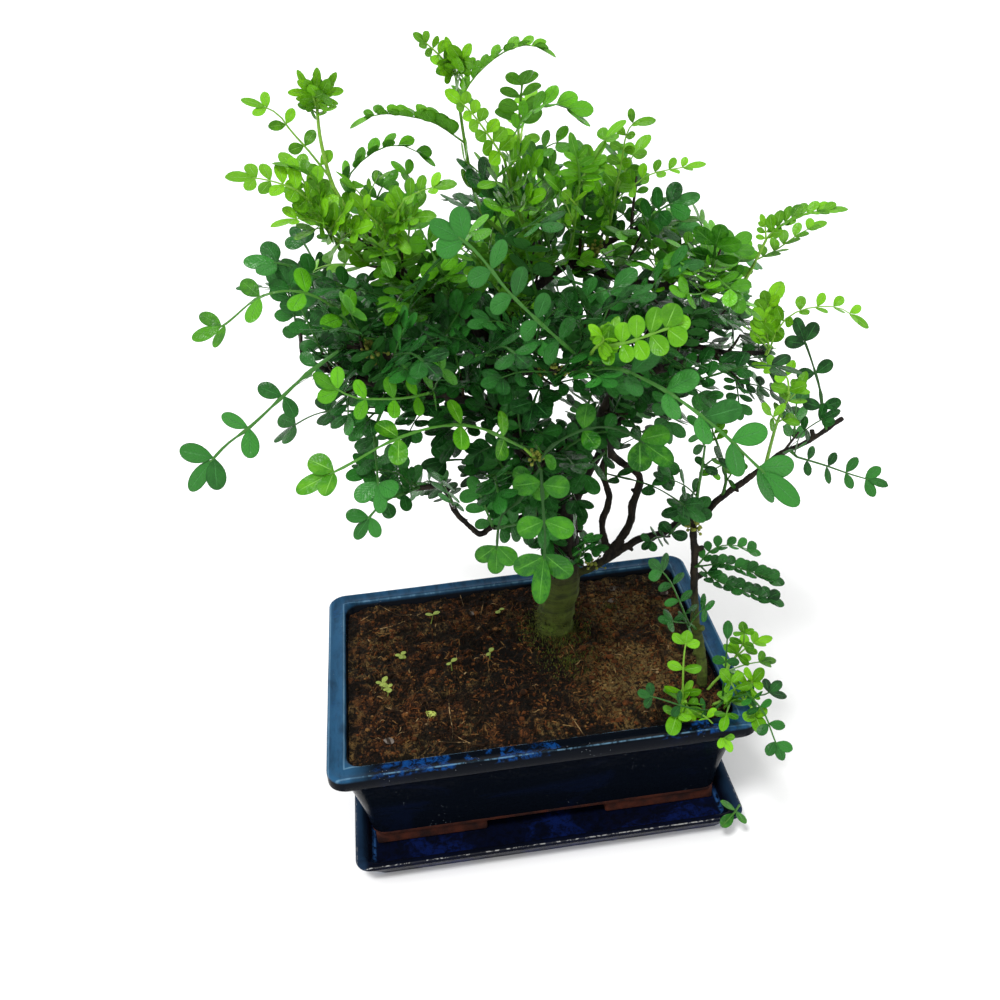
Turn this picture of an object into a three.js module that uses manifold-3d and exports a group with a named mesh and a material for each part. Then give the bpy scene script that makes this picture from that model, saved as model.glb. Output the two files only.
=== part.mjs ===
// Japanese pepper bonsai in a glazed rectangular pot that stands on its drip tray.
// Millimetres, +Z up, origin on the ground under the middle of the tray, +X along the pot, +Y to the back.
import * as THREE from "three";
import { mergeVertices } from "three/addons/utils/BufferGeometryUtils.js";
import Module from "manifold-3d";

const wasm = await Module();
wasm.setup();

// Driving dimensions of the pot, its tray and the soil
const GAP = 0.3;
const CORNER_STEPS = 2;
const TRAY = {
  baseHalf: [91, 72.5],
  lipHalf: [98.5, 80],
  lipWidth: 4.5,
  height: 13,
  floor: 5,
  floorHalf: [89.8, 71.3],
  corner: 8,
};
const POT = {
  rimHalf: [105, 76.5],
  baseHalf: [89.3, 58.9],
  rimWidth: 9,
  height: 70,
  bottom: 12.4,
  floor: 18,
  corner: 10,
  // Share of the inward lean from the rim to the base, at each height of the outside
  profile: [
    [12.4, 1],
    [24, 0.91],
    [40, 0.7],
    [57.5, 0.42],
    [60, 0.3],
    [62, 0.03],
    [68, 0],
    [70, 0.1],
  ],
  floorInset: 7,
};
const FOOT = { legX: 57, legY: 40, thick: 10, inset: 1.5, top: POT.bottom + 1 };
const DRAIN = { radius: 7, x: 45, sides: 8 };
const SCREEN = { side: 26, thick: 1, holes: 2, hole: 8.5, pitch: 11 };
const SOIL = { edge: 65.6, mound: 3.2, moundReach: 60, ripple: 0.7 };

// Driving dimensions of the wood and the leaves
const RIB_WIDTH = 1.1;
const BLADE = 0.64;
const LEAFLET_ROOT = 2.2;
const TIP_LEAFLET = 1.35;
const LEAFLET_WIDTH = 0.74;
const LEAFLET_LEAN = THREE.MathUtils.degToRad(62);
const LEAFLET_SHARE = 0.62;
const GOLDEN_TURN = 2.4;
const CROWN_MIDDLE = new THREE.Vector3(12, 18, 205);
const UP = new THREE.Vector3(0, 0, 1);

// The plant is set out as it is seen from in front and above.
// A station is [column, row, depth]: a place in the 1000 by 1000 front view, and its depth along +Y.
const VIEW = {
  eye: new THREE.Vector3(-45.5, -468.4, 441.9),
  turn: THREE.MathUtils.degToRad(4.742),
  dip: THREE.MathUtils.degToRad(30.376),
  roll: THREE.MathUtils.degToRad(-4.456),
  reach: 1113.2,
  middle: 500,
};

function viewAxes() {
  const ahead = new THREE.Vector3(
    Math.sin(VIEW.turn) * Math.cos(VIEW.dip),
    Math.cos(VIEW.turn) * Math.cos(VIEW.dip),
    -Math.sin(VIEW.dip),
  );
  const level = new THREE.Vector3(Math.cos(VIEW.turn), -Math.sin(VIEW.turn), 0);
  const above = level.clone().cross(ahead);
  const right = level.clone().multiplyScalar(Math.cos(VIEW.roll));
  right.addScaledVector(above, Math.sin(VIEW.roll));
  const up = above.clone().multiplyScalar(Math.cos(VIEW.roll));
  up.addScaledVector(level, -Math.sin(VIEW.roll));
  return { ahead, right, up };
}
const AXES = viewAxes();

function sightLine(column, row) {
  const line = AXES.ahead.clone();
  line.addScaledVector(AXES.right, (column - VIEW.middle) / VIEW.reach);
  line.addScaledVector(AXES.up, (VIEW.middle - row) / VIEW.reach);
  return line;
}

// The place in space of a station, or the point itself where one is given
function spot(station) {
  if (station instanceof THREE.Vector3) return station.clone();
  const [column, row, depth] = station;
  const line = sightLine(column, row);
  return VIEW.eye.clone().addScaledVector(line, (depth - VIEW.eye.y) / line.y);
}

// The place where a line of sight meets the soil
function rooted(column, row) {
  const line = sightLine(column, row);
  return VIEW.eye.clone().addScaledVector(line, (SOIL.edge - VIEW.eye.z) / line.z);
}

const at = (x, y, z) => new THREE.Vector3(x, y, z);

// Seeded draws, the same on every run
class Draw {
  constructor(seed) {
    this.seed = seed;
  }
  next() {
    this.seed = (this.seed * 48271) % 2147483647;
    return this.seed / 2147483647;
  }
  between(low, high) {
    return low + (high - low) * this.next();
  }
}

// Solids and meshes
function solidOf(geometry) {
  const bare = new THREE.BufferGeometry();
  bare.setAttribute("position", geometry.getAttribute("position"));
  if (geometry.index) bare.setIndex(geometry.index);
  const merged = mergeVertices(bare, 1e-4);
  return new wasm.Manifold(
    new wasm.Mesh({
      numProp: 3,
      vertProperties: merged.attributes.position.array,
      triVerts: new Uint32Array(merged.index.array),
    }),
  );
}

function solidFrom(points, faces) {
  const made = new wasm.Manifold(
    new wasm.Mesh({
      numProp: 3,
      vertProperties: new Float32Array(points.flatMap((p) => [p.x, p.y, p.z])),
      triVerts: new Uint32Array(faces.flat()),
    }),
  );
  if (made.volume() >= 0) return made;
  return solidFrom(points, faces.map(([a, b, c]) => [a, c, b]));
}

function geometryOf(solid) {
  const mesh = solid.getMesh();
  const places = new Float32Array(mesh.numVert * 3);
  for (let i = 0; i < mesh.numVert; i++) {
    places.set(mesh.vertProperties.subarray(i * mesh.numProp, i * mesh.numProp + 3), i * 3);
  }
  const geometry = new THREE.BufferGeometry();
  geometry.setAttribute("position", new THREE.BufferAttribute(places, 3));
  geometry.setIndex(new THREE.BufferAttribute(new Uint32Array(mesh.triVerts), 1));
  geometry.computeVertexNormals();
  return geometry;
}

// The largest body of a solid, without loose scraps
function mainBody(solid) {
  const bodies = solid.decompose();
  return bodies.reduce((a, b) => (a.volume() >= b.volume() ? a : b));
}

function block(low, high) {
  const size = high.map((value, i) => value - low[i]);
  const middle = high.map((value, i) => (value + low[i]) / 2);
  return solidOf(new THREE.BoxGeometry(...size).translate(...middle));
}

// A rounded rectangle at one height, anticlockwise from above
function roundedRing([halfX, halfY], corner, z) {
  const ring = [];
  for (let quarter = 0; quarter < 4; quarter++) {
    const signX = quarter === 0 || quarter === 3 ? 1 : -1;
    const signY = quarter < 2 ? 1 : -1;
    for (let step = 0; step <= CORNER_STEPS; step++) {
      const angle = ((quarter + step / CORNER_STEPS) * Math.PI) / 2;
      ring.push(
        at(
          signX * (halfX - corner) + corner * Math.cos(angle),
          signY * (halfY - corner) + corner * Math.sin(angle),
          z,
        ),
      );
    }
  }
  return ring;
}

// A closed solid through rings of equal count, with flat ends
function loft(rings) {
  const count = rings[0].length;
  const points = rings.flat();
  const faces = [];
  for (let level = 0; level + 1 < rings.length; level++) {
    for (let i = 0; i < count; i++) {
      const a = level * count + i;
      const b = level * count + ((i + 1) % count);
      faces.push([a, b, b + count], [a, b + count, a + count]);
    }
  }
  const last = (rings.length - 1) * count;
  for (let i = 1; i + 1 < count; i++) {
    faces.push([0, i + 1, i], [last, last + i, last + i + 1]);
  }
  return solidFrom(points, faces);
}

const blend = (a, b, share) => a.map((value, i) => value + (b[i] - value) * share);
const inset = (half, by) => half.map((value) => value - by);

function upright(radius, sides, low, high, x, y) {
  const post = new THREE.CylinderGeometry(radius, radius, high - low, sides);
  return solidOf(post.rotateX(Math.PI / 2).translate(x, y, (low + high) / 2));
}

// Tray
function traySolid() {
  const outside = loft([
    roundedRing(inset(TRAY.baseHalf, 1), TRAY.corner - 2, 0),
    roundedRing(TRAY.baseHalf, TRAY.corner - 1, 1),
    roundedRing(inset(TRAY.lipHalf, 0.8), TRAY.corner, TRAY.height - 2),
    roundedRing(TRAY.lipHalf, TRAY.corner, TRAY.height - 1),
    roundedRing(inset(TRAY.lipHalf, 0.9), TRAY.corner - 1, TRAY.height),
  ]);
  const innerLip = inset(TRAY.lipHalf, TRAY.lipWidth);
  const hollow = loft([
    roundedRing(TRAY.floorHalf, TRAY.corner - 4, TRAY.floor),
    roundedRing(innerLip, TRAY.corner - 3, TRAY.height - 0.8),
    roundedRing(inset(innerLip, -1.4), TRAY.corner - 2, TRAY.height + 1),
  ]);
  return outside.subtract(hollow);
}

// Pot: leaning walls, rolled rim, floor with two drain holes and four corner feet
const potInside = (z) => {
  const share = (POT.height - z) / (POT.height - POT.floor);
  const top = inset(POT.rimHalf, POT.rimWidth);
  const base = inset(POT.baseHalf, POT.floorInset);
  return blend(top, base, share);
};

function potSolid() {
  const outside = loft(
    POT.profile.map(([z, share]) => roundedRing(blend(POT.rimHalf, POT.baseHalf, share), POT.corner, z)),
  );
  const hollow = loft([
    roundedRing(potInside(POT.floor), 5, POT.floor),
    roundedRing(potInside(POT.height - 2), 6, POT.height - 2),
    roundedRing(inset(potInside(POT.height), -0.8), 6.5, POT.height + 0.5),
  ]);
  let pot = outside.subtract(hollow);
  for (const signX of [-1, 1]) {
    pot = pot.subtract(
      upright(DRAIN.radius, DRAIN.sides, POT.bottom - 2, POT.floor + 2, signX * DRAIN.x, 0),
    );
    for (const signY of [-1, 1]) pot = pot.add(footSolid(signX, signY));
  }
  return pot;
}

// One foot: an L that follows the corner of the base
function footSolid(signX, signY) {
  const [outX, outY] = inset(POT.baseHalf, FOOT.inset);
  const low = TRAY.floor + GAP;
  const sorted = (sign, near, far) => (sign > 0 ? [near, far] : [-far, -near]);
  const leg = (fromX, fromY) => {
    const [x0, x1] = sorted(signX, fromX, outX);
    const [y0, y1] = sorted(signY, fromY, outY);
    return block([x0, y0, low], [x1, y1, FOOT.top]);
  };
  return leg(outX - FOOT.legX, outY - FOOT.thick).add(leg(outX - FOOT.thick, outY - FOOT.legY));
}

// Drain screen: a square plastic net over one drain hole
function screenSolid(middleX) {
  const low = POT.floor + GAP;
  const half = SCREEN.side / 2;
  let screen = block([middleX - half, -half, low], [middleX + half, half, low + SCREEN.thick]);
  const shift = (SCREEN.holes - 1) / 2;
  for (let i = 0; i < SCREEN.holes; i++) {
    for (let j = 0; j < SCREEN.holes; j++) {
      const x = middleX + (i - shift) * SCREEN.pitch - SCREEN.hole / 2;
      const y = (j - shift) * SCREEN.pitch - SCREEN.hole / 2;
      screen = screen.subtract(
        block([x, y, low - 1], [x + SCREEN.hole, y + SCREEN.hole, low + SCREEN.thick + 1]),
      );
    }
  }
  return screen;
}

// Soil: fills the pot to just under the rim and mounds up round the trunk
function soilHeight(x, y) {
  const away = Math.hypot(x - TRUNK_FOOT.x, y - TRUNK_FOOT.y) / SOIL.moundReach;
  const ripple = Math.sin(x * 0.21 + 1.3) * Math.cos(y * 0.27 - 0.6);
  return SOIL.edge + SOIL.mound * Math.exp(-away * away * 2) + SOIL.ripple * ripple;
}

function soilSolid(stems) {
  const low = POT.floor + GAP;
  const side = (z) => inset(potInside(z), GAP);
  const rings = [roundedRing(side(low), 5, low)];
  for (const share of [1, 0.7, 0.3]) {
    const half = side(SOIL.edge + 1).map((value) => value * share);
    const ring = roundedRing(half, 6 * share, 0);
    ring.forEach((p) => (p.z = share === 1 ? SOIL.edge : soilHeight(p.x, p.y)));
    rings.push(ring);
  }
  let soil = loft(rings);
  for (const signX of [-1, 1]) {
    const half = SCREEN.side / 2 + GAP;
    const x = signX * DRAIN.x;
    const top = low + SCREEN.thick + GAP;
    soil = soil.subtract(block([x - half, -half, low - 1], [x + half, half, top]));
  }
  for (const stem of stems) soil = soil.subtract(stem);
  return mainBody(soil);
}

// A smooth line through stations
function lineThrough(stations) {
  return new THREE.CatmullRomCurve3(stations.map(spot), false, "catmullrom", 0.5);
}

const stepsAlong = (line, pitch) => Math.max(1, Math.round(line.getLength() / pitch));

// A tapering limb along a line
function limbSolid(line, startRadius, endRadius, sides, pitch, grown = 0) {
  const steps = stepsAlong(line, pitch);
  const frames = line.computeFrenetFrames(steps, false);
  const growth = grown / Math.cos(Math.PI / sides);
  const rings = [];
  for (let step = 0; step <= steps; step++) {
    const share = step / steps;
    const radius = startRadius + (endRadius - startRadius) * share + growth;
    const middle = line.getPointAt(share);
    if (grown && step === 0) middle.addScaledVector(frames.tangents[0], -grown);
    if (grown && step === steps) middle.addScaledVector(frames.tangents[steps], grown);
    const ring = [];
    for (let side = 0; side < sides; side++) {
      const angle = (side / sides) * Math.PI * 2;
      const place = middle.clone();
      place.addScaledVector(frames.normals[step], radius * Math.cos(angle));
      place.addScaledVector(frames.binormals[step], radius * Math.sin(angle));
      ring.push(place);
    }
    rings.push(ring);
  }
  return loft(rings);
}

// Wood of the tree: the trunk and the boughs that grow from it, each [radius at root, radius at tip]
const TRUNK_FOOT = at(19.6, 21, SOIL.edge);
const TRUNK = {
  radii: [9.2, 2.4],
  sides: 7,
  route: [
    at(18.6, 21, 42),
    [555, 640, 21],
    [556, 610, 21],
    [562, 575, 20],
    [563, 540, 18],
    [556, 500, 15],
    [538, 462, 10],
    [515, 425, 8],
    [498, 390, 10],
    [496, 350, 14],
    [508, 310, 18],
    [524, 270, 20],
    [530, 240, 20],
  ],
};
const BOUGHS = {
  lower_right: {
    radii: [4.4, 1.7],
    route: [
      [562, 580, 20],
      [590, 567, 18],
      [612, 556, 15],
      [640, 538, 12],
      [661, 533, 8],
      [684, 520, 4],
      [701, 517, 0],
      [718, 500, -2],
      [750, 477, -4],
      [787, 451, -5],
      [816, 437, -5],
      [843, 418, -5],
    ],
  },
  twisting: {
    radii: [3.2, 2.8],
    route: [
      [606, 558, 16],
      [619, 540, 16],
      [631, 520, 16],
      [633, 503, 18],
      [641, 480, 20],
      [635, 471, 22],
      [621, 462, 24],
      [609, 448, 24],
      [600, 420, 20],
      [615, 390, 12],
      [640, 375, 4],
      [664, 368, -4],
      [703, 359, -12],
    ],
  },
  upper_right: {
    radii: [2.6, 1.2],
    route: [
      [498, 345, 14],
      [560, 345, 20],
      [620, 338, 22],
      [672, 342, 18],
      [701, 348, 12],
      [735, 353, 6],
      [768, 354, 2],
    ],
  },
  left: {
    radii: [3.4, 1.3],
    route: [
      [508, 418, 8],
      [470, 400, -2],
      [430, 395, -10],
      [380, 385, -18],
      [330, 370, -24],
      [316, 365, -24],
      [303, 352, -20],
      [300, 334, -16],
    ],
  },
  lower_left: {
    radii: [2.6, 1.2],
    route: [
      [556, 500, 15],
      [530, 516, 6],
      [494, 525, -2],
      [479, 533, -6],
      [464, 521, -10],
      [454, 510, -12],
      [443, 480, -14],
      [418, 487, -18],
    ],
  },
  top_left: {
    radii: [2.6, 1.3],
    route: [
      [496, 345, 14],
      [452, 312, 4],
      [412, 284, -4],
      [376, 258, -8],
      [352, 234, -8],
    ],
  },
  top_right: {
    radii: [2.6, 1.3],
    route: [
      [509, 308, 18],
      [556, 272, 24],
      [604, 244, 24],
      [640, 228, 18],
    ],
  },
  right_shoulder: {
    radii: [2, 1.2],
    route: [
      [570, 264, 24],
      [640, 282, 14],
      [700, 290, 8],
      [743, 283, 8],
    ],
  },
  front_low: {
    radii: [2.2, 1.2],
    route: [
      [541, 468, 10],
      [538, 463, -10],
      [536, 459, -32],
    ],
  },
  front_high: {
    radii: [2.4, 1.2],
    route: [
      [497, 370, 12],
      [530, 372, -10],
      [565, 368, -34],
      [590, 363, -50],
    ],
  },
  front_left: {
    radii: [2.2, 1.1],
    route: [
      [450, 397, -6],
      [412, 372, -24],
      [374, 352, -34],
      [345, 346, -38],
    ],
  },
  back_left: {
    radii: [2.8, 1.3],
    route: [
      [515, 425, 8],
      at(-22, 38, 218),
      at(-54, 62, 232),
      at(-84, 74, 240),
    ],
  },
  back_middle: {
    radii: [2.8, 1.3],
    route: [
      [497, 372, 12],
      at(4, 44, 244),
      at(14, 72, 262),
      at(22, 92, 280),
    ],
  },
  back_right: {
    radii: [2.8, 1.3],
    route: [
      [562, 532, 18],
      at(50, 46, 158),
      at(80, 66, 184),
      at(104, 70, 206),
    ],
  },
};

// A second, younger stem by the pot's right end
const SIDE_STEM = {
  radii: [3.6, 1.7],
  sides: 6,
  route: [
    at(83, -36, 48),
    rooted(702, 683),
    [700, 650, -30],
    [694, 606, -24],
    [694, 566, -20],
    [694, 534, -16],
    [697, 500, -15],
  ],
};
const BOUGH_SIDES = 4;
const TRUNK_PITCH = 22;
const BOUGH_PITCH = 36;
const STEM_RADII = [1.3, 0.9];
const STEM_SIDES = 3;
const STEM_PITCH = 46;

const treeLines = [lineThrough(TRUNK.route)];
for (const bough of Object.values(BOUGHS)) treeLines.push(lineThrough(bough.route));
const sideLine = lineThrough(SIDE_STEM.route);

function treeSolid(grown = 0) {
  let tree = limbSolid(treeLines[0], ...TRUNK.radii, TRUNK.sides, TRUNK_PITCH, grown);
  Object.values(BOUGHS).forEach((bough, i) => {
    tree = tree.add(limbSolid(treeLines[i + 1], ...bough.radii, BOUGH_SIDES, BOUGH_PITCH, grown));
  });
  return tree;
}

// The nearest place on the straight stretches that limbs along these lines are made of
function nearestOn(place, lines, pitch) {
  let best = null;
  for (const line of lines) {
    const corners = line.getSpacedPoints(stepsAlong(line, pitch));
    for (let i = 0; i + 1 < corners.length; i++) {
      const stretch = new THREE.Line3(corners[i], corners[i + 1]);
      const near = stretch.closestPointToPoint(place, true, at(0, 0, 0));
      if (!best || near.distanceTo(place) < best.distanceTo(place)) best = near;
    }
  }
  return best;
}

// One compound leaf: its pairs of leaflets, the length of a leaflet, the share of its face that is turned
// to the front view, and its stations from foot to tip
const leaf = (pairs, size, face, ...stations) => ({ pairs, size, face, stations });

// Shoots: a green stem that leaves the wood at the place nearest its first station, its own leaves,
// and a number of further leaves that stand round it by rule
const SHOOTS = [
  {
    name: "crown_tip_shoot",
    tone: "young",
    stem: [[508, 252, 16], [486, 218, 12], [474, 190, 8], [466, 150, 5], [460, 110, 2], [453, 72, 0]],
    leaves: [
      leaf(4, 8, 0.5, [454, 78, 0], [438, 54, -6], [414, 33, -10]),
      leaf(3, 8, 0.6, [454, 76, 0], [458, 56, -8], [467, 38, -12]),
      leaf(1, 8, 0.7, [456, 88, 0], [446, 72, -4], [431, 61, -6]),
      leaf(5, 8, 0.15, [460, 104, 2], [482, 70, 0], [506, 50, -2], [527, 46, -4], [556, 57, -6]),
      leaf(5, 9, 0.15, [466, 142, 5], [435, 121, 0], [400, 113, -6], [380, 114, -8], [349, 126, -10]),
      leaf(1, 11, 0.7, [468, 166, 6], [464, 158, -2], [462, 144, -8]),
    ],
  },
  {
    name: "crown_middle_shoot",
    tone: "young",
    stem: [[528, 240, 14], [520, 215, 8], [511, 185, 0], [504, 158, -6]],
    leaves: [
      leaf(4, 10, 0.65, [504, 160, -6], [491, 139, -8], [470, 111, -10], [446, 90, -12]),
      leaf(2, 12, 0.5, [507, 172, -4], [519, 156, -12], [529, 138, -18]),
      leaf(2, 11, 0.6, [513, 192, 2], [498, 182, -8], [478, 188, -16]),
    ],
  },
  {
    name: "right_arch_shoot",
    tone: "middle",
    stem: [[554, 272, 24], [546, 236, 24], [534, 202, 20], [522, 165, 12], [512, 136, 8]],
    leaves: [
      leaf(4, 10, 0.35, [512, 138, 8], [526, 116, 6], [546, 105, 4], [567, 108, 2], [590, 127, -2]),
      leaf(3, 10, 0.5, [524, 172, 14], [540, 152, 8], [560, 142, 4], [578, 150, 0]),
      leaf(2, 10, 0.5, [530, 190, 18], [546, 175, 14], [556, 150, 10]),
    ],
  },
  {
    name: "left_tall_shoot",
    tone: "young",
    stem: [[352, 236, -8], [345, 208, -8], [333, 186, -8], [325, 160, -8], [319, 130, -8], [316, 90, -8]],
    leaves: [
      leaf(2, 8, 0.7, [318, 106, -8], [306, 84, -12], [297, 73, -14]),
      leaf(2, 8, 0.7, [317, 98, -8], [328, 84, -12], [335, 74, -14]),
      leaf(2, 8, 0.5, [316, 90, -8], [315, 82, -2], [314, 70, 0]),
      leaf(1, 7, 0.4, [318, 116, -8], [309, 107, -10], [297, 104, -12]),
      leaf(4, 10, 0.5, [328, 178, -8], [308, 150, -6], [293, 132, -4], [275, 112, -2], [242, 98, 0]),
    ],
  },
  {
    name: "left_arch_shoot",
    tone: "middle",
    stem: [[372, 256, -4], [372, 236, 4], [374, 214, 10]],
    leaves: [
      leaf(5, 8, 0.15, [374, 218, 10], [347, 193, 4], [353, 172, 2], [379, 148, 0], [405, 145, -2],
        [437, 164, -4]),
      leaf(2, 10, 0.6, [374, 214, 10], [378, 196, 14], [386, 182, 16], [398, 171, 18]),
      leaf(3, 9, 0.4, [373, 226, 6], [404, 205, 0], [411, 180, -4], [393, 160, -6]),
    ],
  },
  {
    name: "left_lime_shoot",
    tone: "young",
    stem: [[350, 262, -20], [336, 240, -26], [322, 218, -30], [312, 204, -32]],
    leaves: [
      leaf(4, 11, 0.45, [313, 206, -32], [296, 190, -34], [262, 179, -36], [225, 178, -38]),
      leaf(3, 11, 0.4, [326, 224, -29], [308, 219, -36], [290, 220, -40], [271, 227, -42]),
      leaf(3, 10, 0.15, [320, 216, -31], [318, 184, -28], [300, 168, -26], [273, 160, -26]),
    ],
  },
  {
    name: "left_inner_lime_shoot",
    tone: "young",
    stem: [[372, 262, -16], [380, 244, -24], [388, 228, -28], [394, 216, -30]],
    leaves: [
      leaf(4, 10, 0.45, [393, 218, -30], [405, 200, -34], [424, 190, -38], [456, 182, -42]),
      leaf(3, 10, 0.6, [386, 232, -28], [368, 214, -36], [350, 194, -42]),
      leaf(2, 10, 0.6, [394, 216, -30], [398, 206, -24], [392, 186, -20]),
    ],
  },
  {
    name: "left_dark_shoot",
    tone: "mature",
    stem: [[372, 296, -16], [352, 292, -20]],
    leaves: [
      leaf(3, 11, 0.45, [356, 293, -20], [335, 283, -20], [303, 272, -20], [283, 264, -20], [243, 258, -20]),
      leaf(3, 11, 0.5, [368, 295, -16], [350, 308, -4], [322, 300, 8], [296, 300, 14]),
    ],
  },
  {
    name: "left_olive_shoot",
    tone: "middle",
    stem: [[372, 352, -34], [358, 334, -36]],
    leaves: [
      leaf(4, 14, 0.25, [358, 334, -36], [329, 304, -36], [294, 291, -38], [258, 298, -40], [224, 325, -42],
        [192, 337, -42]),
      leaf(2, 11, 0.5, [364, 342, -35], [352, 316, -52], [346, 296, -60]),
    ],
  },
  {
    name: "left_hanging_shoot",
    tone: "mature",
    stem: [[344, 347, -42], [338, 351, -46]],
    leaves: [
      leaf(4, 16, 0.85, [338, 351, -46], [306, 375, -48], [280, 399, -50], [249, 426, -52], [221, 448, -52],
        [187, 491, -54]),
    ],
  },
  {
    name: "left_low_olive_shoot",
    tone: "middle",
    stem: [[440, 398, -14], [436, 394, -34], [428, 393, -50]],
    leaves: [
      leaf(4, 11, 0.85, [430, 393, -48], [405, 398, -56], [377, 399, -62], [350, 396, -66], [313, 374, -68]),
      leaf(2, 13, 0.7, [432, 394, -44], [440, 372, -60], [436, 350, -66]),
    ],
  },
  {
    name: "front_lime_shoot",
    tone: "young",
    stem: [[536, 459, -34], [524, 448, -42]],
    leaves: [
      leaf(5, 15, 0.7, [524, 448, -42], [479, 430, -58], [441, 430, -68], [405, 443, -76], [344, 472, -86],
        [293, 497, -92]),
    ],
  },
  {
    name: "front_hanging_shoot",
    tone: "middle",
    stem: [[537, 461, -30], [541, 470, -40]],
    leaves: [
      leaf(3, 16, 0.8, [541, 470, -40], [544, 506, -48], [546, 546, -54], [538, 599, -62]),
      leaf(3, 15, 0.75, [538, 464, -34], [552, 446, -44], [586, 429, -50], [623, 431, -56], [673, 464, -66]),
    ],
  },
  {
    name: "left_low_dark_shoot",
    tone: "mature",
    stem: [[419, 487, -18], [404, 494, -24]],
    leaves: [
      leaf(3, 10, 0.8, [410, 490, -22], [387, 500, -26], [372, 514, -30], [354, 539, -34]),
      leaf(3, 10, 0.6, [415, 488, -20], [398, 474, -30], [372, 470, -38], [346, 478, -44]),
    ],
  },
  {
    name: "front_hero_shoot",
    tone: "mature",
    stem: [[584, 364, -46], [574, 353, -54]],
    leaves: [
      leaf(5, 15, 0.75, [575, 354, -54], [536, 319, -66], [507, 290, -74], [479, 258, -80], [450, 235, -82],
        [429, 222, -84]),
    ],
  },
  {
    name: "right_hero_shoot",
    tone: "mature",
    stem: [[578, 366, -42], [592, 371, -52], [604, 368, -58]],
    leaves: [
      leaf(5, 17, 0.6, [604, 367, -58], [623, 370, -62], [661, 388, -70], [695, 411, -78], [727, 437, -84],
        [755, 465, -88], [798, 505, -94]),
    ],
  },
  {
    name: "front_bright_shoot",
    tone: "young",
    stem: [[590, 362, -50], [592, 352, -60], [598, 345, -66]],
    leaves: [
      leaf(3, 9, 0.8, [597, 347, -64], [620, 342, -70], [650, 334, -74], [687, 326, -78]),
      leaf(2, 8, 0.8, [598, 346, -64], [602, 334, -66], [590, 322, -68]),
      leaf(2, 9, 0.8, [597, 347, -64], [618, 332, -60], [638, 312, -58]),
    ],
  },
  {
    name: "far_right_shoot",
    tone: "mature",
    stem: [[790, 450, -5], [797, 457, -10]],
    leaves: [
      leaf(4, 10, 0.75, [797, 457, -10], [824, 465, -12], [853, 475, -14], [889, 485, -18]),
      leaf(3, 9, 0.5, [795, 455, -8], [800, 436, -20], [814, 424, -26], [840, 410, -30]),
    ],
  },
  {
    name: "right_upright_dark_shoot",
    tone: "mature",
    stem: [[826, 430, -5], [823, 418, -3]],
    leaves: [
      leaf(3, 11, 0.75, [823, 418, -3], [820, 390, 0], [812, 362, 2], [805, 342, 4], [796, 320, 6]),
    ],
  },
  {
    name: "right_arc_shoot",
    tone: "young",
    stem: [[766, 354, 2], [771, 346, -2]],
    leaves: [
      leaf(4, 9, 0.4, [771, 347, -2], [776, 333, -4], [786, 321, -6], [804, 308, -8], [822, 305, -10],
        [841, 309, -12], [867, 329, -14]),
      leaf(2, 12, 0.6, [770, 348, 0], [766, 322, 4], [770, 300, 6], [782, 286, 6]),
      leaf(2, 8, 0.4, [769, 350, 0], [756, 334, -12], [742, 326, -18]),
    ],
  },
  {
    name: "right_lime_shoot",
    tone: "young",
    stem: [[743, 284, 8], [752, 268, 6], [760, 252, 4], [766, 240, 2]],
    leaves: [
      leaf(5, 8, 0.5, [765, 242, 2], [779, 229, 0], [807, 216, -4], [848, 209, -8]),
      leaf(3, 8, 0.4, [757, 260, 5], [776, 250, 10], [799, 234, 12], [827, 220, 14]),
      leaf(1, 7, 0.6, [766, 240, 2], [765, 227, 6], [761, 214, 8]),
    ],
  },
  {
    name: "right_olive_shoot",
    tone: "middle",
    stem: [[712, 288, 6], [712, 272, -2], [714, 258, -6]],
    leaves: [
      leaf(2, 12, 0.7, [714, 260, -6], [716, 244, -10], [722, 226, -14]),
      leaf(3, 9, 0.4, [712, 272, -2], [694, 256, -8], [684, 250, -12], [664, 262, -16]),
      leaf(2, 11, 0.5, [713, 264, -4], [730, 250, 4], [751, 230, 10]),
      leaf(2, 10, 0.5, [712, 280, 2], [730, 282, -10], [748, 292, -16]),
    ],
  },
  {
    name: "right_top_lime_shoot",
    tone: "young",
    stem: [[606, 244, 22], [610, 222, 18], [614, 200, 14], [616, 186, 12]],
    leaves: [
      leaf(4, 10, 0.5, [616, 186, 12], [622, 160, 10], [626, 136, 8], [636, 121, 6], [655, 120, 4]),
      leaf(4, 9, 0.45, [614, 200, 14], [633, 186, 8], [651, 174, 4], [679, 168, 2], [706, 164, 0]),
      leaf(2, 10, 0.6, [611, 218, 17], [600, 196, 10], [594, 180, 6]),
    ],
  },
  {
    name: "right_top_dark_shoot",
    tone: "mature",
    stem: [[640, 230, 18], [648, 222, 12]],
    leaves: [
      leaf(3, 11, 0.6, [648, 222, 12], [660, 210, 8], [676, 202, 6], [700, 195, 4]),
      leaf(3, 11, 0.5, [644, 226, 15], [670, 228, 22], [700, 226, 28]),
    ],
  },
  {
    name: "top_right_green_shoot",
    tone: "young",
    stem: [[566, 268, 24], [572, 240, 10], [576, 210, 0], [580, 180, -6]],
    leaves: [
      leaf(3, 11, 0.6, [580, 182, -6], [578, 164, -8], [570, 132, -10]),
      leaf(3, 11, 0.6, [580, 182, -6], [592, 162, -2], [606, 140, 0]),
      leaf(2, 11, 0.6, [577, 204, -1], [560, 190, -10], [546, 176, -14]),
    ],
  },
  {
    name: "right_shoulder_shoot",
    tone: "mature",
    stem: [[700, 290, 8], at(102, 22, 262), at(108, 36, 264)],
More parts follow.
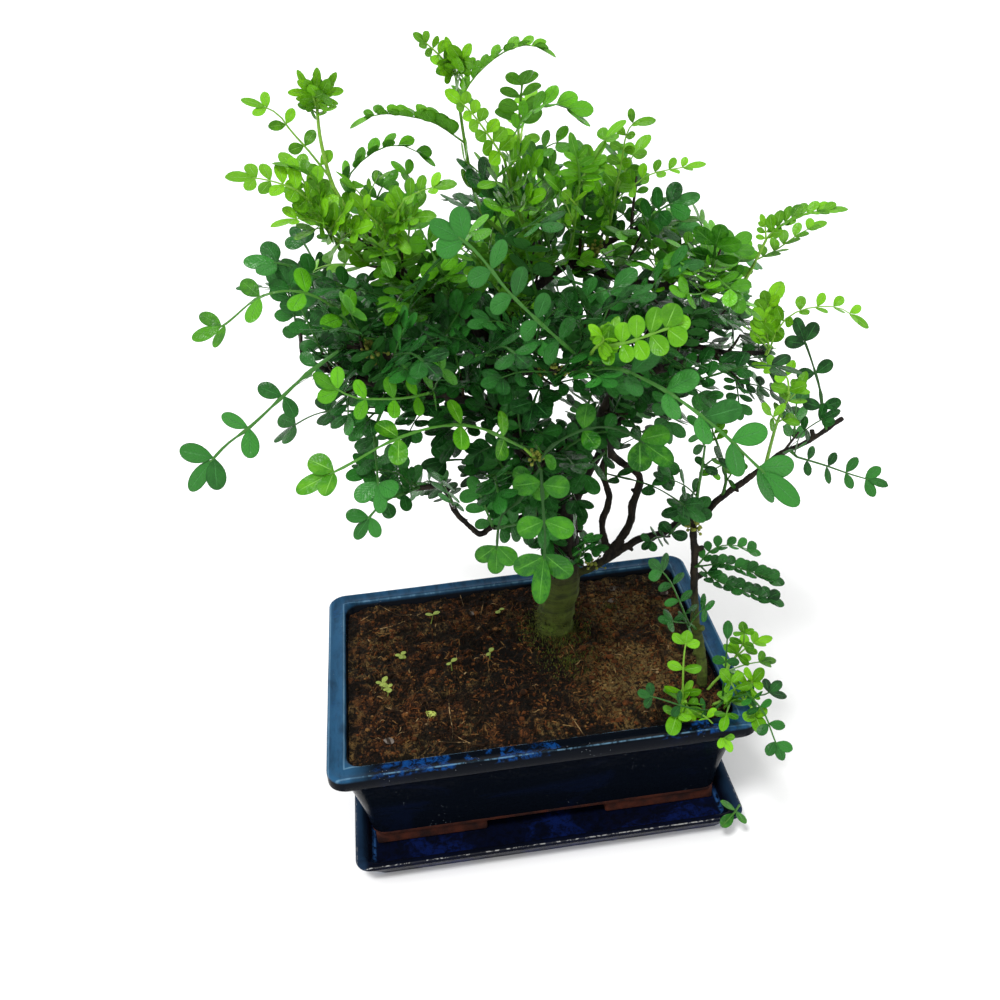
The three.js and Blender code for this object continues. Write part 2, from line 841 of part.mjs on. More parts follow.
    leaves: [
      leaf(2, 11, 0.3, at(108, 36, 264), at(122, 46, 264), at(136, 48, 252)),
      leaf(2, 11, 0.3, at(104, 27, 262), at(98, 44, 250), at(92, 52, 234)),
      leaf(2, 11, 0.3, at(106, 31, 263), at(100, 52, 270), at(86, 66, 272)),
    ],
  },
  {
    name: "lower_right_fern_shoot",
    tone: "mature",
    carrier: "side",
    stem: [[694, 566, -20], [702, 566, -26]],
    leaves: [
      leaf(5, 9, 0.45, [701, 566, -26], [722, 568, -30], [745, 574, -34], [785, 584, -40]),
      leaf(5, 9, 0.45, [700, 566, -25], [716, 580, -38], [742, 588, -46], [785, 602, -54]),
      leaf(3, 8, 0.4, [698, 566, -22], [712, 550, -18], [732, 547, -18], [761, 556, -20]),
    ],
  },
  {
    name: "side_stem_low_shoot",
    tone: "mature",
    carrier: "side",
    stem: [[697, 630, -27], [688, 622, -36]],
    leaves: [
      leaf(3, 10, 0.6, [688, 622, -36], [676, 596, -40], [664, 576, -42], [648, 562, -44]),
      leaf(2, 9, 0.6, [690, 624, -34], [700, 612, -46], [714, 602, -52]),
      leaf(2, 8, 0.6, [689, 623, -35], [676, 630, -42], [664, 644, -46]),
    ],
  },
  {
    name: "side_stem_high_shoot",
    tone: "mature",
    carrier: "side",
    stem: [[696, 508, -15], [698, 490, -20], [702, 468, -24], [705, 446, -26]],
    leaves: [
      leaf(3, 9, 0.6, [697, 496, -18], [682, 484, -24], [654, 474, -30]),
      leaf(3, 8, 0.5, [705, 448, -26], [700, 430, -28], [706, 410, -30]),
      leaf(2, 8, 0.5, [702, 468, -24], [716, 458, -18], [730, 462, -14]),
      leaf(2, 9, 0.6, [696, 505, -16], [684, 516, -28], [668, 528, -34]),
    ],
  },
  {
    name: "lower_right_bough_shoot",
    tone: "middle",
    stem: [[722, 497, -2], [726, 480, -4], [722, 458, -4], [716, 440, -2]],
    leaves: [
      leaf(2, 7, 0.6, [726, 482, -4], [736, 466, -10], [742, 452, -14]),
      leaf(3, 8, 0.6, [716, 442, -2], [712, 426, 4], [718, 408, 8]),
      leaf(2, 7, 0.6, [724, 464, -4], [712, 470, -12], [700, 474, -16]),
    ],
  },
  {
    name: "right_bough_lime_shoot",
    tone: "young",
    stem: [[767, 466, -5], [772, 440, -10], [778, 420, -14], [790, 394, -16]],
    leaves: [
      leaf(1, 8, 0.7, [777, 423, -14], [770, 413, -18], [763, 404, -20]),
      leaf(1, 8, 0.7, [777, 423, -14], [788, 417, -10], [796, 416, -8]),
      leaf(3, 8, 0.5, [790, 396, -16], [786, 376, -12], [768, 366, -8], [752, 362, -4]),
      leaf(2, 8, 0.6, [786, 402, -15], [800, 388, -10], [806, 372, -8]),
    ],
  },
  {
    name: "pot_end_upright_lime",
    tone: "young",
    carrier: "soil",
    stem: [at(72, -54, 52), rooted(683, 709), [682, 668, -53], [684, 652, -54]],
    leaves: [
      leaf(2, 10, 0.85, [684, 656, -54], [685, 644, -55], [688, 629, -56]),
      leaf(2, 10, 0.85, [682, 672, -53], [682, 664, -60], [672, 650, -64]),
      leaf(2, 11, 0.85, [683, 690, -52], [672, 690, -62], [655, 688, -68]),
      leaf(2, 11, 0.85, [683, 688, -52], [698, 684, -58], [714, 672, -62]),
      leaf(2, 11, 0.9, [683, 700, -52], [680, 708, -66], [672, 730, -78]),
      leaf(1, 11, 0.9, [683, 698, -52], [692, 712, -64], [696, 734, -74]),
    ],
  },
  {
    name: "pot_end_lime_rosette",
    tone: "young",
    carrier: "soil",
    stem: [at(86, -56, 54), rooted(712, 706), [733, 698, -60], [743, 692, -62]],
    leaves: [
      leaf(2, 12, 0.8, [743, 692, -62], [752, 682, -66], [766, 668, -70]),
      leaf(2, 12, 0.8, [737, 696, -61], [734, 684, -66], [720, 672, -68]),
      leaf(2, 12, 0.9, [740, 694, -61], [748, 700, -72], [754, 716, -82]),
      leaf(2, 10, 0.9, [731, 699, -60], [727, 712, -74], [717, 742, -88]),
    ],
  },
  {
    name: "pot_end_back_lime",
    tone: "young",
    carrier: "soil",
    stem: [at(86, -44, 54), rooted(708, 690), [724, 672, -44], [736, 656, -46]],
    leaves: [
      leaf(3, 10, 0.7, [735, 658, -46], [744, 640, -48], [742, 618, -50]),
      leaf(2, 10, 0.6, [735, 658, -46], [752, 644, -42], [770, 638, -40]),
      leaf(2, 10, 0.6, [728, 673, -43], [748, 664, -30], [776, 660, -24]),
    ],
  },
  {
    name: "pot_end_dark_shoot",
    tone: "mature",
    carrier: "soil",
    stem: [at(83, -61, 54), rooted(712, 714), [726, 700, -62], [748, 694, -70]],
    leaves: [
      leaf(3, 9, 0.8, [748, 694, -70], [762, 712, -86], [770, 736, -92], [778, 760, -96]),
      leaf(2, 9, 0.6, [744, 696, -69], [766, 694, -66], [782, 680, -60]),
    ],
  },
];

// Leafy shoots inside the crown and round its back: [name, tone, number of leaves by rule,
// first station on the wood, end of the stem, further leaves]
const FILLING = [
  ["inner_left_shoot", "mature", 2, [430, 320, 0], [404, 318, -40]],
  ["inner_upper_left_shoot", "middle", 2, [456, 316, 6], [436, 262, -34]],
  ["inner_low_left_shoot", "mature", 2, [400, 390, -14], [372, 436, -24]],
  ["inner_front_shoot", "mature", 2, [520, 372, -4], [476, 356, -52]],
  ["inner_middle_shoot", "mature", 2, [512, 300, 18], [560, 318, -30]],
  ["inner_top_shoot", "mature", 2, [524, 268, 20], [500, 246, -20]],
  ["inner_right_shoot", "mature", 2, [620, 338, 22], [640, 300, -20]],
  ["inner_stub_shoot", "mature", 2, [664, 368, -4], [700, 384, -34]],
  ["inner_low_right_shoot", "mature", 2, [606, 430, 22], [606, 480, -16]],
  ["inner_low_middle_shoot", "mature", 2, [548, 484, 12], [486, 476, -18]],
  ["back_left_shoot", "mature", 2, at(-60, 66, 234), at(-92, 92, 246)],
  ["back_low_left_shoot", "mature", 2, at(-40, 50, 225), at(-60, 86, 196)],
  ["back_left_high_shoot", "middle", 3, at(-30, 42, 222), at(-50, 78, 282)],
  ["back_middle_shoot", "mature", 2, at(14, 72, 262), at(14, 110, 250),
    leaf(2, 11, 0.3, at(14, 80, 260), at(6, 70, 282), at(-3, 60, 300)),
    leaf(2, 11, 0.3, at(14, 88, 258), at(32, 76, 268), at(52, 64, 270))],
  ["back_top_shoot", "young", 3, at(22, 90, 278), at(24, 88, 326)],
  ["back_right_high_shoot", "middle", 2, at(18, 84, 270), at(66, 96, 276),
    leaf(2, 11, 0.3, at(48, 92, 276), at(60, 68, 274), at(66, 46, 262))],
  ["back_right_shoot", "mature", 3, at(80, 66, 184), at(92, 100, 212)],
  ["back_low_right_shoot", "mature", 2, at(60, 50, 168), at(46, 92, 176)],
];
const FILL_SEED = 20731;
const FILL = { length: [40, 58], size: [11, 14], pairs: [2, 3.15], droop: [0, 0.2] };

// Colour and roughness of old, middling and fresh leaves
const TONES = {
  mature: { color: 0x0f5a2c, roughness: 0.28 },
  middle: { color: 0x2f8a2a, roughness: 0.34 },
  young: { color: 0x74c322, roughness: 0.4 },
};

// The blade of a compound leaf: a rib strip, pairs of leaflets and a longer one at the tip.
// Both faces carry the same triangles, half a thickness to each side of the middle.
function leafBlade(given, turnedTo, swell = 0) {
  const pairs = given.round ? given.pairs : Math.max(1, Math.round(given.pairs * LEAFLET_SHARE));
  const line = lineThrough(given.stations);
  const length = line.getLength();
  const half = (BLADE + swell) / 2;
  const tipLength = Math.min(given.size * TIP_LEAFLET, length * 0.5);
  const ribEnd = 1 - tipLength / length;
  const root = Math.min(LEAFLET_ROOT / length, (ribEnd / pairs) * 0.4);
  const bare = pairs > 1 ? 0.24 : 0.66;
  const pitch = pairs > 1 ? (ribEnd * (1 - bare) - root) / (pairs - 1) : 1;
  const width = Math.min(LEAFLET_WIDTH * given.size, pairs > 1 ? 0.84 * pitch * length : 99);
  const middles = [];
  const normals = [];
  const add = (place, normal) => {
    middles.push(place);
    normals.push(normal);
    return middles.length - 1;
  };
  const faces = [];
  // Corners run clockwise on the upper face, and anticlockwise where sign is -1
  const quad = (a, b, c, d, sign = 1) => {
    if (sign > 0) faces.push([a, b, c], [a, c, d]);
    else faces.push([a, c, b], [a, d, c]);
  };
  const frameAt = (share) => {
    const place = line.getPointAt(Math.min(1, Math.max(0, share)));
    const along = line.getTangentAt(Math.min(1, Math.max(0, share)));
    const normal = turnedTo.clone().addScaledVector(along, -along.dot(turnedTo)).normalize();
    return { place, along, normal, side: normal.clone().cross(along) };
  };
  const edge = (share) => {
    const { place, normal, side } = frameAt(share);
    return [0.5, -0.5].map((sign) => add(place.clone().addScaledVector(side, sign * RIB_WIDTH), normal));
  };
  // Leaflet outline, in shares of its length and half width: beyond the root, then back to it
  const bulge = given.round
    ? [[0.45, -1], [0.94, -0.52], [0.94, 0.52], [0.45, 1]]
    : [[0.86, -0.86], [0.86, 0.86]];
  const leaflet = (share, sign, rear, front) => {
    const { place, along, normal, side } = frameAt(share + root / 2);
    const outwards = side.clone().multiplyScalar(sign * Math.sin(LEAFLET_LEAN));
    outwards.addScaledVector(along, Math.cos(LEAFLET_LEAN));
    outwards.addScaledVector(normal, given.fold).normalize();
    const across = along.clone().multiplyScalar(Math.sin(LEAFLET_LEAN));
    across.addScaledVector(side, -sign * Math.cos(LEAFLET_LEAN));
    const outer = bulge.map(([out, wide]) => {
      const p = place.clone().addScaledVector(outwards, out * given.size);
      return add(p.addScaledVector(across, (wide * width) / 2), normal);
    });
    if (given.round) {
      quad(rear, outer[0], outer[3], front, sign);
      quad(outer[0], outer[1], outer[2], outer[3], sign);
    } else {
      quad(rear, outer[0], outer[1], front, sign);
    }
    return [rear, ...outer, front];
  };
  const left = [];
  const right = [];
  let [lastLeft, lastRight] = edge(0);
  left.push(lastLeft);
  right.push(lastRight);
  for (let i = 0; i < pairs; i++) {
    const share = ribEnd * bare + i * pitch;
    const [rearLeft, rearRight] = edge(share);
    quad(lastLeft, rearLeft, rearRight, lastRight);
    const [frontLeft, frontRight] = edge(share + root);
    quad(rearLeft, frontLeft, frontRight, rearRight);
    left.push(...leaflet(share, 1, rearLeft, frontLeft));
    right.push(...leaflet(share, -1, rearRight, frontRight));
    [lastLeft, lastRight] = [frontLeft, frontRight];
  }
  const wide = Math.min(given.size * LEAFLET_WIDTH, width * 1.15) / 2;
  const tips = [[0.5, 1], [0.93, 0.45], [0.93, -0.45], [0.5, -1]].map(([out, across]) => {
    const { place, normal, side } = frameAt(ribEnd + (out * tipLength) / length);
    return add(place.clone().addScaledVector(side, across * wide), normal);
  });
  if (pairs === 1) {
    const [endLeft, endRight] = edge(ribEnd);
    quad(lastLeft, endLeft, endRight, lastRight);
    left.push(endLeft);
    right.push(endRight);
    [lastLeft, lastRight] = [endLeft, endRight];
  }
  quad(lastLeft, tips[0], tips[3], lastRight);
  quad(tips[0], tips[1], tips[2], tips[3]);
  const outline = [...left, ...tips, ...right.reverse()];
  const count = middles.length;
  const points = [half, -half].flatMap((offset) =>
    middles.map((p, i) => p.clone().addScaledVector(normals[i], offset)),
  );
  const under = faces.map(([a, b, c]) => [a + count, c + count, b + count]);
  const walls = outline.flatMap((a, i) => {
    const b = outline[(i + 1) % outline.length];
    return [[a, a + count, b + count], [a, b + count, b]];
  });
  return solidFrom(points, [...faces, ...under, ...walls]);
}

// The way a leaf's upper face looks: between straight up and towards the front view
function facing(given) {
  const towards = VIEW.eye.clone().sub(spot(given.stations[0])).normalize();
  return UP.clone().lerp(towards, given.face).normalize();
}

// The same leaf with its outer stations pushed to the back and up, little by little from its foot
function swayed(given, depth, rise) {
  const last = given.stations.length - 1;
  const stations = given.stations.map((s, i) => spot(s).add(at(0, depth, rise).multiplyScalar(i / last)));
  return { ...given, stations };
}

// A leaf by rule: leaves turn round the stem by the golden turn, lean outwards and droop at their tips
function ruledLeaf(line, index, count, draw) {
  const share = 0.34 + (0.66 * (index + 0.7)) / count;
  const foot = line.getPointAt(Math.min(1, share));
  const along = line.getTangentAt(Math.min(1, share));
  const level = along.clone().cross(UP).normalize();
  const lift = level.clone().cross(along);
  const turn = GOLDEN_TURN * index + draw.between(0, 1.2);
  const outwards = foot.clone().sub(CROWN_MIDDLE).normalize();
  const way = along.clone().multiplyScalar(0.5);
  way.addScaledVector(level, 0.8 * Math.cos(turn));
  way.addScaledVector(lift, 0.8 * Math.sin(turn));
  way.addScaledVector(outwards, 0.5).addScaledVector(UP, 0.1).normalize();
  const length = draw.between(...FILL.length);
  const droop = draw.between(...FILL.droop) * length;
  const middle = foot.clone().addScaledVector(way, length * 0.5).addScaledVector(UP, length * 0.05);
  const tip = foot.clone().addScaledVector(way, length * 0.96).addScaledVector(UP, -droop);
  const pairs = Math.floor(draw.between(...FILL.pairs));
  const size = draw.between(...FILL.size);
  const turned = UP.clone().addScaledVector(outwards, 0.6).addScaledVector(AXES.ahead, -0.2).normalize();
  return { pairs, size, face: 0, fold: 0.15, stations: [foot, middle, tip], turned };
}

// Boxes that don't meet spare a boolean
function boxesMeet(a, b) {
  const [p, q] = [a.boundingBox(), b.boundingBox()];
  return [0, 1, 2].every((i) => p.min[i] <= q.max[i] && q.min[i] <= p.max[i]);
}
const shared = (a, b) => (boxesMeet(a, b) ? a.intersect(b).volume() : 0);

const CLEARANCE = 0.4;
const FOOT_REACH = 4;
const SWAY_DEPTHS = [0, -6, 6, -12, 12, -18, 18, -24, 24];
const SWAY_RISES = [0, 5, -5, 10, -10];
const SWAYS = SWAY_RISES.flatMap((rise) => SWAY_DEPTHS.map((depth) => [depth, rise]));
const OWN_OVERLAP = 3.5;
const KEPT_SHARE = 0.9;

const tray = traySolid();
const pot = potSolid();
const tree = treeSolid();
const treeSeat = treeSolid(GAP);
const sideStem = limbSolid(sideLine, ...SIDE_STEM.radii, SIDE_STEM.sides, TRUNK_PITCH);
const sideSeat = limbSolid(sideLine, ...SIDE_STEM.radii, SIDE_STEM.sides, TRUNK_PITCH, GAP);
const soilBlock = soilSolid([]);
const seats = { tree: treeSeat, side: sideSeat, soil: null };
const carrierLines = { tree: treeLines, side: [sideLine] };

function stemOf(shoot) {
  const carrier = shoot.carrier ?? "tree";
  if (carrier === "soil") return lineThrough(shoot.stem);
  const root = nearestOn(spot(shoot.stem[0]), carrierLines[carrier], BOUGH_PITCH);
  return lineThrough([root, ...shoot.stem.slice(1)]);
}

// A leaf may touch its own shoot at its foot and nothing else
function leafIsClear(blade, own, shoots) {
  for (const other of shoots) {
    const common = shared(blade, other.solid);
    if (common > (other === own ? OWN_OVERLAP : 0)) return false;
  }
  for (const solid of [tray, pot, soilBlock]) {
    if (shared(blade, solid) > 0) return false;
  }
  for (const seat of [treeSeat, sideSeat]) {
    if (shared(blade, seat) > 0 && mainBody(blade.subtract(seat)).volume() < KEPT_SHARE * blade.volume()) {
      return false;
    }
  }
  return true;
}

function addLeaf(shoot, given, shoots) {
  const first = spot(given.stations[0]);
  const foot = nearestOn(first, [shoot.line], STEM_PITCH);
  const apart = foot.distanceTo(first) > FOOT_REACH;
  const stations = [foot, ...given.stations.slice(apart ? 0 : 1)];
  for (const [depth, rise] of SWAYS) {
    const moved = swayed({ fold: 0.12, ...given, stations }, depth, rise);
    const turned = given.turned ?? facing(moved);
    if (!leafIsClear(leafBlade(moved, turned, CLEARANCE), shoot, shoots)) continue;
    const cut = leafBlade(moved, turned).subtract(treeSeat).subtract(sideSeat);
    const bodies = shoot.solid.add(mainBody(cut)).decompose();
    const whole = bodies.filter((body) => body.volume() > 0);
    if (whole.length !== 1) continue;
    shoot.solid = whole[0];
    return;
  }
}

function growShoots() {
  const fillings = FILLING.map(([name, tone, fill, root, end, ...leaves]) => {
    const [a, b] = [spot(root), spot(end)];
    const knee = a.clone().lerp(b, 0.5).add(at(0, 0, 4));
    return { name, tone, stem: [a, knee, b], leaves, fill };
  });
  const shoots = [...SHOOTS, ...fillings].map((shoot) => {
    const line = stemOf(shoot);
    const stem = limbSolid(line, ...STEM_RADII, STEM_SIDES, STEM_PITCH);
    const seat = seats[shoot.carrier ?? "tree"];
    const solid = mainBody(seat ? stem.subtract(seat) : stem);
    return { ...shoot, line, solid };
  });
  for (const shoot of shoots) {
    for (const given of shoot.leaves) addLeaf(shoot, { ...given, round: given.size >= 14 }, shoots);
  }
  const draw = new Draw(FILL_SEED);
  for (const shoot of shoots.slice(SHOOTS.length)) {
    for (let i = 0; i < shoot.fill; i++) addLeaf(shoot, ruledLeaf(shoot.line, i, shoot.fill, draw), shoots);
  }
  return shoots;
}
const shoots = growShoots();

// The plain holes that the stems stand in
function stemHoles() {
  const trunkHole = limbSolid(treeLines[0], ...TRUNK.radii, TRUNK.sides, TRUNK_PITCH, GAP);
  const holes = [trunkHole, sideSeat];
  for (const shoot of shoots) {
    if (shoot.carrier !== "soil") continue;
    holes.push(limbSolid(shoot.line, ...STEM_RADII, STEM_SIDES, STEM_PITCH, GAP));
  }
  return holes;
}

// The finished part
const part = new THREE.Group();
function place(name, solid, color, roughness, metalness = 0) {
  const mesh = new THREE.Mesh(
    geometryOf(solid),
    new THREE.MeshStandardMaterial({ color, roughness, metalness }),
  );
  mesh.name = name;
  part.add(mesh);
}

place("tray", tray, 0x14213f, 0.2);
place("pot", pot, 0x10182e, 0.2);
place("drain_screen_left", screenSolid(-DRAIN.x), 0x1f2326, 0.6);
place("drain_screen_right", screenSolid(DRAIN.x), 0x1f2326, 0.6);
place("soil", soilSolid(stemHoles()), 0x4a2415, 0.95);
place("trunk", tree, 0x4a4a2c, 0.85);
place("side_stem", sideStem, 0x4a4a2c, 0.85);
for (const shoot of shoots) {
  const { color, roughness } = TONES[shoot.tone];
  place(shoot.name, shoot.solid, color, roughness);
}

export default part;
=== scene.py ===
"""Japanese pepper bonsai in a glazed rectangular pot on its drip tray.

Metres, +Z up, +X along the pot, +Y to its back, origin on the ground under the middle of the tray.
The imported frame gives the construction; this script gives every surface its fine shape and finish.
"""

from __future__ import annotations

import logging
import math
from dataclasses import dataclass, field
from enum import Enum
from typing import Callable, NamedTuple, Sequence

import bmesh
import bpy
import numpy as np
from mathutils import Matrix, Vector, noise


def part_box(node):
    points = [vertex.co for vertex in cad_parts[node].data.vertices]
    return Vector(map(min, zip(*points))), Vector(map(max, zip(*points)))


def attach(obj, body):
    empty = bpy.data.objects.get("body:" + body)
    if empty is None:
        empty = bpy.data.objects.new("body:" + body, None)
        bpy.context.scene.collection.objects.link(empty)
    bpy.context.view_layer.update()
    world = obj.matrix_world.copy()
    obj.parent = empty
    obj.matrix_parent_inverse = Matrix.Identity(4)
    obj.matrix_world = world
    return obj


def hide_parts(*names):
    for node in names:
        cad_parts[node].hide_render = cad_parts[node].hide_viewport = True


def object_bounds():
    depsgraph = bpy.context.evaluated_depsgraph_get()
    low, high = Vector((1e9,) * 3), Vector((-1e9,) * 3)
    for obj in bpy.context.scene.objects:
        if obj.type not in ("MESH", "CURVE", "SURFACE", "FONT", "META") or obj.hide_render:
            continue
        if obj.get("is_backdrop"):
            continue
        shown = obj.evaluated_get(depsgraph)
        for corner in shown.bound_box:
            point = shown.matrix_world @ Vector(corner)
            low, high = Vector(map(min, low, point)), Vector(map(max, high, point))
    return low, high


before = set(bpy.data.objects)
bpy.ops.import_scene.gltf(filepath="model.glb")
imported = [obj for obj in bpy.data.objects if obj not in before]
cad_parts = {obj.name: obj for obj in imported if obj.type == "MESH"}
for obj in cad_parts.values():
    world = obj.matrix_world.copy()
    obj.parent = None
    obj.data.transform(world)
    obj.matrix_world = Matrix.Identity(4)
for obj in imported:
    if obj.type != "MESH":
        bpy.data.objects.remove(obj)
CAD_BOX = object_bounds()

MM = 0.001
UP = np.array([0.0, 0.0, 1.0])
ROOT = "root"
BOX_LOW = np.array(CAD_BOX[0]) + 0.1 * MM
BOX_HIGH = np.array(CAD_BOX[1]) - 0.1 * MM
ASKEW = np.array([0.31, -0.22, 0.92])
NEARLY_UP = np.array([0.01, 0.02, 1.0])
TRUNK_SPOT = (0.0196, 0.021)
DRY_SPOTS = ((0.052, -0.02), (0.06, 0.035))
OPEN_SPREAD = 72
log = logging.getLogger("bonsai")

Colour = tuple[float, float, float]
Pair = tuple[float, float]
Piece = bpy.types.Object
Socket = bpy.types.NodeSocket


class Slot(Enum):
    """The record's material slots."""

    GLAZE = "glaze"
    NET = "screen_net"
    SOIL = "soil"
    BARK = "bark"
    MATURE = "leaf_mature"
    MIDDLE = "leaf_middle"
    YOUNG = "leaf_young"


class World(NamedTuple):
    """A place in the frame, in millimetres."""

    x: float
    y: float
    z: float


class Rooted(NamedTuple):
    """A place on the soil, by its column and row in the front view."""

    column: float
    row: float


def unit(arrow: np.ndarray) -> np.ndarray:
    """The same direction at length 1.

    Args:
        arrow: One direction, or an array of them.

    Returns:
        The direction or directions, each of length 1.
    """
    return arrow / np.maximum(np.linalg.norm(arrow, axis=-1, keepdims=True), 1e-12)


def around(along: np.ndarray, turn: float, upright: np.ndarray = UP) -> np.ndarray:
    """The direction square to a line, at an angle round it.

    Args:
        along: The line's direction.
        turn: The angle from the level side, in radians.
        upright: A direction that the line doesn't run in.

    Returns:
        The direction, of length 1.
    """
    level = unit(np.cross(along, upright))
    return level * math.cos(turn) + np.cross(level, along) * math.sin(turn)


@dataclass(frozen=True)
class Sight:
    """The front view that the plant is set out in, as a camera at the photographer's place."""

    eye: World = World(-45.5, -468.4, 441.9)
    turn: float = math.radians(4.742)
    dip: float = math.radians(30.376)
    roll: float = math.radians(-4.456)
    reach: float = 1113.2
    middle: float = 500.0
    soil_level: float = 65.6

    def axes(self) -> tuple[np.ndarray, np.ndarray, np.ndarray]:
        """The view's directions ahead, to the right and up."""
        level = np.array([math.cos(self.turn), -math.sin(self.turn), 0.0])
        flat = np.array([math.sin(self.turn), math.cos(self.turn), 0.0])
        ahead = flat * math.cos(self.dip) - UP * math.sin(self.dip)
        above = np.cross(level, ahead)
        right = level * math.cos(self.roll) + above * math.sin(self.roll)
        up = above * math.cos(self.roll) - level * math.sin(self.roll)
        return ahead, right, up

    def origin(self) -> np.ndarray:
        """The eye's place in metres."""
        return np.array(self.eye) * MM

    def ray(self, column: float, row: float) -> np.ndarray:
        """The direction in which a pixel of the front view is seen."""
        ahead, right, up = self.axes()
        return ahead + right * (column - self.middle) / self.reach + up * (self.middle - row) / self.reach

    def spot(self, station: Sequence[float] | np.ndarray) -> np.ndarray:
        """The place of a station.

        Args:
            station: A World or Rooted place, a point in metres, or (column, row, depth in millimetres).

        Returns:
            The point in metres.
        """
        if isinstance(station, np.ndarray):
            return station
        if isinstance(station, World):
            return np.array(station) * MM
        ray = self.ray(station[0], station[1])
        if isinstance(station, Rooted):
            return self.origin() + ray * (self.soil_level * MM - self.origin()[2]) / ray[2]
        return self.origin() + ray * (station[2] * MM - self.origin()[1]) / ray[1]

    def pixel(self, place: np.ndarray) -> Pair:
        """The column and row at which a point in metres is seen."""
        ahead, right, up = self.axes()
        away = place - self.origin()
        depth = float(away @ ahead)
        column = self.middle + self.reach * float(away @ right) / depth
        return column, self.middle - self.reach * float(away @ up) / depth


SIGHT = Sight()


class Draws:
    """Seeded draws, the same on every run."""

    FACTOR = 48271
    PRIME = 2147483647

    def __init__(self, seed: int) -> None:
        """Starts the draws at a seed."""
        self.seed = seed

    def between(self, low: float, high: float) -> float:
        """The next draw, between two limits."""
        self.seed = (self.seed * self.FACTOR) % self.PRIME
        return low + (high - low) * self.seed / self.PRIME

    def about(self, spread: float) -> float:
        """The next draw, up to this much on either side of 0."""
        return self.between(-spread, spread)


class Line:
    """A smooth line through points, read by the share of its length."""

    STEPS = 200
    NEAR = 0.01

    def __init__(self, stations: Sequence) -> None:
        """Lays the line.

        Args:
            stations: The stations that it passes, from its foot to its tip.
        """
        points = np.array([SIGHT.spot(s) for s in stations])
        padded = np.vstack([2 * points[0] - points[1], points, 2 * points[-1] - points[-2]])
        travel = np.linspace(0, len(points) - 1, self.STEPS + 1)
        stretch = np.minimum(travel.astype(int), len(points) - 2)
        w = (travel - stretch)[:, None]
        before, start, end, after = (padded[stretch + k] for k in range(4))
        leave, arrive = (end - before) / 2, (after - start) / 2
        bend = 3 * (end - start) - 2 * leave - arrive
        self.path = start + leave * w + bend * w**2 + (2 * (start - end) + leave + arrive) * w**3
        self.gone = np.concatenate([[0], np.cumsum(np.linalg.norm(np.diff(self.path, axis=0), axis=1))])
        self.length = float(self.gone[-1])

    def at(self, share: float | np.ndarray) -> np.ndarray:
        """The point or points at a share of the length."""
        gone = np.clip(share, 0, 1) * self.length
        return np.stack([np.interp(gone, self.gone, self.path[:, k]) for k in range(3)], axis=-1)

    def way(self, share: float | np.ndarray) -> np.ndarray:
        """The direction of travel at a share of the length."""
        share = np.clip(share, self.NEAR, 1 - self.NEAR)
        return unit(self.at(share + self.NEAR) - self.at(share - self.NEAR))

    def nearest(self, place: np.ndarray) -> np.ndarray:
        """The point of the line that lies nearest to a place."""
        return self.path[np.argmin(np.linalg.norm(self.path - place, axis=1))]


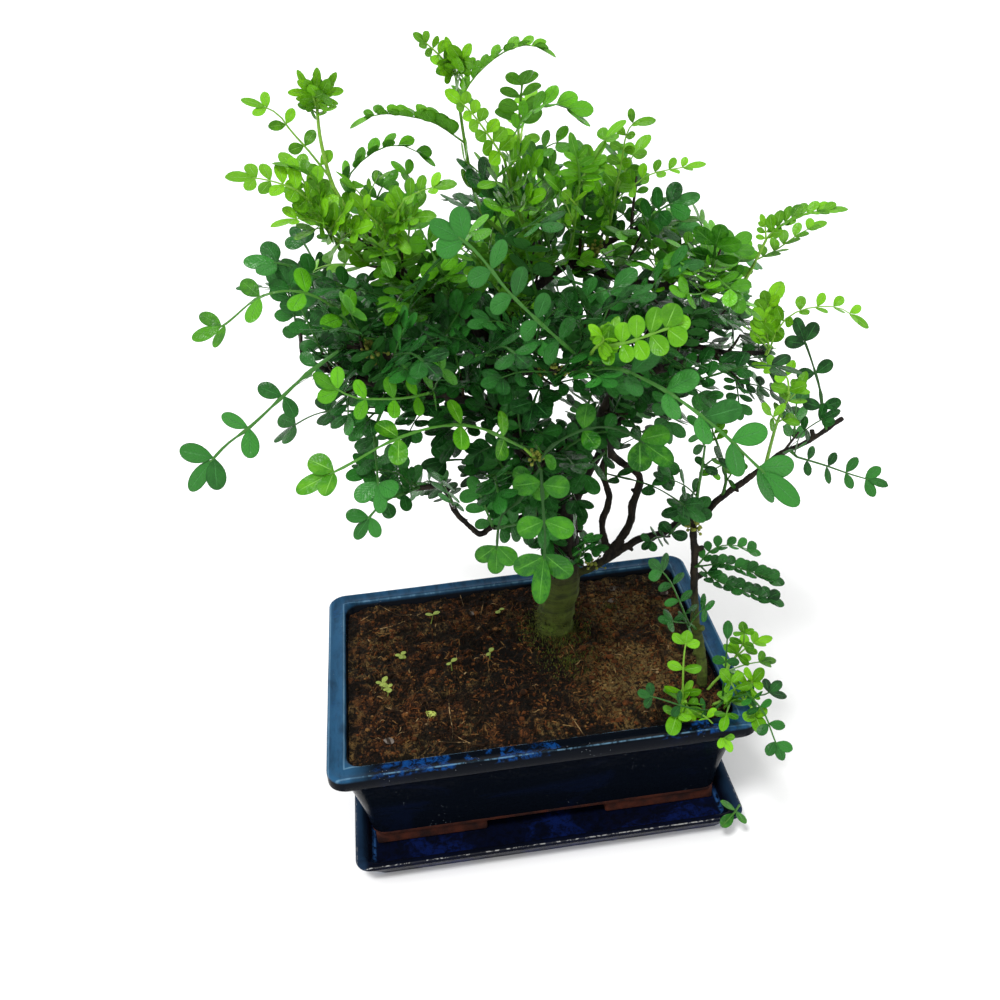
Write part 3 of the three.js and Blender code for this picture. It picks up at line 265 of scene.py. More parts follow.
class Bench:
    """Modelling with Blender's own operators, one piece at a time."""

    @staticmethod
    def clear() -> None:
        """Deselects everything, in object mode."""
        if bpy.context.object and bpy.context.object.mode != "OBJECT":
            bpy.ops.object.mode_set(mode="OBJECT")
        bpy.ops.object.select_all(action="DESELECT")

    @staticmethod
    def take(piece: Piece) -> None:
        """Makes a piece the only one selected, and active."""
        Bench.clear()
        piece.select_set(True)
        bpy.context.view_layer.objects.active = piece

    @staticmethod
    def open(piece: Piece) -> None:
        """Starts to edit a piece with nothing selected, by vertices."""
        Bench.take(piece)
        bpy.ops.object.mode_set(mode="EDIT")
        bpy.ops.mesh.select_mode(type="VERT")
        bpy.ops.mesh.select_all(action="DESELECT")

    @staticmethod
    def pick(piece: Piece, wanted: Callable[[Vector], bool]) -> None:
        """Selects the vertices of the open piece whose place is wanted, with the faces between them."""
        shape = bmesh.from_edit_mesh(piece.data)
        for vertex in shape.verts:
            vertex.select_set(bool(wanted(vertex.co)))
        shape.select_flush_mode()
        bmesh.update_edit_mesh(piece.data)

    @staticmethod
    def pick_edges(piece: Piece, wanted: Callable[[bmesh.types.BMEdge], bool]) -> None:
        """Selects the edges of the open piece that are wanted, and nothing else."""
        bpy.ops.mesh.select_mode(type="EDGE")
        bpy.ops.mesh.select_all(action="DESELECT")
        shape = bmesh.from_edit_mesh(piece.data)
        for edge in shape.edges:
            if wanted(edge):
                edge.select_set(True)
        bmesh.update_edit_mesh(piece.data)

    @staticmethod
    def rise(height: float, scale: Pair, level: float) -> None:
        """Extrudes the selected faces along Z and resizes them about the Z axis.

        Args:
            height: The step along Z.
            scale: The factors along X and Y.
            level: The height at which the step ends.
        """
        bpy.ops.mesh.extrude_region_move(TRANSFORM_OT_translate={"value": (0, 0, height)})
        bpy.ops.transform.resize(value=(scale[0], scale[1], 1), center_override=(0, 0, level))

    @staticmethod
    def close(turn_out: bool = True) -> None:
        """Ends the edit.

        Args:
            turn_out: True to turn all faces outwards first.
        """
        if turn_out:
            bpy.ops.mesh.select_all(action="SELECT")
            bpy.ops.mesh.normals_make_consistent(inside=False)
        bpy.ops.object.mode_set(mode="OBJECT")

    @staticmethod
    def modify(piece: Piece, kind: str, **settings: object) -> None:
        """Adds a modifier to a piece and applies it.

        Args:
            piece: The piece.
            kind: The modifier's type.
            settings: The modifier's own settings.
        """
        Bench.take(piece)
        modifier = piece.modifiers.new(kind.title(), kind)
        for name, value in settings.items():
            setattr(modifier, name, value)
        bpy.ops.object.modifier_apply(modifier=modifier.name)

    @staticmethod
    def settle(piece: Piece) -> None:
        """Puts a piece's place, turn and scale into its mesh."""
        Bench.take(piece)
        bpy.ops.object.transform_apply(location=True, rotation=True, scale=True)

    @staticmethod
    def block(middle: Sequence[float], sizes: Sequence[float]) -> Piece:
        """A new block by its middle and its full sizes."""
        Bench.clear()
        bpy.ops.mesh.primitive_cube_add(size=1, location=middle)
        piece = bpy.context.object
        piece.scale = sizes
        Bench.settle(piece)
        return piece

    @staticmethod
    def combine(piece: Piece, other: Piece, operation: str) -> None:
        """Unites a piece with another or cuts the other out of it, and removes the other."""
        Bench.modify(piece, "BOOLEAN", object=other, operation=operation, solver="EXACT")
        Bench.drop(other)

    @staticmethod
    def join(pieces: Sequence[Piece], name: str) -> Piece:
        """Joins pieces into the first of them, under a new name."""
        Bench.take(pieces[0])
        for piece in pieces:
            piece.select_set(True)
        bpy.ops.object.join()
        pieces[0].name = name
        pieces[0].data.name = name
        return pieces[0]

    @staticmethod
    def drop(piece: Piece) -> None:
        """Removes a piece that was only needed for making another."""
        mesh = piece.data
        bpy.data.objects.remove(piece)
        if isinstance(mesh, bpy.types.Mesh):
            bpy.data.meshes.remove(mesh)

    @staticmethod
    def roughen(piece: Piece, grain: float, height: float, depth: int = 2) -> None:
        """Raises low cloud-like relief on a piece.

        Args:
            piece: The piece.
            grain: The size of the relief's humps.
            height: The relief's full height.
            depth: How many finer layers it has.
        """
        relief = bpy.data.textures.new(f"{piece.name}_relief", "CLOUDS")
        relief.noise_scale = grain
        relief.noise_depth = depth
        Bench.modify(piece, "DISPLACE", texture=relief, texture_coords="LOCAL", strength=height)


@dataclass(frozen=True)
class Cast:
    """A small shape that is modelled once and copied many times."""

    points: np.ndarray
    faces: np.ndarray
    own: np.ndarray

    @staticmethod
    def of(piece: Piece) -> "Cast":
        """Takes the cast of a piece and removes the piece.

        Args:
            piece: A piece whose faces all have the same number of corners.

        Returns:
            Its points, its faces and its points' places on the blade as arrays.
        """
        mesh = piece.data
        points = np.zeros(len(mesh.vertices) * 3)
        mesh.vertices.foreach_get("co", points)
        points = points.reshape(-1, 3)
        own = np.zeros_like(points)
        if "blade" in mesh.attributes:
            flat = np.zeros(points.size)
            mesh.attributes["blade"].data.foreach_get("vector", flat)
            own = flat.reshape(-1, 3)
            own[:, 2] = points[:, 2] < -1e-3
        faces = np.array([list(p.vertices) for p in mesh.polygons])
        Bench.drop(piece)
        return Cast(points, faces, own)


class Gathering:
    """The copies that make up one piece, collected as arrays and built as one mesh."""

    SHARP = math.radians(70)

    def __init__(self) -> None:
        """Starts with no copies."""
        self.points: list[np.ndarray] = []
        self.faces: list[np.ndarray] = []
        self.blade: list[np.ndarray] = []
        self.shade: list[np.ndarray] = []
        self.count = 0

    def add(self, points: np.ndarray, faces: np.ndarray, shade: Sequence,
            blade: np.ndarray | None = None) -> None:
        """Adds copies.

        Args:
            points: Copies by points by 3.
            faces: The faces of one copy.
            shade: Copies by 3, what sets a copy's colour: age, tint and kind.
            blade: Copies by points by 3, the place on the blade: along, across and under, if it has one.
        """
        copies, corners = points.shape[:2]
        starts = self.count + corners * np.arange(copies)
        self.points.append(points.reshape(-1, 3))
        self.blade.append((np.zeros_like(points) if blade is None else blade).reshape(-1, 3))
        self.shade.append(np.repeat(shade, corners, axis=0))
        self.faces.append((faces[None] + starts[:, None, None]).reshape(-1, faces.shape[1]))
        self.count += copies * corners

    def add_tubes(self, lines: Sequence, radii: Sequence, sides: int, shade: Sequence) -> None:
        """Adds closed tapering tubes.

        Args:
            lines: Tubes by points by 3.
            radii: Tubes by points.
            sides: The number of sides of a tube.
            shade: Tubes by 3, what sets a tube's colour.
        """
        points, faces = tubes(np.array(lines), np.array(radii), sides)
        self.add(points, faces, shade)

    def build(self, name: str, finish: bpy.types.Material) -> Piece:
        """Makes the piece.

        Args:
            name: The piece's name.
            finish: Its material.

        Returns:
            The new piece, at the origin.
        """
        mesh = bpy.data.meshes.new(name)
        corners = np.concatenate([f.ravel() for f in self.faces])
        totals = np.concatenate([np.full(len(f), f.shape[1]) for f in self.faces])
        mesh.vertices.add(self.count)
        places = np.clip(np.concatenate(self.points), BOX_LOW, BOX_HIGH)
        mesh.vertices.foreach_set("co", places.ravel())
        mesh.loops.add(len(corners))
        mesh.loops.foreach_set("vertex_index", corners)
        mesh.polygons.add(len(totals))
        mesh.polygons.foreach_set("loop_start", np.concatenate([[0], np.cumsum(totals)[:-1]]))
        mesh.update(calc_edges=True)
        for label, rows in (("blade", self.blade), ("shade", self.shade)):
            attribute = mesh.attributes.new(label, "FLOAT_VECTOR", "POINT")
            attribute.data.foreach_set("vector", np.concatenate(rows).ravel())
        mesh.shade_smooth()
        mesh.set_sharp_from_angle(angle=self.SHARP)
        mesh.materials.append(finish)
        piece = bpy.data.objects.new(name, mesh)
        bpy.context.scene.collection.objects.link(piece)
        return piece


def tubes(lines: np.ndarray, radii: np.ndarray, sides: int) -> tuple[np.ndarray, np.ndarray]:
    """Closed tapering tubes along lines of equally many points.

    Args:
        lines: Lines by points by 3.
        radii: Lines by points.
        sides: The number of sides of a tube.

    Returns:
        Tubes by points by 3, and the four-cornered faces of one tube.
    """
    count, steps = lines.shape[:2]
    way = unit(np.gradient(lines, axis=1))
    level = unit(np.cross(way, np.broadcast_to(ASKEW, way.shape)))
    lift = np.cross(level, way)
    turn = np.arange(sides) * 2 * math.pi / sides
    ring = level[:, :, None] * np.cos(turn)[:, None] + lift[:, :, None] * np.sin(turn)[:, None]
    body = lines[:, :, None] + ring * radii[:, :, None, None]
    points = np.concatenate([body.reshape(count, -1, 3), lines[:, :1], lines[:, -1:]], axis=1)
    faces = []
    for step in range(steps - 1):
        for side in range(sides):
            a, b = step * sides + side, step * sides + (side + 1) % sides
            faces.append([a, a + sides, b + sides, b])
    foot, tip = steps * sides, steps * sides + 1
    last = (steps - 1) * sides
    for side in range(0, sides, 2):
        a, b, c = side, (side + 1) % sides, (side + 2) % sides
        faces.append([foot, a, b, c])
        faces.append([tip, last + c, last + b, last + a])
    return points, np.array(faces)


class Graph:
    """A material's node tree, built by short calls."""

    def __init__(self, name: str) -> None:
        """Starts a material with its Principled shader."""
        self.material = bpy.data.materials.new(name)
        self.material.use_nodes = True
        self.tree = self.material.node_tree
        self.shader = self.tree.nodes["Principled BSDF"]

    def add(self, kind: str, **settings: object) -> bpy.types.Node:
        """A new node with its settings."""
        node = self.tree.nodes.new(kind)
        for name, value in settings.items():
            setattr(node, name, value)
        return node

    def feed(self, socket: Socket, value: Socket | float | Sequence[float]) -> None:
        """Links a value to an input, or sets it there."""
        if isinstance(value, bpy.types.NodeSocket):
            self.tree.links.new(value, socket)
        elif isinstance(value, (tuple, list)) and len(value) == 3 and socket.type == "RGBA":
            socket.default_value = (*value, 1.0)
        else:
            socket.default_value = value

    def place(self) -> Socket:
        """The place on the piece, in metres."""
        return self.add("ShaderNodeTexCoord").outputs["Object"]

    def split(self, value: Socket) -> Sequence[Socket]:
        """The three numbers that make up a value."""
        node = self.add("ShaderNodeSeparateXYZ")
        self.feed(node.inputs[0], value)
        return node.outputs

    def height(self) -> Socket:
        """The place's height, in metres."""
        return self.split(self.place())[2]

    def beyond(self, half: Pair) -> Socket:
        """How far a place lies outside an upright rectangle of these half sizes, in metres."""
        sides = [self.sum("SUBTRACT", self.sum("ABSOLUTE", part), reach)
                 for part, reach in zip(self.split(self.place()), half)]
        return self.sum("MAXIMUM", *sides)

    def near(self, spot: Pair, reach: float) -> Socket:
        """A ragged patch of the soil: 1 at its middle, 0 beyond its reach."""
        flat = self.add("ShaderNodeVectorMath", operation="MULTIPLY")
        self.feed(flat.inputs[0], self.place())
        flat.inputs[1].default_value = (1, 1, 0)
        away = self.add("ShaderNodeVectorMath", operation="DISTANCE")
        self.feed(away.inputs[0], flat.outputs[0])
        away.inputs[1].default_value = (*spot, 0)
        ragged = self.rise(self.grain(80, 3), 0.2, 0.8, -0.014, 0.014)
        return self.rise(self.sum("ADD", away.outputs["Value"], ragged), reach * 0.35, reach, 1, 0)

    def both(self, first: Socket | float, second: Socket | float) -> Socket:
        """The product of two shares."""
        return self.sum("MULTIPLY", first, second)

    def own(self, label: str) -> Sequence[Socket]:
        """The three numbers of the piece's own attribute."""
        return self.split(self.add("ShaderNodeAttribute", attribute_name=label).outputs["Vector"])

    def grain(self, scale: float, detail: float = 3, stretch: Sequence[float] = (1, 1, 1),
              rough: float = 0.55, warp: float = 0) -> Socket:
        """Cloud-like noise.

        Args:
            scale: Humps per metre.
            detail: The number of finer layers.
            stretch: Factors on the place along X, Y and Z.
            rough: How strong the finer layers are.
            warp: How far the pattern is distorted.

        Returns:
            A value from 0 to 1.
        """
        turn = self.add("ShaderNodeMapping")
        self.feed(turn.inputs["Vector"], self.place())
        turn.inputs["Scale"].default_value = stretch
        node = self.add("ShaderNodeTexNoise")
        self.feed(node.inputs["Vector"], turn.outputs[0])
        node.inputs["Scale"].default_value = scale
        node.inputs["Detail"].default_value = detail
        node.inputs["Roughness"].default_value = rough
        node.inputs["Distortion"].default_value = warp
        return node.outputs[0]

    def shaded_hollows(self) -> Socket:
        """Painted shade in the soil's dips, the same for its block and for all that lies on it, weaker at the
        dry spots.
        """
        dark = self.rise(self.grain(130, 6, (1, 0.7, 1), 0.72, 0.9), 0.475, 0.56, 1, 0)
        dry = self.sum("MAXIMUM", *(self.near(*spot) for spot in zip(DRY_SPOTS, (0.045, 0.035))))
        return self.both(dark, self.rise(dry, 0, 1, 1, 0.35))

    def cells(self, scale: float) -> Socket:
        """The distance to the nearest of scattered points, so many to the metre."""
        node = self.add("ShaderNodeTexVoronoi")
        self.feed(node.inputs["Vector"], self.place())
        node.inputs["Scale"].default_value = scale
        return node.outputs["Distance"]

    def rise(self, value: Socket, low: float, high: float, start: float = 0, end: float = 1) -> Socket:
        """A value mapped smoothly from low..high to start..end, and held beyond."""
        node = self.add("ShaderNodeMapRange", interpolation_type="SMOOTHSTEP")
        for socket, number in zip(node.inputs, (value, low, high, start, end)):
            self.feed(socket, number)
        return node.outputs[0]

    def sum(self, operation: str, first: Socket | float, second: Socket | float = 0) -> Socket:
        """One arithmetic step."""
        node = self.add("ShaderNodeMath", operation=operation)
        self.feed(node.inputs[0], first)
        self.feed(node.inputs[1], second)
        return node.outputs[0]

    def mix(self, share: Socket | float, first: Socket | Colour, second: Socket | Colour,
            blend: str = "MIX") -> Socket:
        """A share of the second colour over the first."""
        node = self.add("ShaderNodeMix", data_type="RGBA", blend_type=blend, clamp_factor=True)
        self.feed(node.inputs["Factor"], share)
        self.feed(node.inputs[6], first)
        self.feed(node.inputs[7], second)
        return node.outputs[2]

    def mix_value(self, share: Socket, first: Socket, second: Socket) -> Socket:
        """A share of the second number over the first."""
        node = self.add("ShaderNodeMix", data_type="FLOAT", clamp_factor=True)
        for index, value in zip((0, 2, 3), (share, first, second)):
            self.feed(node.inputs[index], value)
        return node.outputs[0]

    def ramp(self, value: Socket, *stops: tuple[float, Colour]) -> Socket:
        """A colour that runs through stops as a value rises."""
        node = self.add("ShaderNodeValToRGB")
        bar = node.color_ramp.elements
        while len(bar) < len(stops):
            bar.new(0.5)
        for element, (where, colour) in zip(bar, stops):
            element.position = where
            element.color = (*colour, 1.0)
        self.feed(node.inputs[0], value)
        return node.outputs[0]

    def bump(self, relief: Socket, depth: float, under: Socket | None = None) -> Socket:
        """Fine relief, as a normal.

        Args:
            relief: The height, from 0 to 1.
            depth: The height in metres that 1 stands for.
            under: A normal that it lies on, if any.

        Returns:
            The bent normal.
        """
        node = self.add("ShaderNodeBump")
        node.inputs["Strength"].default_value = 1.0
        node.inputs["Distance"].default_value = depth
        self.feed(node.inputs["Height"], relief)
        if under is not None:
            self.feed(node.inputs["Normal"], under)
        return node.outputs[0]

    def finish(self, colour: Socket | Colour, rough: Socket | float, normal: Socket | None = None,
               **fixed: float) -> bpy.types.Material:
        """Feeds the shader.

        Args:
            colour: The base colour.
            rough: The roughness.
            normal: The bent normal, if any.
            fixed: Numbers that are the same all over, by the shader's own names with _ for a space.

        Returns:
            The material.
        """
        self.feed(self.shader.inputs["Base Color"], colour)
        self.feed(self.shader.inputs["Roughness"], rough)
        if normal is not None:
            self.feed(self.shader.inputs["Normal"], normal)
        for name, number in fixed.items():
            self.shader.inputs[name.replace("_", " ")].default_value = number
        return self.material


@dataclass(frozen=True)
class GlazeFinish:
    """Night-blue glaze: almost black where it pools, cobalt in clouds, with a painted steel-blue sky
    reflection and painted highlight lines on the rim's top.
    """

    name: str
    rim: Pair
    land: float
    top: float
    # painted highlight: the pale lines along the rim's outer and inner top edges
    lip_highlight: Colour = (0.12, 0.24, 0.35)
    deep: Colour = (0.0022, 0.0034, 0.0062)
    ink: Colour = (0.0025, 0.0045, 0.013)
    cobalt: Colour = (0.004, 0.042, 0.17)
    # painted reflection: the steel-blue sky reflection painted on the rim's top at its ends and back
    reflected_steel: Colour = (0.019, 0.078, 0.16)
    dust: Colour = (0.3, 0.33, 0.36)
    # where along X the painted reflection begins and where it is full
    reflection_from: Pair = (0.080, 0.098)
    cobalt_share: float = 0.545
    highlight_share: float = 0.75
    pools: tuple[tuple[Pair, float], ...] = (
        ((-0.034, -0.074), 0.019), ((-0.012, -0.074), 0.017), ((-0.064, -0.074), 0.008),
        ((0.088, -0.072), 0.013))

    def make(self) -> bpy.types.Material:
        """Builds the material."""
        g = Graph(self.name)
        x, y, z = g.split(g.place())
        clouds = g.grain(30, 5, (0.7, 1, 1.4), 0.62, 0.8)
        flecks = g.grain(340, 5, (1, 1, 1), 0.7, 0.6)
        upward = g.rise(z, self.top - 0.0026, self.top - 0.0008)
        body = g.mix(g.rise(clouds, 0.52, 0.7), self.deep, self.ink)
        full = clouds
        for spot, reach in self.pools:
            full = g.sum("ADD", full, g.both(g.near(spot, reach), 0.16))
        pooled = g.both(g.rise(full, self.cobalt_share, self.cobalt_share + 0.07), g.rise(flecks, 0.42, 0.6))
        cobalt = g.mix(g.both(pooled, upward), body, self.cobalt)
        # painted reflection: steel blue on the rim's top towards both ends and along the back, broken by
        # streaks
        ends = g.rise(g.sum("ABSOLUTE", x), *self.reflection_from)
        ends = g.sum("MAXIMUM", ends, g.rise(y, self.rim[1] - 0.022, self.rim[1] - 0.004, 0, 0.75))
        streaks = g.grain(110, 5, (1.6, 0.5, 1), 0.65, 0.5)
        ends = g.both(ends, g.rise(streaks, 0.25, 0.62, 0.45, 1))
        colour = g.mix(g.both(ends, upward), cobalt, self.reflected_steel)
        # painted highlight: pale lines along the outer and inner edges of the rim's top, broken by streaks
        # and stronger at the ends
        out = g.beyond(self.rim)
        outer = g.both(g.rise(out, -0.0017, -0.0012), g.rise(out, -0.0010, -0.0005, 1, 0))
        inner = g.both(g.rise(out, -self.land - 0.0001, 0.0003 - self.land),
                       g.rise(out, 0.0006 - self.land, 0.0011 - self.land, 1, 0))
        edge_highlight = g.sum("MAXIMUM", g.rise(streaks, 0.42, 0.6, 0.08, 1), g.both(ends, 0.8))
        line = g.both(g.both(g.sum("MAXIMUM", outer, inner), upward), edge_highlight)
        colour = g.mix(g.both(line, self.highlight_share), colour, self.lip_highlight)
        grit = g.both(g.rise(g.cells(560), 0.07, 0.1, 1, 0), g.rise(g.grain(60, 3), 0.56, 0.64))
        colour = g.mix(grit, colour, self.dust)
        rough = g.rise(clouds, 0.2, 0.8, 0.1, 0.2)
        ripple = g.bump(g.grain(60, 3, (1, 1, 0.6)), 0.0006)
        normal = g.bump(flecks, 0.00012, ripple)
        return g.finish(colour, rough, normal, Specular_IOR_Level=0.04)


@dataclass(frozen=True)
class TrayFinish:
    """The same glaze on the tray: cobalt on its floor, a painted steel-blue sky reflection on its top at the
    ends and back, and a painted pale highlight line along its lip.
    """

    name: str
    rim: Pair
    floor_half: Pair
    top: float
    deep: Colour = (0.0024, 0.0032, 0.007)
    cobalt: Colour = (0.004, 0.011, 0.07)
    # painted reflection: the steel-blue sky reflection painted on the lip's top at the ends and back
    reflected_steel: Colour = (0.009, 0.024, 0.052)
    edge_blue: Colour = (0.02, 0.07, 0.2)
    # painted highlight: the pale dotted line along the top of the lip
    edge_highlight: Colour = (0.3, 0.3, 0.29)

    def make(self) -> bpy.types.Material:
        """Builds the material."""
        g = Graph(self.name)
        x, y, z = g.split(g.place())
        clouds = g.grain(34, 5, (0.6, 1, 1), 0.65, 0.8)
        flecks = g.grain(300, 5, (1, 1, 1), 0.7, 0.5)
        low = g.rise(z, 0.0055, 0.008, 1, 0.1)
        pooled = g.both(g.rise(clouds, 0.46, 0.56, 0.15, 1), g.rise(flecks, 0.38, 0.6, 0.1, 1))
        colour = g.mix(g.both(pooled, low), self.deep, self.cobalt)
        upward = g.rise(z, 0.0035, 0.0055)
        # painted reflection: steel blue on the top at both ends and along the back
        ends = g.both(g.rise(g.sum("ABSOLUTE", x), 0.0915, 0.0945), upward)
        ends = g.sum("MAXIMUM", ends, g.both(g.rise(y, 0.072, 0.076), upward))
        colour = g.mix(g.both(ends, g.rise(clouds, 0.3, 0.6, 0.5, 1)), colour, self.reflected_steel)
        out = g.beyond(self.floor_half)
        foot = g.both(g.rise(out, -0.0014, -0.0004), g.rise(out, 0.0002, 0.0011, 1, 0))
        foot = g.both(g.both(foot, g.rise(z, 0.0075, 0.0085, 1, 0)), g.rise(flecks, 0.4, 0.55))
        colour = g.mix(foot, colour, self.edge_blue)
        # painted highlight: a pale dotted line along the top outer edge of the lip, fainter at the ends
        lip = g.beyond(self.rim)
        dotted = g.rise(g.grain(420, 6, rough=0.75), 0.5, 0.56, 0.06, 1)
        edge_highlight = g.both(g.both(g.rise(lip, -0.0012, -0.0009), g.rise(lip, -0.0007, -0.0004, 1, 0)),
                      g.both(g.rise(z, self.top - 0.0016, self.top - 0.0007), dotted))
        edge_highlight = g.both(edge_highlight, g.rise(g.sum("ABSOLUTE", x), 0.093, 0.0975, 1, 0.35))
        colour = g.mix(edge_highlight, colour, self.edge_highlight)
        normal = g.bump(flecks, 0.00012, g.bump(g.grain(60, 3), 0.0005))
        return g.finish(colour, g.rise(clouds, 0.2, 0.8, 0.12, 0.24), normal, Specular_IOR_Level=0.04)


@dataclass(frozen=True)
class ClayFinish:
    """Bare fired clay with iron in it, damp and dark."""

    name: str = "rusty_clay"
    light: Colour = (0.085, 0.02, 0.009)
    dark: Colour = (0.018, 0.006, 0.005)

    def make(self) -> bpy.types.Material:
        """Builds the material."""
        g = Graph(self.name)
        colour = g.ramp(g.grain(120, 6), (0.36, self.dark), (0.62, self.light))
        grit = g.grain(1500, 3)
        colour = g.mix(g.rise(grit, 0.62, 0.75), colour, self.dark)
        rough = g.rise(grit, 0.2, 0.8, 0.62, 0.85)
        return g.finish(colour, rough, g.bump(grit, 0.00035), Specular_IOR_Level=0.3)


@dataclass(frozen=True)
class NetFinish:
    """Black moulded plastic of the drain screens."""

    name: str = "black_net"
    colour: Colour = (0.014, 0.014, 0.016)
    dust: Colour = (0.06, 0.045, 0.03)

    def make(self) -> bpy.types.Material:
        """Builds the material."""
        g = Graph(self.name)
        grit = g.grain(700, 4)
        colour = g.mix(g.rise(grit, 0.55, 0.7), self.colour, self.dust)
        return g.finish(colour, 0.55, g.bump(grit, 0.0001))


@dataclass(frozen=True)
class SoilFinish:
    """Peat: rusty and ochre fibres, nearly black with painted shade in its dips and in a few painted shadow
    patches, green with moss about the trunk.
    """

    name: str = "peat"
    black: Colour = (0.0035, 0.0028, 0.002)
    dark: Colour = (0.014, 0.0075, 0.0045)
    rusty: Colour = (0.12, 0.043, 0.013)
    ochre: Colour = (0.2, 0.125, 0.042)
    olive: Colour = (0.035, 0.036, 0.008)
    tan: Colour = (0.3, 0.2, 0.065)
    tan_reach: Pair = (0.042, 0.03)
    # patches of painted shadow on the soil: their middle and reach
    painted_shade_spots: tuple[tuple[Pair, float], ...] = (
        ((-0.016, 0.006), 0.036), ((0.002, -0.022), 0.034), ((0.0625, 0.008), 0.014))
    moss_reach: float = 0.040

    def make(self) -> bpy.types.Material:
        """Builds the material."""
        g = Graph(self.name)
        fibres = g.grain(260, 7, (1, 0.45, 1), 0.74, 1.6)
        crumbs = g.grain(480, 6, (1, 1, 1), 0.74, 0.8)
        hollow_shade = g.shaded_hollows()
        warm = g.mix(g.rise(g.grain(45, 4), 0.4, 0.62), self.rusty, self.ochre)
        colour = g.mix(g.rise(fibres, 0.4, 0.6), self.dark, warm)
        for spot, reach in zip(DRY_SPOTS, self.tan_reach):
            patch = g.both(g.both(g.near(spot, reach), 0.7), g.rise(fibres, 0.36, 0.55))
            colour = g.mix(patch, colour, self.tan)
        colour = g.mix(g.rise(crumbs, 0.41, 0.53, 0.95, 0), colour, self.black)
        colour = g.mix(g.rise(crumbs, 0.62, 0.74, 0, 0.7), colour, self.ochre)
        moss = g.both(g.near(TRUNK_SPOT, self.moss_reach), g.rise(g.grain(190, 5), 0.4, 0.56))
        colour = g.mix(g.both(moss, 0.85), colour, self.olive)
        # painted shadow: dark patches on the soil
        for spot, reach in self.painted_shade_spots:
            colour = g.mix(g.both(g.near(spot, reach), 0.8), colour, self.black)
        # painted shade: the soil is darkened to nearly black in its dips, less at the dry spots
        colour = g.mix(g.both(hollow_shade, 0.9), colour, self.black)
        relief = g.sum("ADD", fibres, g.both(crumbs, 0.7))
        return g.finish(colour, g.rise(crumbs, 0.3, 0.7, 0.95, 0.7), g.bump(relief, 0.0022),
                        Specular_IOR_Level=0.12)


@dataclass(frozen=True)
class CrumbFinish:
    """Loose crumbs and fibres: each copy has its own colour, from black peat to straw and grey, with painted
    shade in the soil's dips.
    """

    name: str = "crumbs"
    dark: Colour = (0.012, 0.006, 0.003)
    rusty: Colour = (0.14, 0.045, 0.012)
    ochre: Colour = (0.24, 0.14, 0.045)
    straw: Colour = (0.4, 0.27, 0.13)
    grey: Colour = (0.3, 0.3, 0.29)

    def make(self) -> bpy.types.Material:
        """Builds the material."""
        g = Graph(self.name)
        _, tint, _ = g.own("shade")
        colour = g.ramp(tint, (0, self.dark), (0.35, self.rusty), (0.6, self.ochre), (0.85, self.straw),
                        (1, self.grey))
        grit = g.grain(1400, 3)
        colour = g.mix(g.rise(grit, 0.5, 0.7, 0, 0.5), colour, self.dark)
        # painted shade: crumbs and fibres are darkened in the soil's dips
        colour = g.mix(g.both(g.shaded_hollows(), 0.92), colour, self.dark)
        return g.finish(colour, 0.88, g.bump(grit, 0.0004), Specular_IOR_Level=0.12)


@dataclass(frozen=True)
class BarkFinish:
    """Bark: olive and faintly ringed low on the trunk, nearly black and knobbly on the boughs."""

    name: str = "mossy_bark"
    dark: Colour = (0.004, 0.003, 0.0024)
    ridge: Colour = (0.027, 0.019, 0.011)
    olive: Colour = (0.058, 0.078, 0.01)
    shade_olive: Colour = (0.014, 0.02, 0.004)
    moss: Colour = (0.075, 0.12, 0.012)
    moss_top: float = 0.105

    def make(self) -> bpy.types.Material:
        """Builds the material."""
        g = Graph(self.name)
        fissures = g.grain(330, 5, (1, 1, 0.32), 0.62, 0.5)
        rings = g.grain(170, 4, (0.22, 0.22, 2.2), 0.6, 0.3)
        scales = g.grain(1100, 4, (1, 1, 0.6), 0.65)
        colour = g.ramp(fissures, (0.4, self.dark), (0.68, self.ridge))
        low = g.rise(g.height(), self.moss_top - 0.012, self.moss_top + 0.012, 1, 0)
        ringed = g.mix(g.rise(rings, 0.26, 0.6, 0.15, 1), self.shade_olive, self.olive)
        ringed = g.mix(g.rise(scales, 0.55, 0.7, 0, 0.6), ringed, self.shade_olive)
        colour = g.mix(low, colour, ringed)
        foot = g.rise(g.height(), 0.066, 0.088, 1, 0.2)
        patch = g.both(g.both(foot, low), g.rise(g.grain(190, 4), 0.48, 0.6))
        colour = g.mix(patch, colour, self.moss)
        relief = g.sum("ADD", g.mix_value(low, fissures, rings), g.both(scales, 0.5))
        return g.finish(colour, 0.82, g.bump(relief, 0.0011), Specular_IOR_Level=0.25)


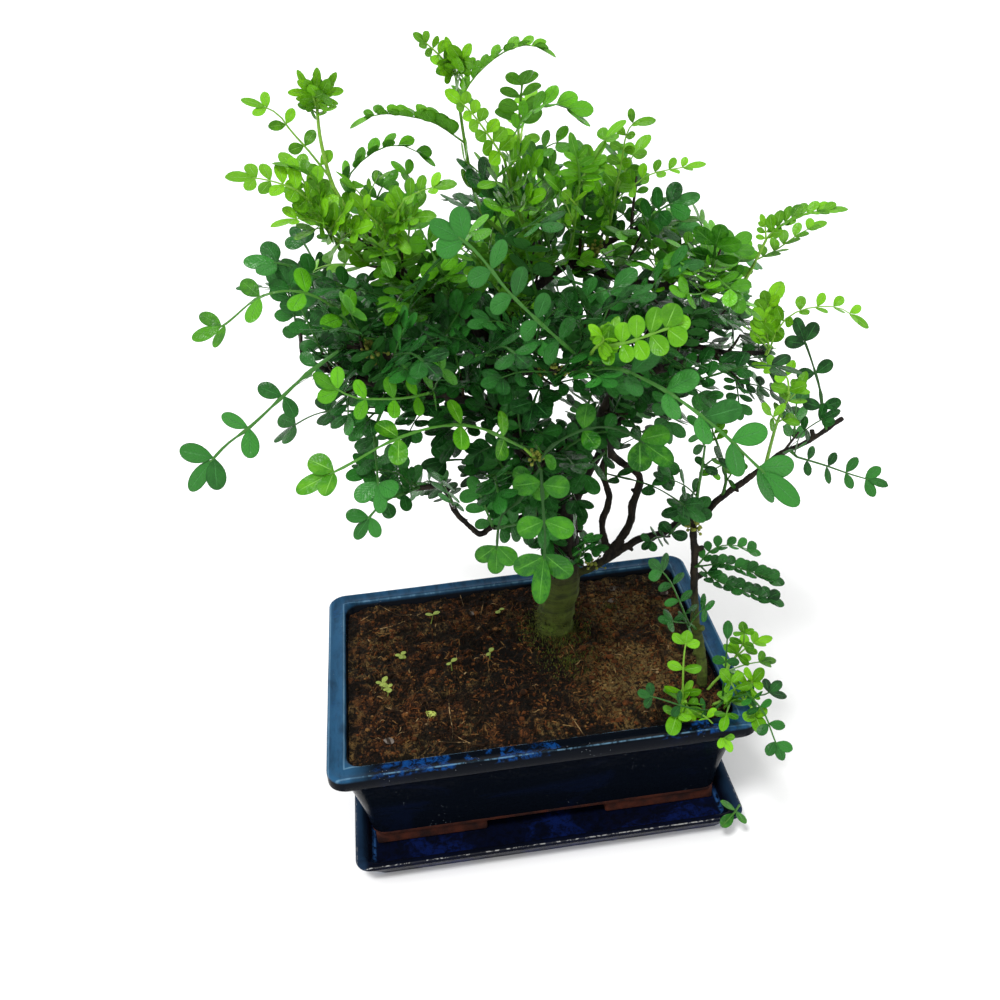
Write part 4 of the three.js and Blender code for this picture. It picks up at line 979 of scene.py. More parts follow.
@dataclass(frozen=True)
class LeafFinish:
    """Living leaf: waxy blade with a paler rib and veins, its colour by the leaf's age."""

    name: str
    old: Colour
    fresh: Colour
    under: Colour
    vein: Colour
    rough: float
    wavy: float = 5.0
    gloss: float = 0.2
    stem_old: Colour = (0.018, 0.07, 0.012)
    stem_fresh: Colour = (0.05, 0.18, 0.025)
    wood: Colour = (0.022, 0.016, 0.008)
    dulled: Colour = (0.55, 0.6, 0.66)
    brightened: Colour = (1.4, 1.3, 1.25)

    def make(self) -> bpy.types.Material:
        """Builds the material."""
        g = Graph(self.name)
        along, across, under = g.own("blade")
        age, tint, kind = g.own("shade")
        off = g.sum("ABSOLUTE", across)
        rib = g.both(g.rise(off, 0.02, 0.1, 1, 0), g.rise(along, 0.55, 1.0, 1, 0.2))
        slant = g.sum("SUBTRACT", g.sum("MULTIPLY", along, 7.0), g.sum("MULTIPLY", off, 2.6))
        veins = g.rise(g.sum("PINGPONG", slant, 0.5), 0.02, 0.14, 1, 0)
        veins = g.both(veins, g.rise(off, 0.7, 0.95, 1, 0))
        blotch = g.grain(230, 3)
        colour = g.mix(age, self.old, self.fresh)
        colour = g.mix(1.0, colour, g.ramp(tint, (0, self.dulled), (1, self.brightened)), "MULTIPLY")
        colour = g.mix(g.rise(blotch, 0.4, 0.7, 0, 0.35), colour, self.fresh)
        colour = g.mix(g.both(veins, 0.12), colour, self.vein)
        colour = g.mix(g.rise(off, 0.78, 1.0, 0, 0.4), colour, self.old)
        colour = g.mix(g.both(rib, 0.55), colour, self.vein)
        colour = g.mix(g.both(under, 0.75), colour, self.under)
        stem = g.mix(age, self.stem_old, self.stem_fresh)
        stem = g.mix(g.rise(kind, 0.6, 0.9), stem, self.wood)
        colour = g.mix(g.rise(kind, 0.1, 0.4), colour, stem)
        groove = g.sum("ADD", g.sum("MULTIPLY", rib, -1.0), g.sum("MULTIPLY", veins, -0.5))
        relief = g.sum("ADD", groove, g.both(g.grain(1300, 2), 0.6))
        relief = g.sum("ADD", relief, g.both(g.grain(210, 2), self.wavy))
        rough = g.rise(blotch, 0.2, 0.8, self.rough - 0.08, self.rough + 0.12)
        rough = g.sum("MAXIMUM", rough, g.both(under, 0.75))
        return g.finish(colour, rough, g.bump(relief, 0.00022), Specular_IOR_Level=self.gloss)


@dataclass(frozen=True)
class MossFinish:
    """Moss, seedlings and buds, each copy with its own tint."""

    name: str = "moss"
    dark: Colour = (0.014, 0.02, 0.003)
    bright: Colour = (0.15, 0.18, 0.018)

    def make(self) -> bpy.types.Material:
        """Builds the material."""
        g = Graph(self.name)
        _, tint, _ = g.own("shade")
        colour = g.mix(tint, self.dark, self.bright)
        mottle = g.grain(900, 3)
        colour = g.mix(g.rise(mottle, 0.4, 0.7, 0, 0.4), colour, self.dark)
        return g.finish(colour, 0.7, g.bump(mottle, 0.0002), Specular_IOR_Level=0.25)


@dataclass(frozen=True)
class FloorFinish:
    """Plain white studio floor."""

    name: str = "white_floor"
    colour: Colour = (0.95, 0.95, 0.95)

    def make(self) -> bpy.types.Material:
        """Builds the material."""
        g = Graph(self.name)
        return g.finish(self.colour, g.rise(g.grain(3, 2), 0, 1, 0.85, 0.95), Specular_IOR_Level=0.1)


@dataclass(frozen=True)
class Level:
    """One level of a thrown or moulded wall: its height and half sizes there."""

    z: float
    half: Pair


@dataclass
class Ware:
    """A rectangular ceramic vessel, drawn up level by level from its underside."""

    name: str
    corner: float
    levels: list[Level]
    corner_steps: int = 8
    long_edge: float = 0.03
    cuts: int = 23
    wave: float = 0.03
    waviness: float = 0.00022
    level_within: float = 1e-5
    sharp: float = math.radians(38)

    def raise_walls(self) -> Piece:
        """Extrudes the underside up the outside, over the rim and down to the floor.

        Returns:
            The open vessel as one closed shell.
        """
        first = self.levels[0]
        Bench.clear()
        bpy.ops.mesh.primitive_plane_add(size=2, location=(0, 0, first.z))
        piece = bpy.context.object
        piece.name = piece.data.name = self.name
        piece.scale = (*first.half, 1)
        Bench.settle(piece)
        Bench.open(piece)
        bpy.ops.mesh.select_all(action="SELECT")
        bpy.ops.mesh.bevel(affect="VERTICES", offset=self.corner, segments=self.corner_steps)
        for before, level in zip(self.levels, self.levels[1:]):
            factors = (level.half[0] / before.half[0], level.half[1] / before.half[1])
            Bench.rise(level.z - before.z, factors, level.z)
        Bench.close()
        self.close_bottom(piece)
        return piece

    def close_bottom(self, piece: Piece) -> None:
        """Fills the underside where the extrusion left it open."""
        Bench.open(piece)
        bpy.ops.mesh.select_all(action="SELECT")
        bpy.ops.mesh.remove_doubles(threshold=1e-6)
        bpy.ops.mesh.select_all(action="DESELECT")
        bpy.ops.mesh.select_non_manifold()
        if any(v.select for v in bmesh.from_edit_mesh(piece.data).verts):
            bpy.ops.mesh.edge_face_add()
        Bench.close()

    def refine(self, piece: Piece) -> None:
        """Divides the long stretches and gives the walls the low waves of hand work, within the box."""
        def long_and_level(edge: bmesh.types.BMEdge) -> bool:
            """True for a long edge that runs level."""
            start, end = edge.verts
            return edge.calc_length() > self.long_edge and abs(start.co.z - end.co.z) < self.level_within

        Bench.open(piece)
        Bench.pick_edges(piece, long_and_level)
        bpy.ops.mesh.subdivide(number_cuts=self.cuts)
        Bench.close()
        Bench.roughen(piece, self.wave, self.waviness, 1)
        for vertex in piece.data.vertices:
            vertex.co = np.clip(vertex.co, BOX_LOW, BOX_HIGH)

    def smooth(self, piece: Piece) -> None:
        """Shades the curved stretches smooth and keeps the sharp edges."""
        Bench.take(piece)
        bpy.ops.object.shade_smooth_by_angle(angle=self.sharp)


@dataclass
class Tray:
    """The glazed drip tray."""

    base_half: Pair = (0.091, 0.0725)
    lip_half: Pair = (0.0985, 0.080)
    floor_half: Pair = (0.0898, 0.0713)
    lip_width: float = 0.0045
    height: float = 0.013
    floor: float = 0.005
    corner: float = 0.007

    def levels(self) -> list[Level]:
        """The levels from the underside, over the lip, to the floor."""
        def grown(half: Pair, by: float) -> Pair:
            """Half sizes that are so much larger."""
            return half[0] + by, half[1] + by

        inner = grown(self.lip_half, -self.lip_width)
        rise = self.height
        return [
            Level(0.0, grown(self.base_half, -0.001)),
            Level(0.0004, grown(self.base_half, -0.0003)),
            Level(0.0012, self.base_half),
            Level(rise - 0.0022, grown(self.lip_half, -0.0008)),
            Level(rise - 0.0016, grown(self.lip_half, -0.0001)),
            Level(rise - 0.0009, self.lip_half),
            Level(rise - 0.0003, grown(self.lip_half, -0.0005)),
            Level(rise, grown(self.lip_half, -0.0014)),
            Level(rise, grown(inner, 0.0014)),
            Level(rise - 0.0004, grown(inner, 0.0005)),
            Level(rise - 0.0012, inner),
            Level(self.floor + 0.0016, grown(self.floor_half, 0.0006)),
            Level(self.floor + 0.0005, self.floor_half),
            Level(self.floor, grown(self.floor_half, -0.0012)),
        ]

    def build(self) -> Piece:
        """Builds and dresses the tray."""
        ware = Ware("drip_tray", self.corner, self.levels())
        piece = ware.raise_walls()
        ware.refine(piece)
        ware.smooth(piece)
        glaze = TrayFinish("tray_glaze", self.lip_half, self.floor_half, self.height)
        piece.data.materials.append(glaze.make())
        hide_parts("tray")
        return piece


@dataclass
class Pot:
    """The glazed pot: leaning walls under a rolled rim, two drain holes and four clay feet."""

    rim_half: Pair = (0.105, 0.0765)
    base_half: Pair = (0.0893, 0.0589)
    rim_width: float = 0.009
    rim_groove: float = 0.0007
    height: float = 0.070
    bottom: float = 0.0124
    floor: float = 0.018
    corner: float = 0.0075
    glaze_foot: float = 0.0150
    floor_inset: float = 0.007
    foot_leg: Pair = (0.057, 0.040)
    foot_thick: float = 0.010
    foot_inset: float = 0.0015
    foot_low: float = 0.0053
    foot_round: float = 0.0012
    drain_radius: float = 0.007
    drain_x: float = 0.045
    lean: tuple[tuple[float, float], ...] = (
        (0.0124, 1.03), (0.0132, 1.0), (0.0150, 0.985), (0.024, 0.91), (0.032, 0.81), (0.040, 0.70),
        (0.049, 0.56), (0.0565, 0.43), (0.0585, 0.38), (0.0600, 0.30), (0.0610, 0.16), (0.0620, 0.05),
        (0.0632, 0.0), (0.0684, 0.0), (0.0693, 0.012), (0.0698, 0.038), (0.0700, 0.075),
    )

    def outside(self, share: float) -> Pair:
        """The half sizes of the outside at a share of the lean."""
        return (self.rim_half[0] + (self.base_half[0] - self.rim_half[0]) * share,
                self.rim_half[1] + (self.base_half[1] - self.rim_half[1]) * share)

    def inside(self, z: float) -> Pair:
        """The half sizes of the inside at a height."""
        share = (self.height - z) / (self.height - self.floor)
        top = (self.rim_half[0] - self.rim_width, self.rim_half[1] - self.rim_width)
        base = (self.base_half[0] - self.floor_inset, self.base_half[1] - self.floor_inset)
        return top[0] + (base[0] - top[0]) * share, top[1] + (base[1] - top[1]) * share

    def levels(self) -> list[Level]:
        """The levels from the underside, over the rim, to the floor."""
        walls = [Level(z, self.outside(share)) for z, share in self.lean]
        top = self.inside(self.height)
        sunk = self.height - self.rim_groove
        rim = [Level(z, (self.rim_half[0] - inwards, self.rim_half[1] - inwards))
               for z, inwards in ((self.height, 0.0016), (sunk, 0.0028), (sunk, self.rim_width - 0.0032))]
        land = Level(self.height, (top[0] + 0.0012, top[1] + 0.0012))
        inner = [Level(self.height - 0.0004, (top[0] + 0.0004, top[1] + 0.0004)),
                 Level(self.height - 0.0014, self.inside(self.height - 0.0014)),
                 Level(self.height - 0.02, self.inside(self.height - 0.02)),
                 Level(self.floor, self.inside(self.floor))]
        return [*walls, *rim, land, *inner]

    def foot(self, sign_x: int, sign_y: int) -> Piece:
        """One L-shaped foot that follows a corner of the base.

        Args:
            sign_x: 1 for the right end, -1 for the left.
            sign_y: 1 for the back, -1 for the front.

        Returns:
            The foot, rounded along its edges.
        """
        out = (self.base_half[0] - self.foot_inset, self.base_half[1] - self.foot_inset)
        top = self.bottom + 0.001
        legs = []
        for size in ((self.foot_leg[0], self.foot_thick), (self.foot_thick, self.foot_leg[1])):
            middle = (sign_x * (out[0] - size[0] / 2), sign_y * (out[1] - size[1] / 2),
                      (self.foot_low + top) / 2)
            legs.append(Bench.block(middle, (*size, top - self.foot_low)))
        Bench.combine(*legs, "UNION")
        Bench.modify(legs[0], "BEVEL", width=self.foot_round, segments=3, limit_method="ANGLE")
        return legs[0]

    def pierce(self, piece: Piece) -> None:
        """Cuts the two drain holes through the floor."""
        for sign in (-1, 1):
            Bench.clear()
            bpy.ops.mesh.primitive_cylinder_add(vertices=32, radius=self.drain_radius, depth=0.02,
                                                location=(sign * self.drain_x, 0, self.floor))
            plug = bpy.context.object
            Bench.settle(plug)
            Bench.combine(piece, plug, "DIFFERENCE")

    def build(self) -> Piece:
        """Builds and dresses the pot."""
        ware = Ware("pot_body", self.corner, self.levels())
        body = ware.raise_walls()
        ware.refine(body)
        self.pierce(body)
        feet = [self.foot(x, y) for x in (-1, 1) for y in (-1, 1)]
        glaze = GlazeFinish("pot_glaze", self.rim_half, self.rim_width, self.height)
        for finish in (glaze.make(), ClayFinish().make()):
            for part in (body, *feet):
                part.data.materials.append(finish)
        piece = Bench.join([body, *feet], "glazed_pot")
        for face in piece.data.polygons:
            face.material_index = int(face.center.z < self.glaze_foot - 0.0008)
        ware.smooth(piece)
        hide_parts("pot")
        return piece


@dataclass
class DrainScreens:
    """The two plastic nets over the drain holes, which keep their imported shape."""

    names: tuple[str, str] = ("drain_screen_left", "drain_screen_right")

    def dress(self) -> None:
        """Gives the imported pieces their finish."""
        finish = NetFinish().make()
        for name in self.names:
            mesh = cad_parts[name].data
            mesh.materials.clear()
            mesh.materials.append(finish)


def turned(points: np.ndarray, draws: Draws) -> np.ndarray:
    """A shape in a random position.

    Args:
        points: The shape's points about its middle.
        draws: Where the turns come from.

    Returns:
        The points after three turns.
    """
    for first, second in ((0, 1), (1, 2), (0, 2)):
        angle = draws.between(0, 2 * math.pi)
        cos, sin = math.cos(angle), math.sin(angle)
        points = points.copy()
        a, b = points[:, first].copy(), points[:, second].copy()
        points[:, first], points[:, second] = a * cos - b * sin, a * sin + b * cos
    return points


def lump_cast(steps: int, seed: float, uneven: float = 0.35) -> Cast:
    """A rough ball of radius 1, modelled from an icosphere."""
    Bench.clear()
    bpy.ops.mesh.primitive_ico_sphere_add(subdivisions=steps, radius=1)
    piece = bpy.context.object
    for vertex in piece.data.vertices:
        vertex.co *= 1 + uneven * noise.noise(vertex.co * 1.3 + Vector((seed, seed * 2, 0)))
    return Cast.of(piece)


@dataclass
class Ground:
    """The soil in the pot: a block with an uneven top, strewn with crumbs, fibres and moss."""

    pot: Pot
    edge: float = 0.0656
    mound: float = 0.0032
    mound_reach: float = 0.060
    ripple: float = 0.0007
    relief: tuple[tuple[float, float, float], ...] = ((0.0015, 90, 0.3), (0.0013, 300, 4.1),
                                                      (0.0008, 750, 9.7))
    low: float = 0.0183
    gap: float = 0.0003
    corner: float = 0.0058
    seat_gap: float = 0.0006
    seat_height: float = 0.0026
    bare_round_trunk: float = 0.011
    across: int = 230
    deep: int = 165
    crumbs: int = 4200
    lumps: int = 150
    fibres: int = 1700
    pale_tint: Pair = (0.6, 0.85)
    dark_tint: Pair = (0.02, 0.55)
    draws: Draws = field(default_factory=lambda: Draws(4071))

    def height(self, x: float, y: float) -> float:
        """The top of the soil block at a place, before its fine relief."""
        away = math.dist((x, y), TRUNK_SPOT) / self.mound_reach
        ripple = math.sin(x * 210 + 1.3) * math.cos(y * 270 - 0.6)
        return self.edge + self.mound * math.exp(-away * away * 2) + self.ripple * ripple

    def surface(self, x: float, y: float) -> float:
        """The top of the soil at a place, with its broad, fine and finest lumps."""
        level = self.height(x, y)
        for high, pitch, layer in self.relief:
            level += high * noise.noise(Vector((x * pitch, y * pitch, layer)))
        return level

    def half(self, z: float) -> Pair:
        """The block's half sizes at a height."""
        inside = self.pot.inside(z)
        return inside[0] - self.gap, inside[1] - self.gap

    def mapped(self, u: float, v: float, half: Pair) -> Pair:
        """A place of the unit square moved into the rounded outline of the pot's inside."""
        x, y = u * half[0], v * half[1]
        corner = self.corner
        beyond_x, beyond_y = abs(x) - (half[0] - corner), abs(y) - (half[1] - corner)
        if beyond_x > 0 and beyond_y > 0:
            shrink = max(beyond_x, beyond_y) / math.hypot(beyond_x, beyond_y)
            x = math.copysign(half[0] - corner + beyond_x * shrink, x)
            y = math.copysign(half[1] - corner + beyond_y * shrink, y)
        return x, y

    def block(self) -> Piece:
        """Models the block: a grid, drawn down along its border and closed below."""
        Bench.clear()
        bpy.ops.mesh.primitive_grid_add(x_subdivisions=self.across, y_subdivisions=self.deep, size=2)
        piece = bpy.context.object
        piece.name = piece.data.name = "soil_block"
        before = self.half(self.edge)
        for vertex in piece.data.vertices:
            x, y = self.mapped(vertex.co.x, vertex.co.y, before)
            vertex.co = (x, y, self.surface(x, y))
        Bench.open(piece)
        bpy.ops.mesh.select_all(action="SELECT")
        bpy.ops.mesh.region_to_loop()
        for level in (self.edge - 0.006, self.low):
            half = self.half(level)
            bpy.ops.mesh.extrude_edges_move()
            bpy.ops.transform.resize(value=(half[0] / before[0], half[1] / before[1], 0),
                                     center_override=(0, 0, level))
            before = half
        bpy.ops.mesh.edge_face_add()
        Bench.close()
        self.seat_screens(piece)
        return piece

    def seat_screens(self, piece: Piece) -> None:
        """Cuts the two shallow seats for the drain screens into the underside."""
        for name in DrainScreens.names:
            low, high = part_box(name)
            sizes = (high.x - low.x + self.seat_gap, high.y - low.y + self.seat_gap, self.seat_height)
            Bench.combine(piece, Bench.block(((low.x + high.x) / 2, 0, self.low), sizes), "DIFFERENCE")

    def spot(self, margin: float = 0.004) -> Pair:
        """A random place on the soil, clear of the trunk."""
        half = self.half(self.edge)
        while True:
            x = self.draws.between(margin - half[0], half[0] - margin)
            y = self.draws.between(margin - half[1], half[1] - margin)
            if math.dist((x, y), TRUNK_SPOT) > self.bare_round_trunk:
                return x, y

    def strew_lumps(self, heap: Gathering, count: int, low: float, high: float, steps: int) -> None:
        """Strews crumbs of one kind.

        Args:
            heap: Where they are gathered.
            count: How many.
            low: The smallest radius.
            high: The largest radius.
            steps: How finely a crumb is modelled.
        """
        casts = [lump_cast(steps, seed) for seed in (0.4, 3.7, 8.2)]
        for cast in casts:
            copies, shades = [], []
            for _ in range(count // len(casts)):
                x, y = self.spot()
                size = low + (high - low) * self.draws.between(0, 1) ** 2
                shape = turned(cast.points, self.draws) * (size, size * 0.8, size * 0.7)
                copies.append(shape + (x, y, self.surface(x, y) + size * 0.2))
                tint = self.draws.between(0, 0.5) if self.draws.between(0, 1) < 0.99 else 0.8
                shades.append((0, tint, 0))
            heap.add(np.array(copies), cast.faces, shades)

    def strew_fibres(self, heap: Gathering) -> None:
        """Strews short fibres and bits of root."""
        lines, radii, shades = [], [], []
        for _ in range(self.fibres):
            x, y = self.spot(0.012)
            way = self.draws.between(0, 2 * math.pi)
            step = self.draws.between(0.0004, 0.0015)
            bend = self.draws.about(0.3)
            line = []
            for k in range(5):
                lift = 0.0008 * math.sin(k * math.pi / 4 * self.draws.between(0.7, 1.3))
                line.append((x, y, self.surface(x, y) + 0.0002 + lift))
                way += bend + self.draws.about(0.25)
                x, y = x + step * math.cos(way), y + step * math.sin(way)
            thick = self.draws.between(0.00010, 0.00036)
            lines.append(line)
            radii.append([thick * s for s in (0.5, 1, 1, 0.8, 0.35)])
            pale = self.draws.between(0, 1) < 0.05
            shades.append((0, self.draws.between(*(self.pale_tint if pale else self.dark_tint)), 0))
        heap.add_tubes(lines, radii, 4, shades)

    def build(self) -> list[Piece]:
        """Builds the soil and what lies on it."""
        block = self.block()
        block.data.shade_smooth()
        block.data.materials.append(SoilFinish().make())
        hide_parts("soil")
        heap = Gathering()
        self.strew_lumps(heap, self.crumbs, 0.0003, 0.0011, 1)
        self.strew_lumps(heap, self.lumps, 0.0008, 0.0024, 2)
        finish = CrumbFinish().make()
        crumbs = heap.build("soil_crumbs", finish)
        threads = Gathering()
        self.strew_fibres(threads)
        fibres = threads.build("soil_fibres", finish)
        return [block, crumbs, fibres]


@dataclass(frozen=True)
class Bough:
    """A bough: its name, its radii at root and tip in millimetres, and its stations."""

    name: str
    radii: Pair
    route: tuple


TRUNK_ROUTE = (
    World(18.6, 21, 42), (555, 640, 21), (556, 610, 21), (562, 575, 20), (563, 540, 18),
    (556, 500, 15), (538, 462, 10), (515, 425, 8), (498, 390, 10), (496, 350, 14), (508, 310, 18),
    (524, 270, 20), (530, 240, 20),
)
SIDE_ROUTE = (
    World(83, -36, 48), Rooted(702, 683), (700, 650, -30), (694, 606, -24), (694, 566, -20),
    (694, 534, -16), (697, 500, -15),
)
BOUGHS = (
    Bough("lower_right", (2.4, 1.2), ((562, 580, 20), (590, 567, 18), (612, 556, 15), (640, 538, 12),
        (661, 533, 8), (684, 520, 4), (701, 517, 0), (718, 500, -2), (750, 477, -4), (787, 451, -5),
        (816, 437, -5), (843, 418, -5))),
    Bough("twisting", (2.2, 1.8), ((606, 558, 16), (619, 540, 16), (631, 520, 16), (633, 503, 18),
        (641, 480, 20), (635, 471, 22), (621, 462, 24), (609, 448, 24), (600, 420, 20),
        (615, 390, 12), (640, 375, 4), (664, 368, -4), (703, 359, -12))),
    Bough("upright", (2.0, 1.4), ((606, 548, 18), (602, 522, 22), (609, 498, 24), (603, 470, 26),
        (612, 440, 24), (608, 400, 22), (618, 352, 16))),
    Bough("upper_right", (2.3, 1.1), ((498, 345, 14), (560, 345, 20), (620, 338, 22), (672, 342, 18),
        (701, 348, 12), (735, 353, 6), (768, 354, 2))),
    Bough("left", (2.7, 1.1), ((508, 418, 8), (470, 400, -2), (430, 395, -10), (380, 385, -18),
        (330, 370, -24), (316, 365, -24), (303, 352, -20), (300, 334, -16))),
    Bough("lower_left", (2.1, 1.0), ((556, 500, 15), (530, 516, 6), (494, 525, -2), (479, 533, -6),
        (464, 521, -10), (454, 510, -12), (447, 494, -14), (436, 486, -16), (418, 487, -18))),
    Bough("top_left", (2.6, 1.3), ((496, 345, 14), (452, 312, 4), (412, 284, -4), (376, 258, -8),
        (352, 234, -8))),
    Bough("top_right", (2.6, 1.3), ((509, 308, 18), (556, 272, 24), (604, 244, 24), (640, 228, 18))),
    Bough("right_shoulder", (2, 1.2), ((570, 264, 24), (640, 282, 14), (700, 290, 8), (743, 283, 8))),
    Bough("front_low", (2.2, 1.2), ((541, 468, 10), (538, 463, -10), (536, 459, -32))),
    Bough("front_high", (2.4, 1.2), ((497, 370, 12), (530, 372, -10), (565, 368, -34),
        (590, 363, -50))),
    Bough("front_left", (2.2, 1.1), ((450, 397, -6), (412, 372, -24), (374, 352, -34),
        (345, 346, -38))),
    Bough("back_left", (2.8, 1.3), ((515, 425, 8), World(-22, 38, 218), World(-54, 62, 232),
        World(-84, 74, 240))),
    Bough("back_middle", (2.8, 1.3), ((497, 372, 12), World(4, 44, 244), World(14, 72, 262),
        World(22, 92, 280))),
    Bough("back_right", (2.8, 1.3), ((562, 532, 18), World(50, 46, 158), World(80, 66, 184),
        World(104, 70, 206))),
)


@dataclass
class Wood:
    """The tree's wood: a trunk, its boughs, and the second stem."""

    trunk_radii: tuple[tuple[float, float], ...] = (
        (0, 10.9), (0.09, 10.6), (0.13, 10.1), (0.2, 9.7), (0.3, 9.0), (0.4, 8.1), (0.5, 7.4), (0.62, 6.4),
        (0.8, 4.2), (1, 2.6))
    side_radii: Pair = (3.0, 1.6)
    sway: float = 0.0009
    ovality: float = 0.13
    grain: float = 0.0006
    relief: tuple[tuple[float, float, int], ...] = ((0.005, 0.0010, 3), (0.0016, 0.00035, 2))
    kept: float = 0.55
    draws: Draws = field(default_factory=lambda: Draws(911))

    def __post_init__(self) -> None:
        """Lays the lines of the limbs."""
        self.trunk = Line(TRUNK_ROUTE)
        self.side = Line(SIDE_ROUTE)
        self.boughs = {bough.name: Line(bough.route) for bough in BOUGHS}

    def limb(self, line: Line, radii: Callable[[float], float], name: str) -> Piece:
        """Sweeps a round limb along a line.

        Args:
            line: Its middle.
            radii: Its radius at a share of its length, in metres.
            name: Its name.

        Returns:
            The limb as a mesh.
        """
        steps = max(8, round(line.length / 0.0025))
        curve = bpy.data.curves.new(name, "CURVE")
        curve.dimensions = "3D"
        curve.bevel_depth = 1.0
        curve.bevel_resolution = 3
        curve.use_fill_caps = True
        spline = curve.splines.new("POLY")
        spline.points.add(steps)
        for k, point in enumerate(spline.points):
            share = k / steps
            place = line.at(share)
            sway = noise.noise_vector(Vector(place) * 75) * (self.sway if 0 < k else 0)
            point.co = (*(Vector(place) + sway), 1)
            point.radius = radii(share) * (1 + self.ovality * noise.noise(Vector(place) * 160))
        limb = bpy.data.objects.new(name, curve)
        bpy.context.scene.collection.objects.link(limb)
        Bench.take(limb)
        bpy.ops.object.convert(target="MESH")
        return bpy.context.object

    def knots(self, line: Line, count: int, low: float, high: float, radius: float,
              name: str) -> list[Piece]:
        """Short cut stubs and knots along a limb.

        Args:
            line: The limb's middle.
            count: How many.
            low: The share of the limb's length from which they stand.
            high: The share up to which they stand.
            radius: The limb's radius there, in metres.
            name: The limb's name.

        Returns:
            The stubs.
        """
        made = []
        for k in range(count):
            share = low + (high - low) * (k + self.draws.between(0.2, 0.8)) / count
            place, way = line.at(share), line.way(share)
            out = around(way, self.draws.between(0, 2 * math.pi))
            long = radius * self.draws.between(1.1, 1.9)
            stub = Line([place, place + out * long * 0.5, place + out * long + way * long * 0.25])
            size = radius * self.draws.between(0.32, 0.55)
            made.append(self.limb(stub, lambda share, s=size: s, f"{name}_knot_{k}"))
        return made

    def finish(self, parts: list[Piece], name: str, node: str, material: bpy.types.Material) -> Piece:
        """Grows parts together into one skin and gives it its bark relief.

        Args:
            parts: The overlapping limbs.
            name: The finished piece's name.
            node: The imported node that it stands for.
            material: Its bark.

        Returns:
            The finished piece.
        """
        piece = Bench.join(parts, name)
        Bench.modify(piece, "REMESH", mode="VOXEL", voxel_size=self.grain)
        Bench.modify(piece, "SMOOTH", factor=0.5, iterations=2)
        for relief in self.relief:
            Bench.roughen(piece, *relief)
        Bench.modify(piece, "DECIMATE", ratio=self.kept)
        piece.data.shade_smooth()
        piece.data.materials.clear()
        piece.data.materials.append(material)
        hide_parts(node)
        return piece

    def build(self) -> list[Piece]:
        """Builds the trunk with its boughs, and the second stem."""
        bark = BarkFinish().make()
        shares = [s for s, _ in self.trunk_radii]
        radii = [r * MM for _, r in self.trunk_radii]
        parts = [self.limb(self.trunk, lambda share: float(np.interp(share, shares, radii)), "trunk_limb")]
        parts += self.knots(self.trunk, 9, 0.2, 0.9, 0.0075, "trunk")
        for bough in BOUGHS:
            start, end = (r * MM for r in bough.radii)
            line = self.boughs[bough.name]
            parts.append(self.limb(line, lambda share, a=start, b=end: a + (b - a) * share, bough.name))
            count = max(2, round(line.length / 0.03))
            parts += self.knots(line, count, 0.15, 0.95, (start + end) * 0.62, bough.name)
        tree = self.finish(parts, "wood_of_the_tree", "trunk", bark)
        start, end = (r * MM for r in self.side_radii)
        stem = [self.limb(self.side, lambda share: start + (end - start) * share, "side_limb")]
        stem += self.knots(self.side, 6, 0.25, 0.98, 0.0034, "side")
        return [tree, self.finish(stem, "second_stem", "side_stem", bark)]


def leaflet_cast(columns: int, outline: Sequence[Pair]) -> Cast:
    """A leaflet: a closed blade with a rounded tip and a narrow base.

    It runs from 0 to 1 along Y and from -1 to 1 across X, and its faces lie half a unit up and down.

    Args:
        columns: Faces across.
        outline: Each row's place along the blade, and the share of the full width there.

    Returns:
        The blade, with each point's place on it.
    """
    near, aside = 1e-4, 4.0
    Bench.clear()
    bpy.ops.mesh.primitive_grid_add(x_subdivisions=columns, y_subdivisions=len(outline) - 1, size=2)
    piece = bpy.context.object
    mesh = piece.data
    places = np.zeros(len(mesh.vertices) * 3)
    mesh.vertices.foreach_get("co", places)
    places = places.reshape(-1, 3)
    levels = np.unique(places[:, 1].round(5))
    places[:, 1] = np.interp(places[:, 1], levels, [along for along, _ in outline])
    blade = mesh.attributes.new("blade", "FLOAT_VECTOR", "POINT")
    blade.data.foreach_set("vector", places[:, [1, 0, 2]].ravel())
    Bench.open(piece)
    for level, (_, width) in zip(levels, outline):
        Bench.pick(piece, lambda co, y=level: abs(co.y - y) < near)
        bpy.ops.transform.resize(value=(width, 1, 1), center_override=(0, float(level), 0))
    for level, (along, _) in zip(levels[::-1], outline[::-1]):
        Bench.pick(piece, lambda co, y=level: abs(co.y - y) < near)
        bpy.ops.transform.translate(value=(0, along + aside - float(level), 0))
    bpy.ops.mesh.select_all(action="SELECT")
    bpy.ops.transform.translate(value=(0, -aside, 0))
    bpy.ops.mesh.select_all(action="DESELECT")
    bpy.ops.mesh.select_non_manifold()
    bpy.ops.mesh.select_all(action="INVERT")
    bpy.ops.transform.translate(value=(0, 0, 0.5))
    bpy.ops.mesh.select_all(action="SELECT")
    bpy.ops.mesh.duplicate()
    bpy.ops.mesh.flip_normals()
    bpy.ops.transform.resize(value=(1, 1, -1), center_override=(0, 0, 0))
    bpy.ops.mesh.select_all(action="SELECT")
    bpy.ops.mesh.remove_doubles(threshold=near)
    Bench.close(turn_out=False)
    return Cast.of(piece)


class Tone(Enum):
    """How old a shoot's leaves are."""

    MATURE = "mature"
    MIDDLE = "middle"
    YOUNG = "young"


class Carrier(Enum):
    """What a shoot grows from: the tree, the second stem or the soil."""

    TREE = "tree"
    SIDE = "side"
    SOIL = "soil"


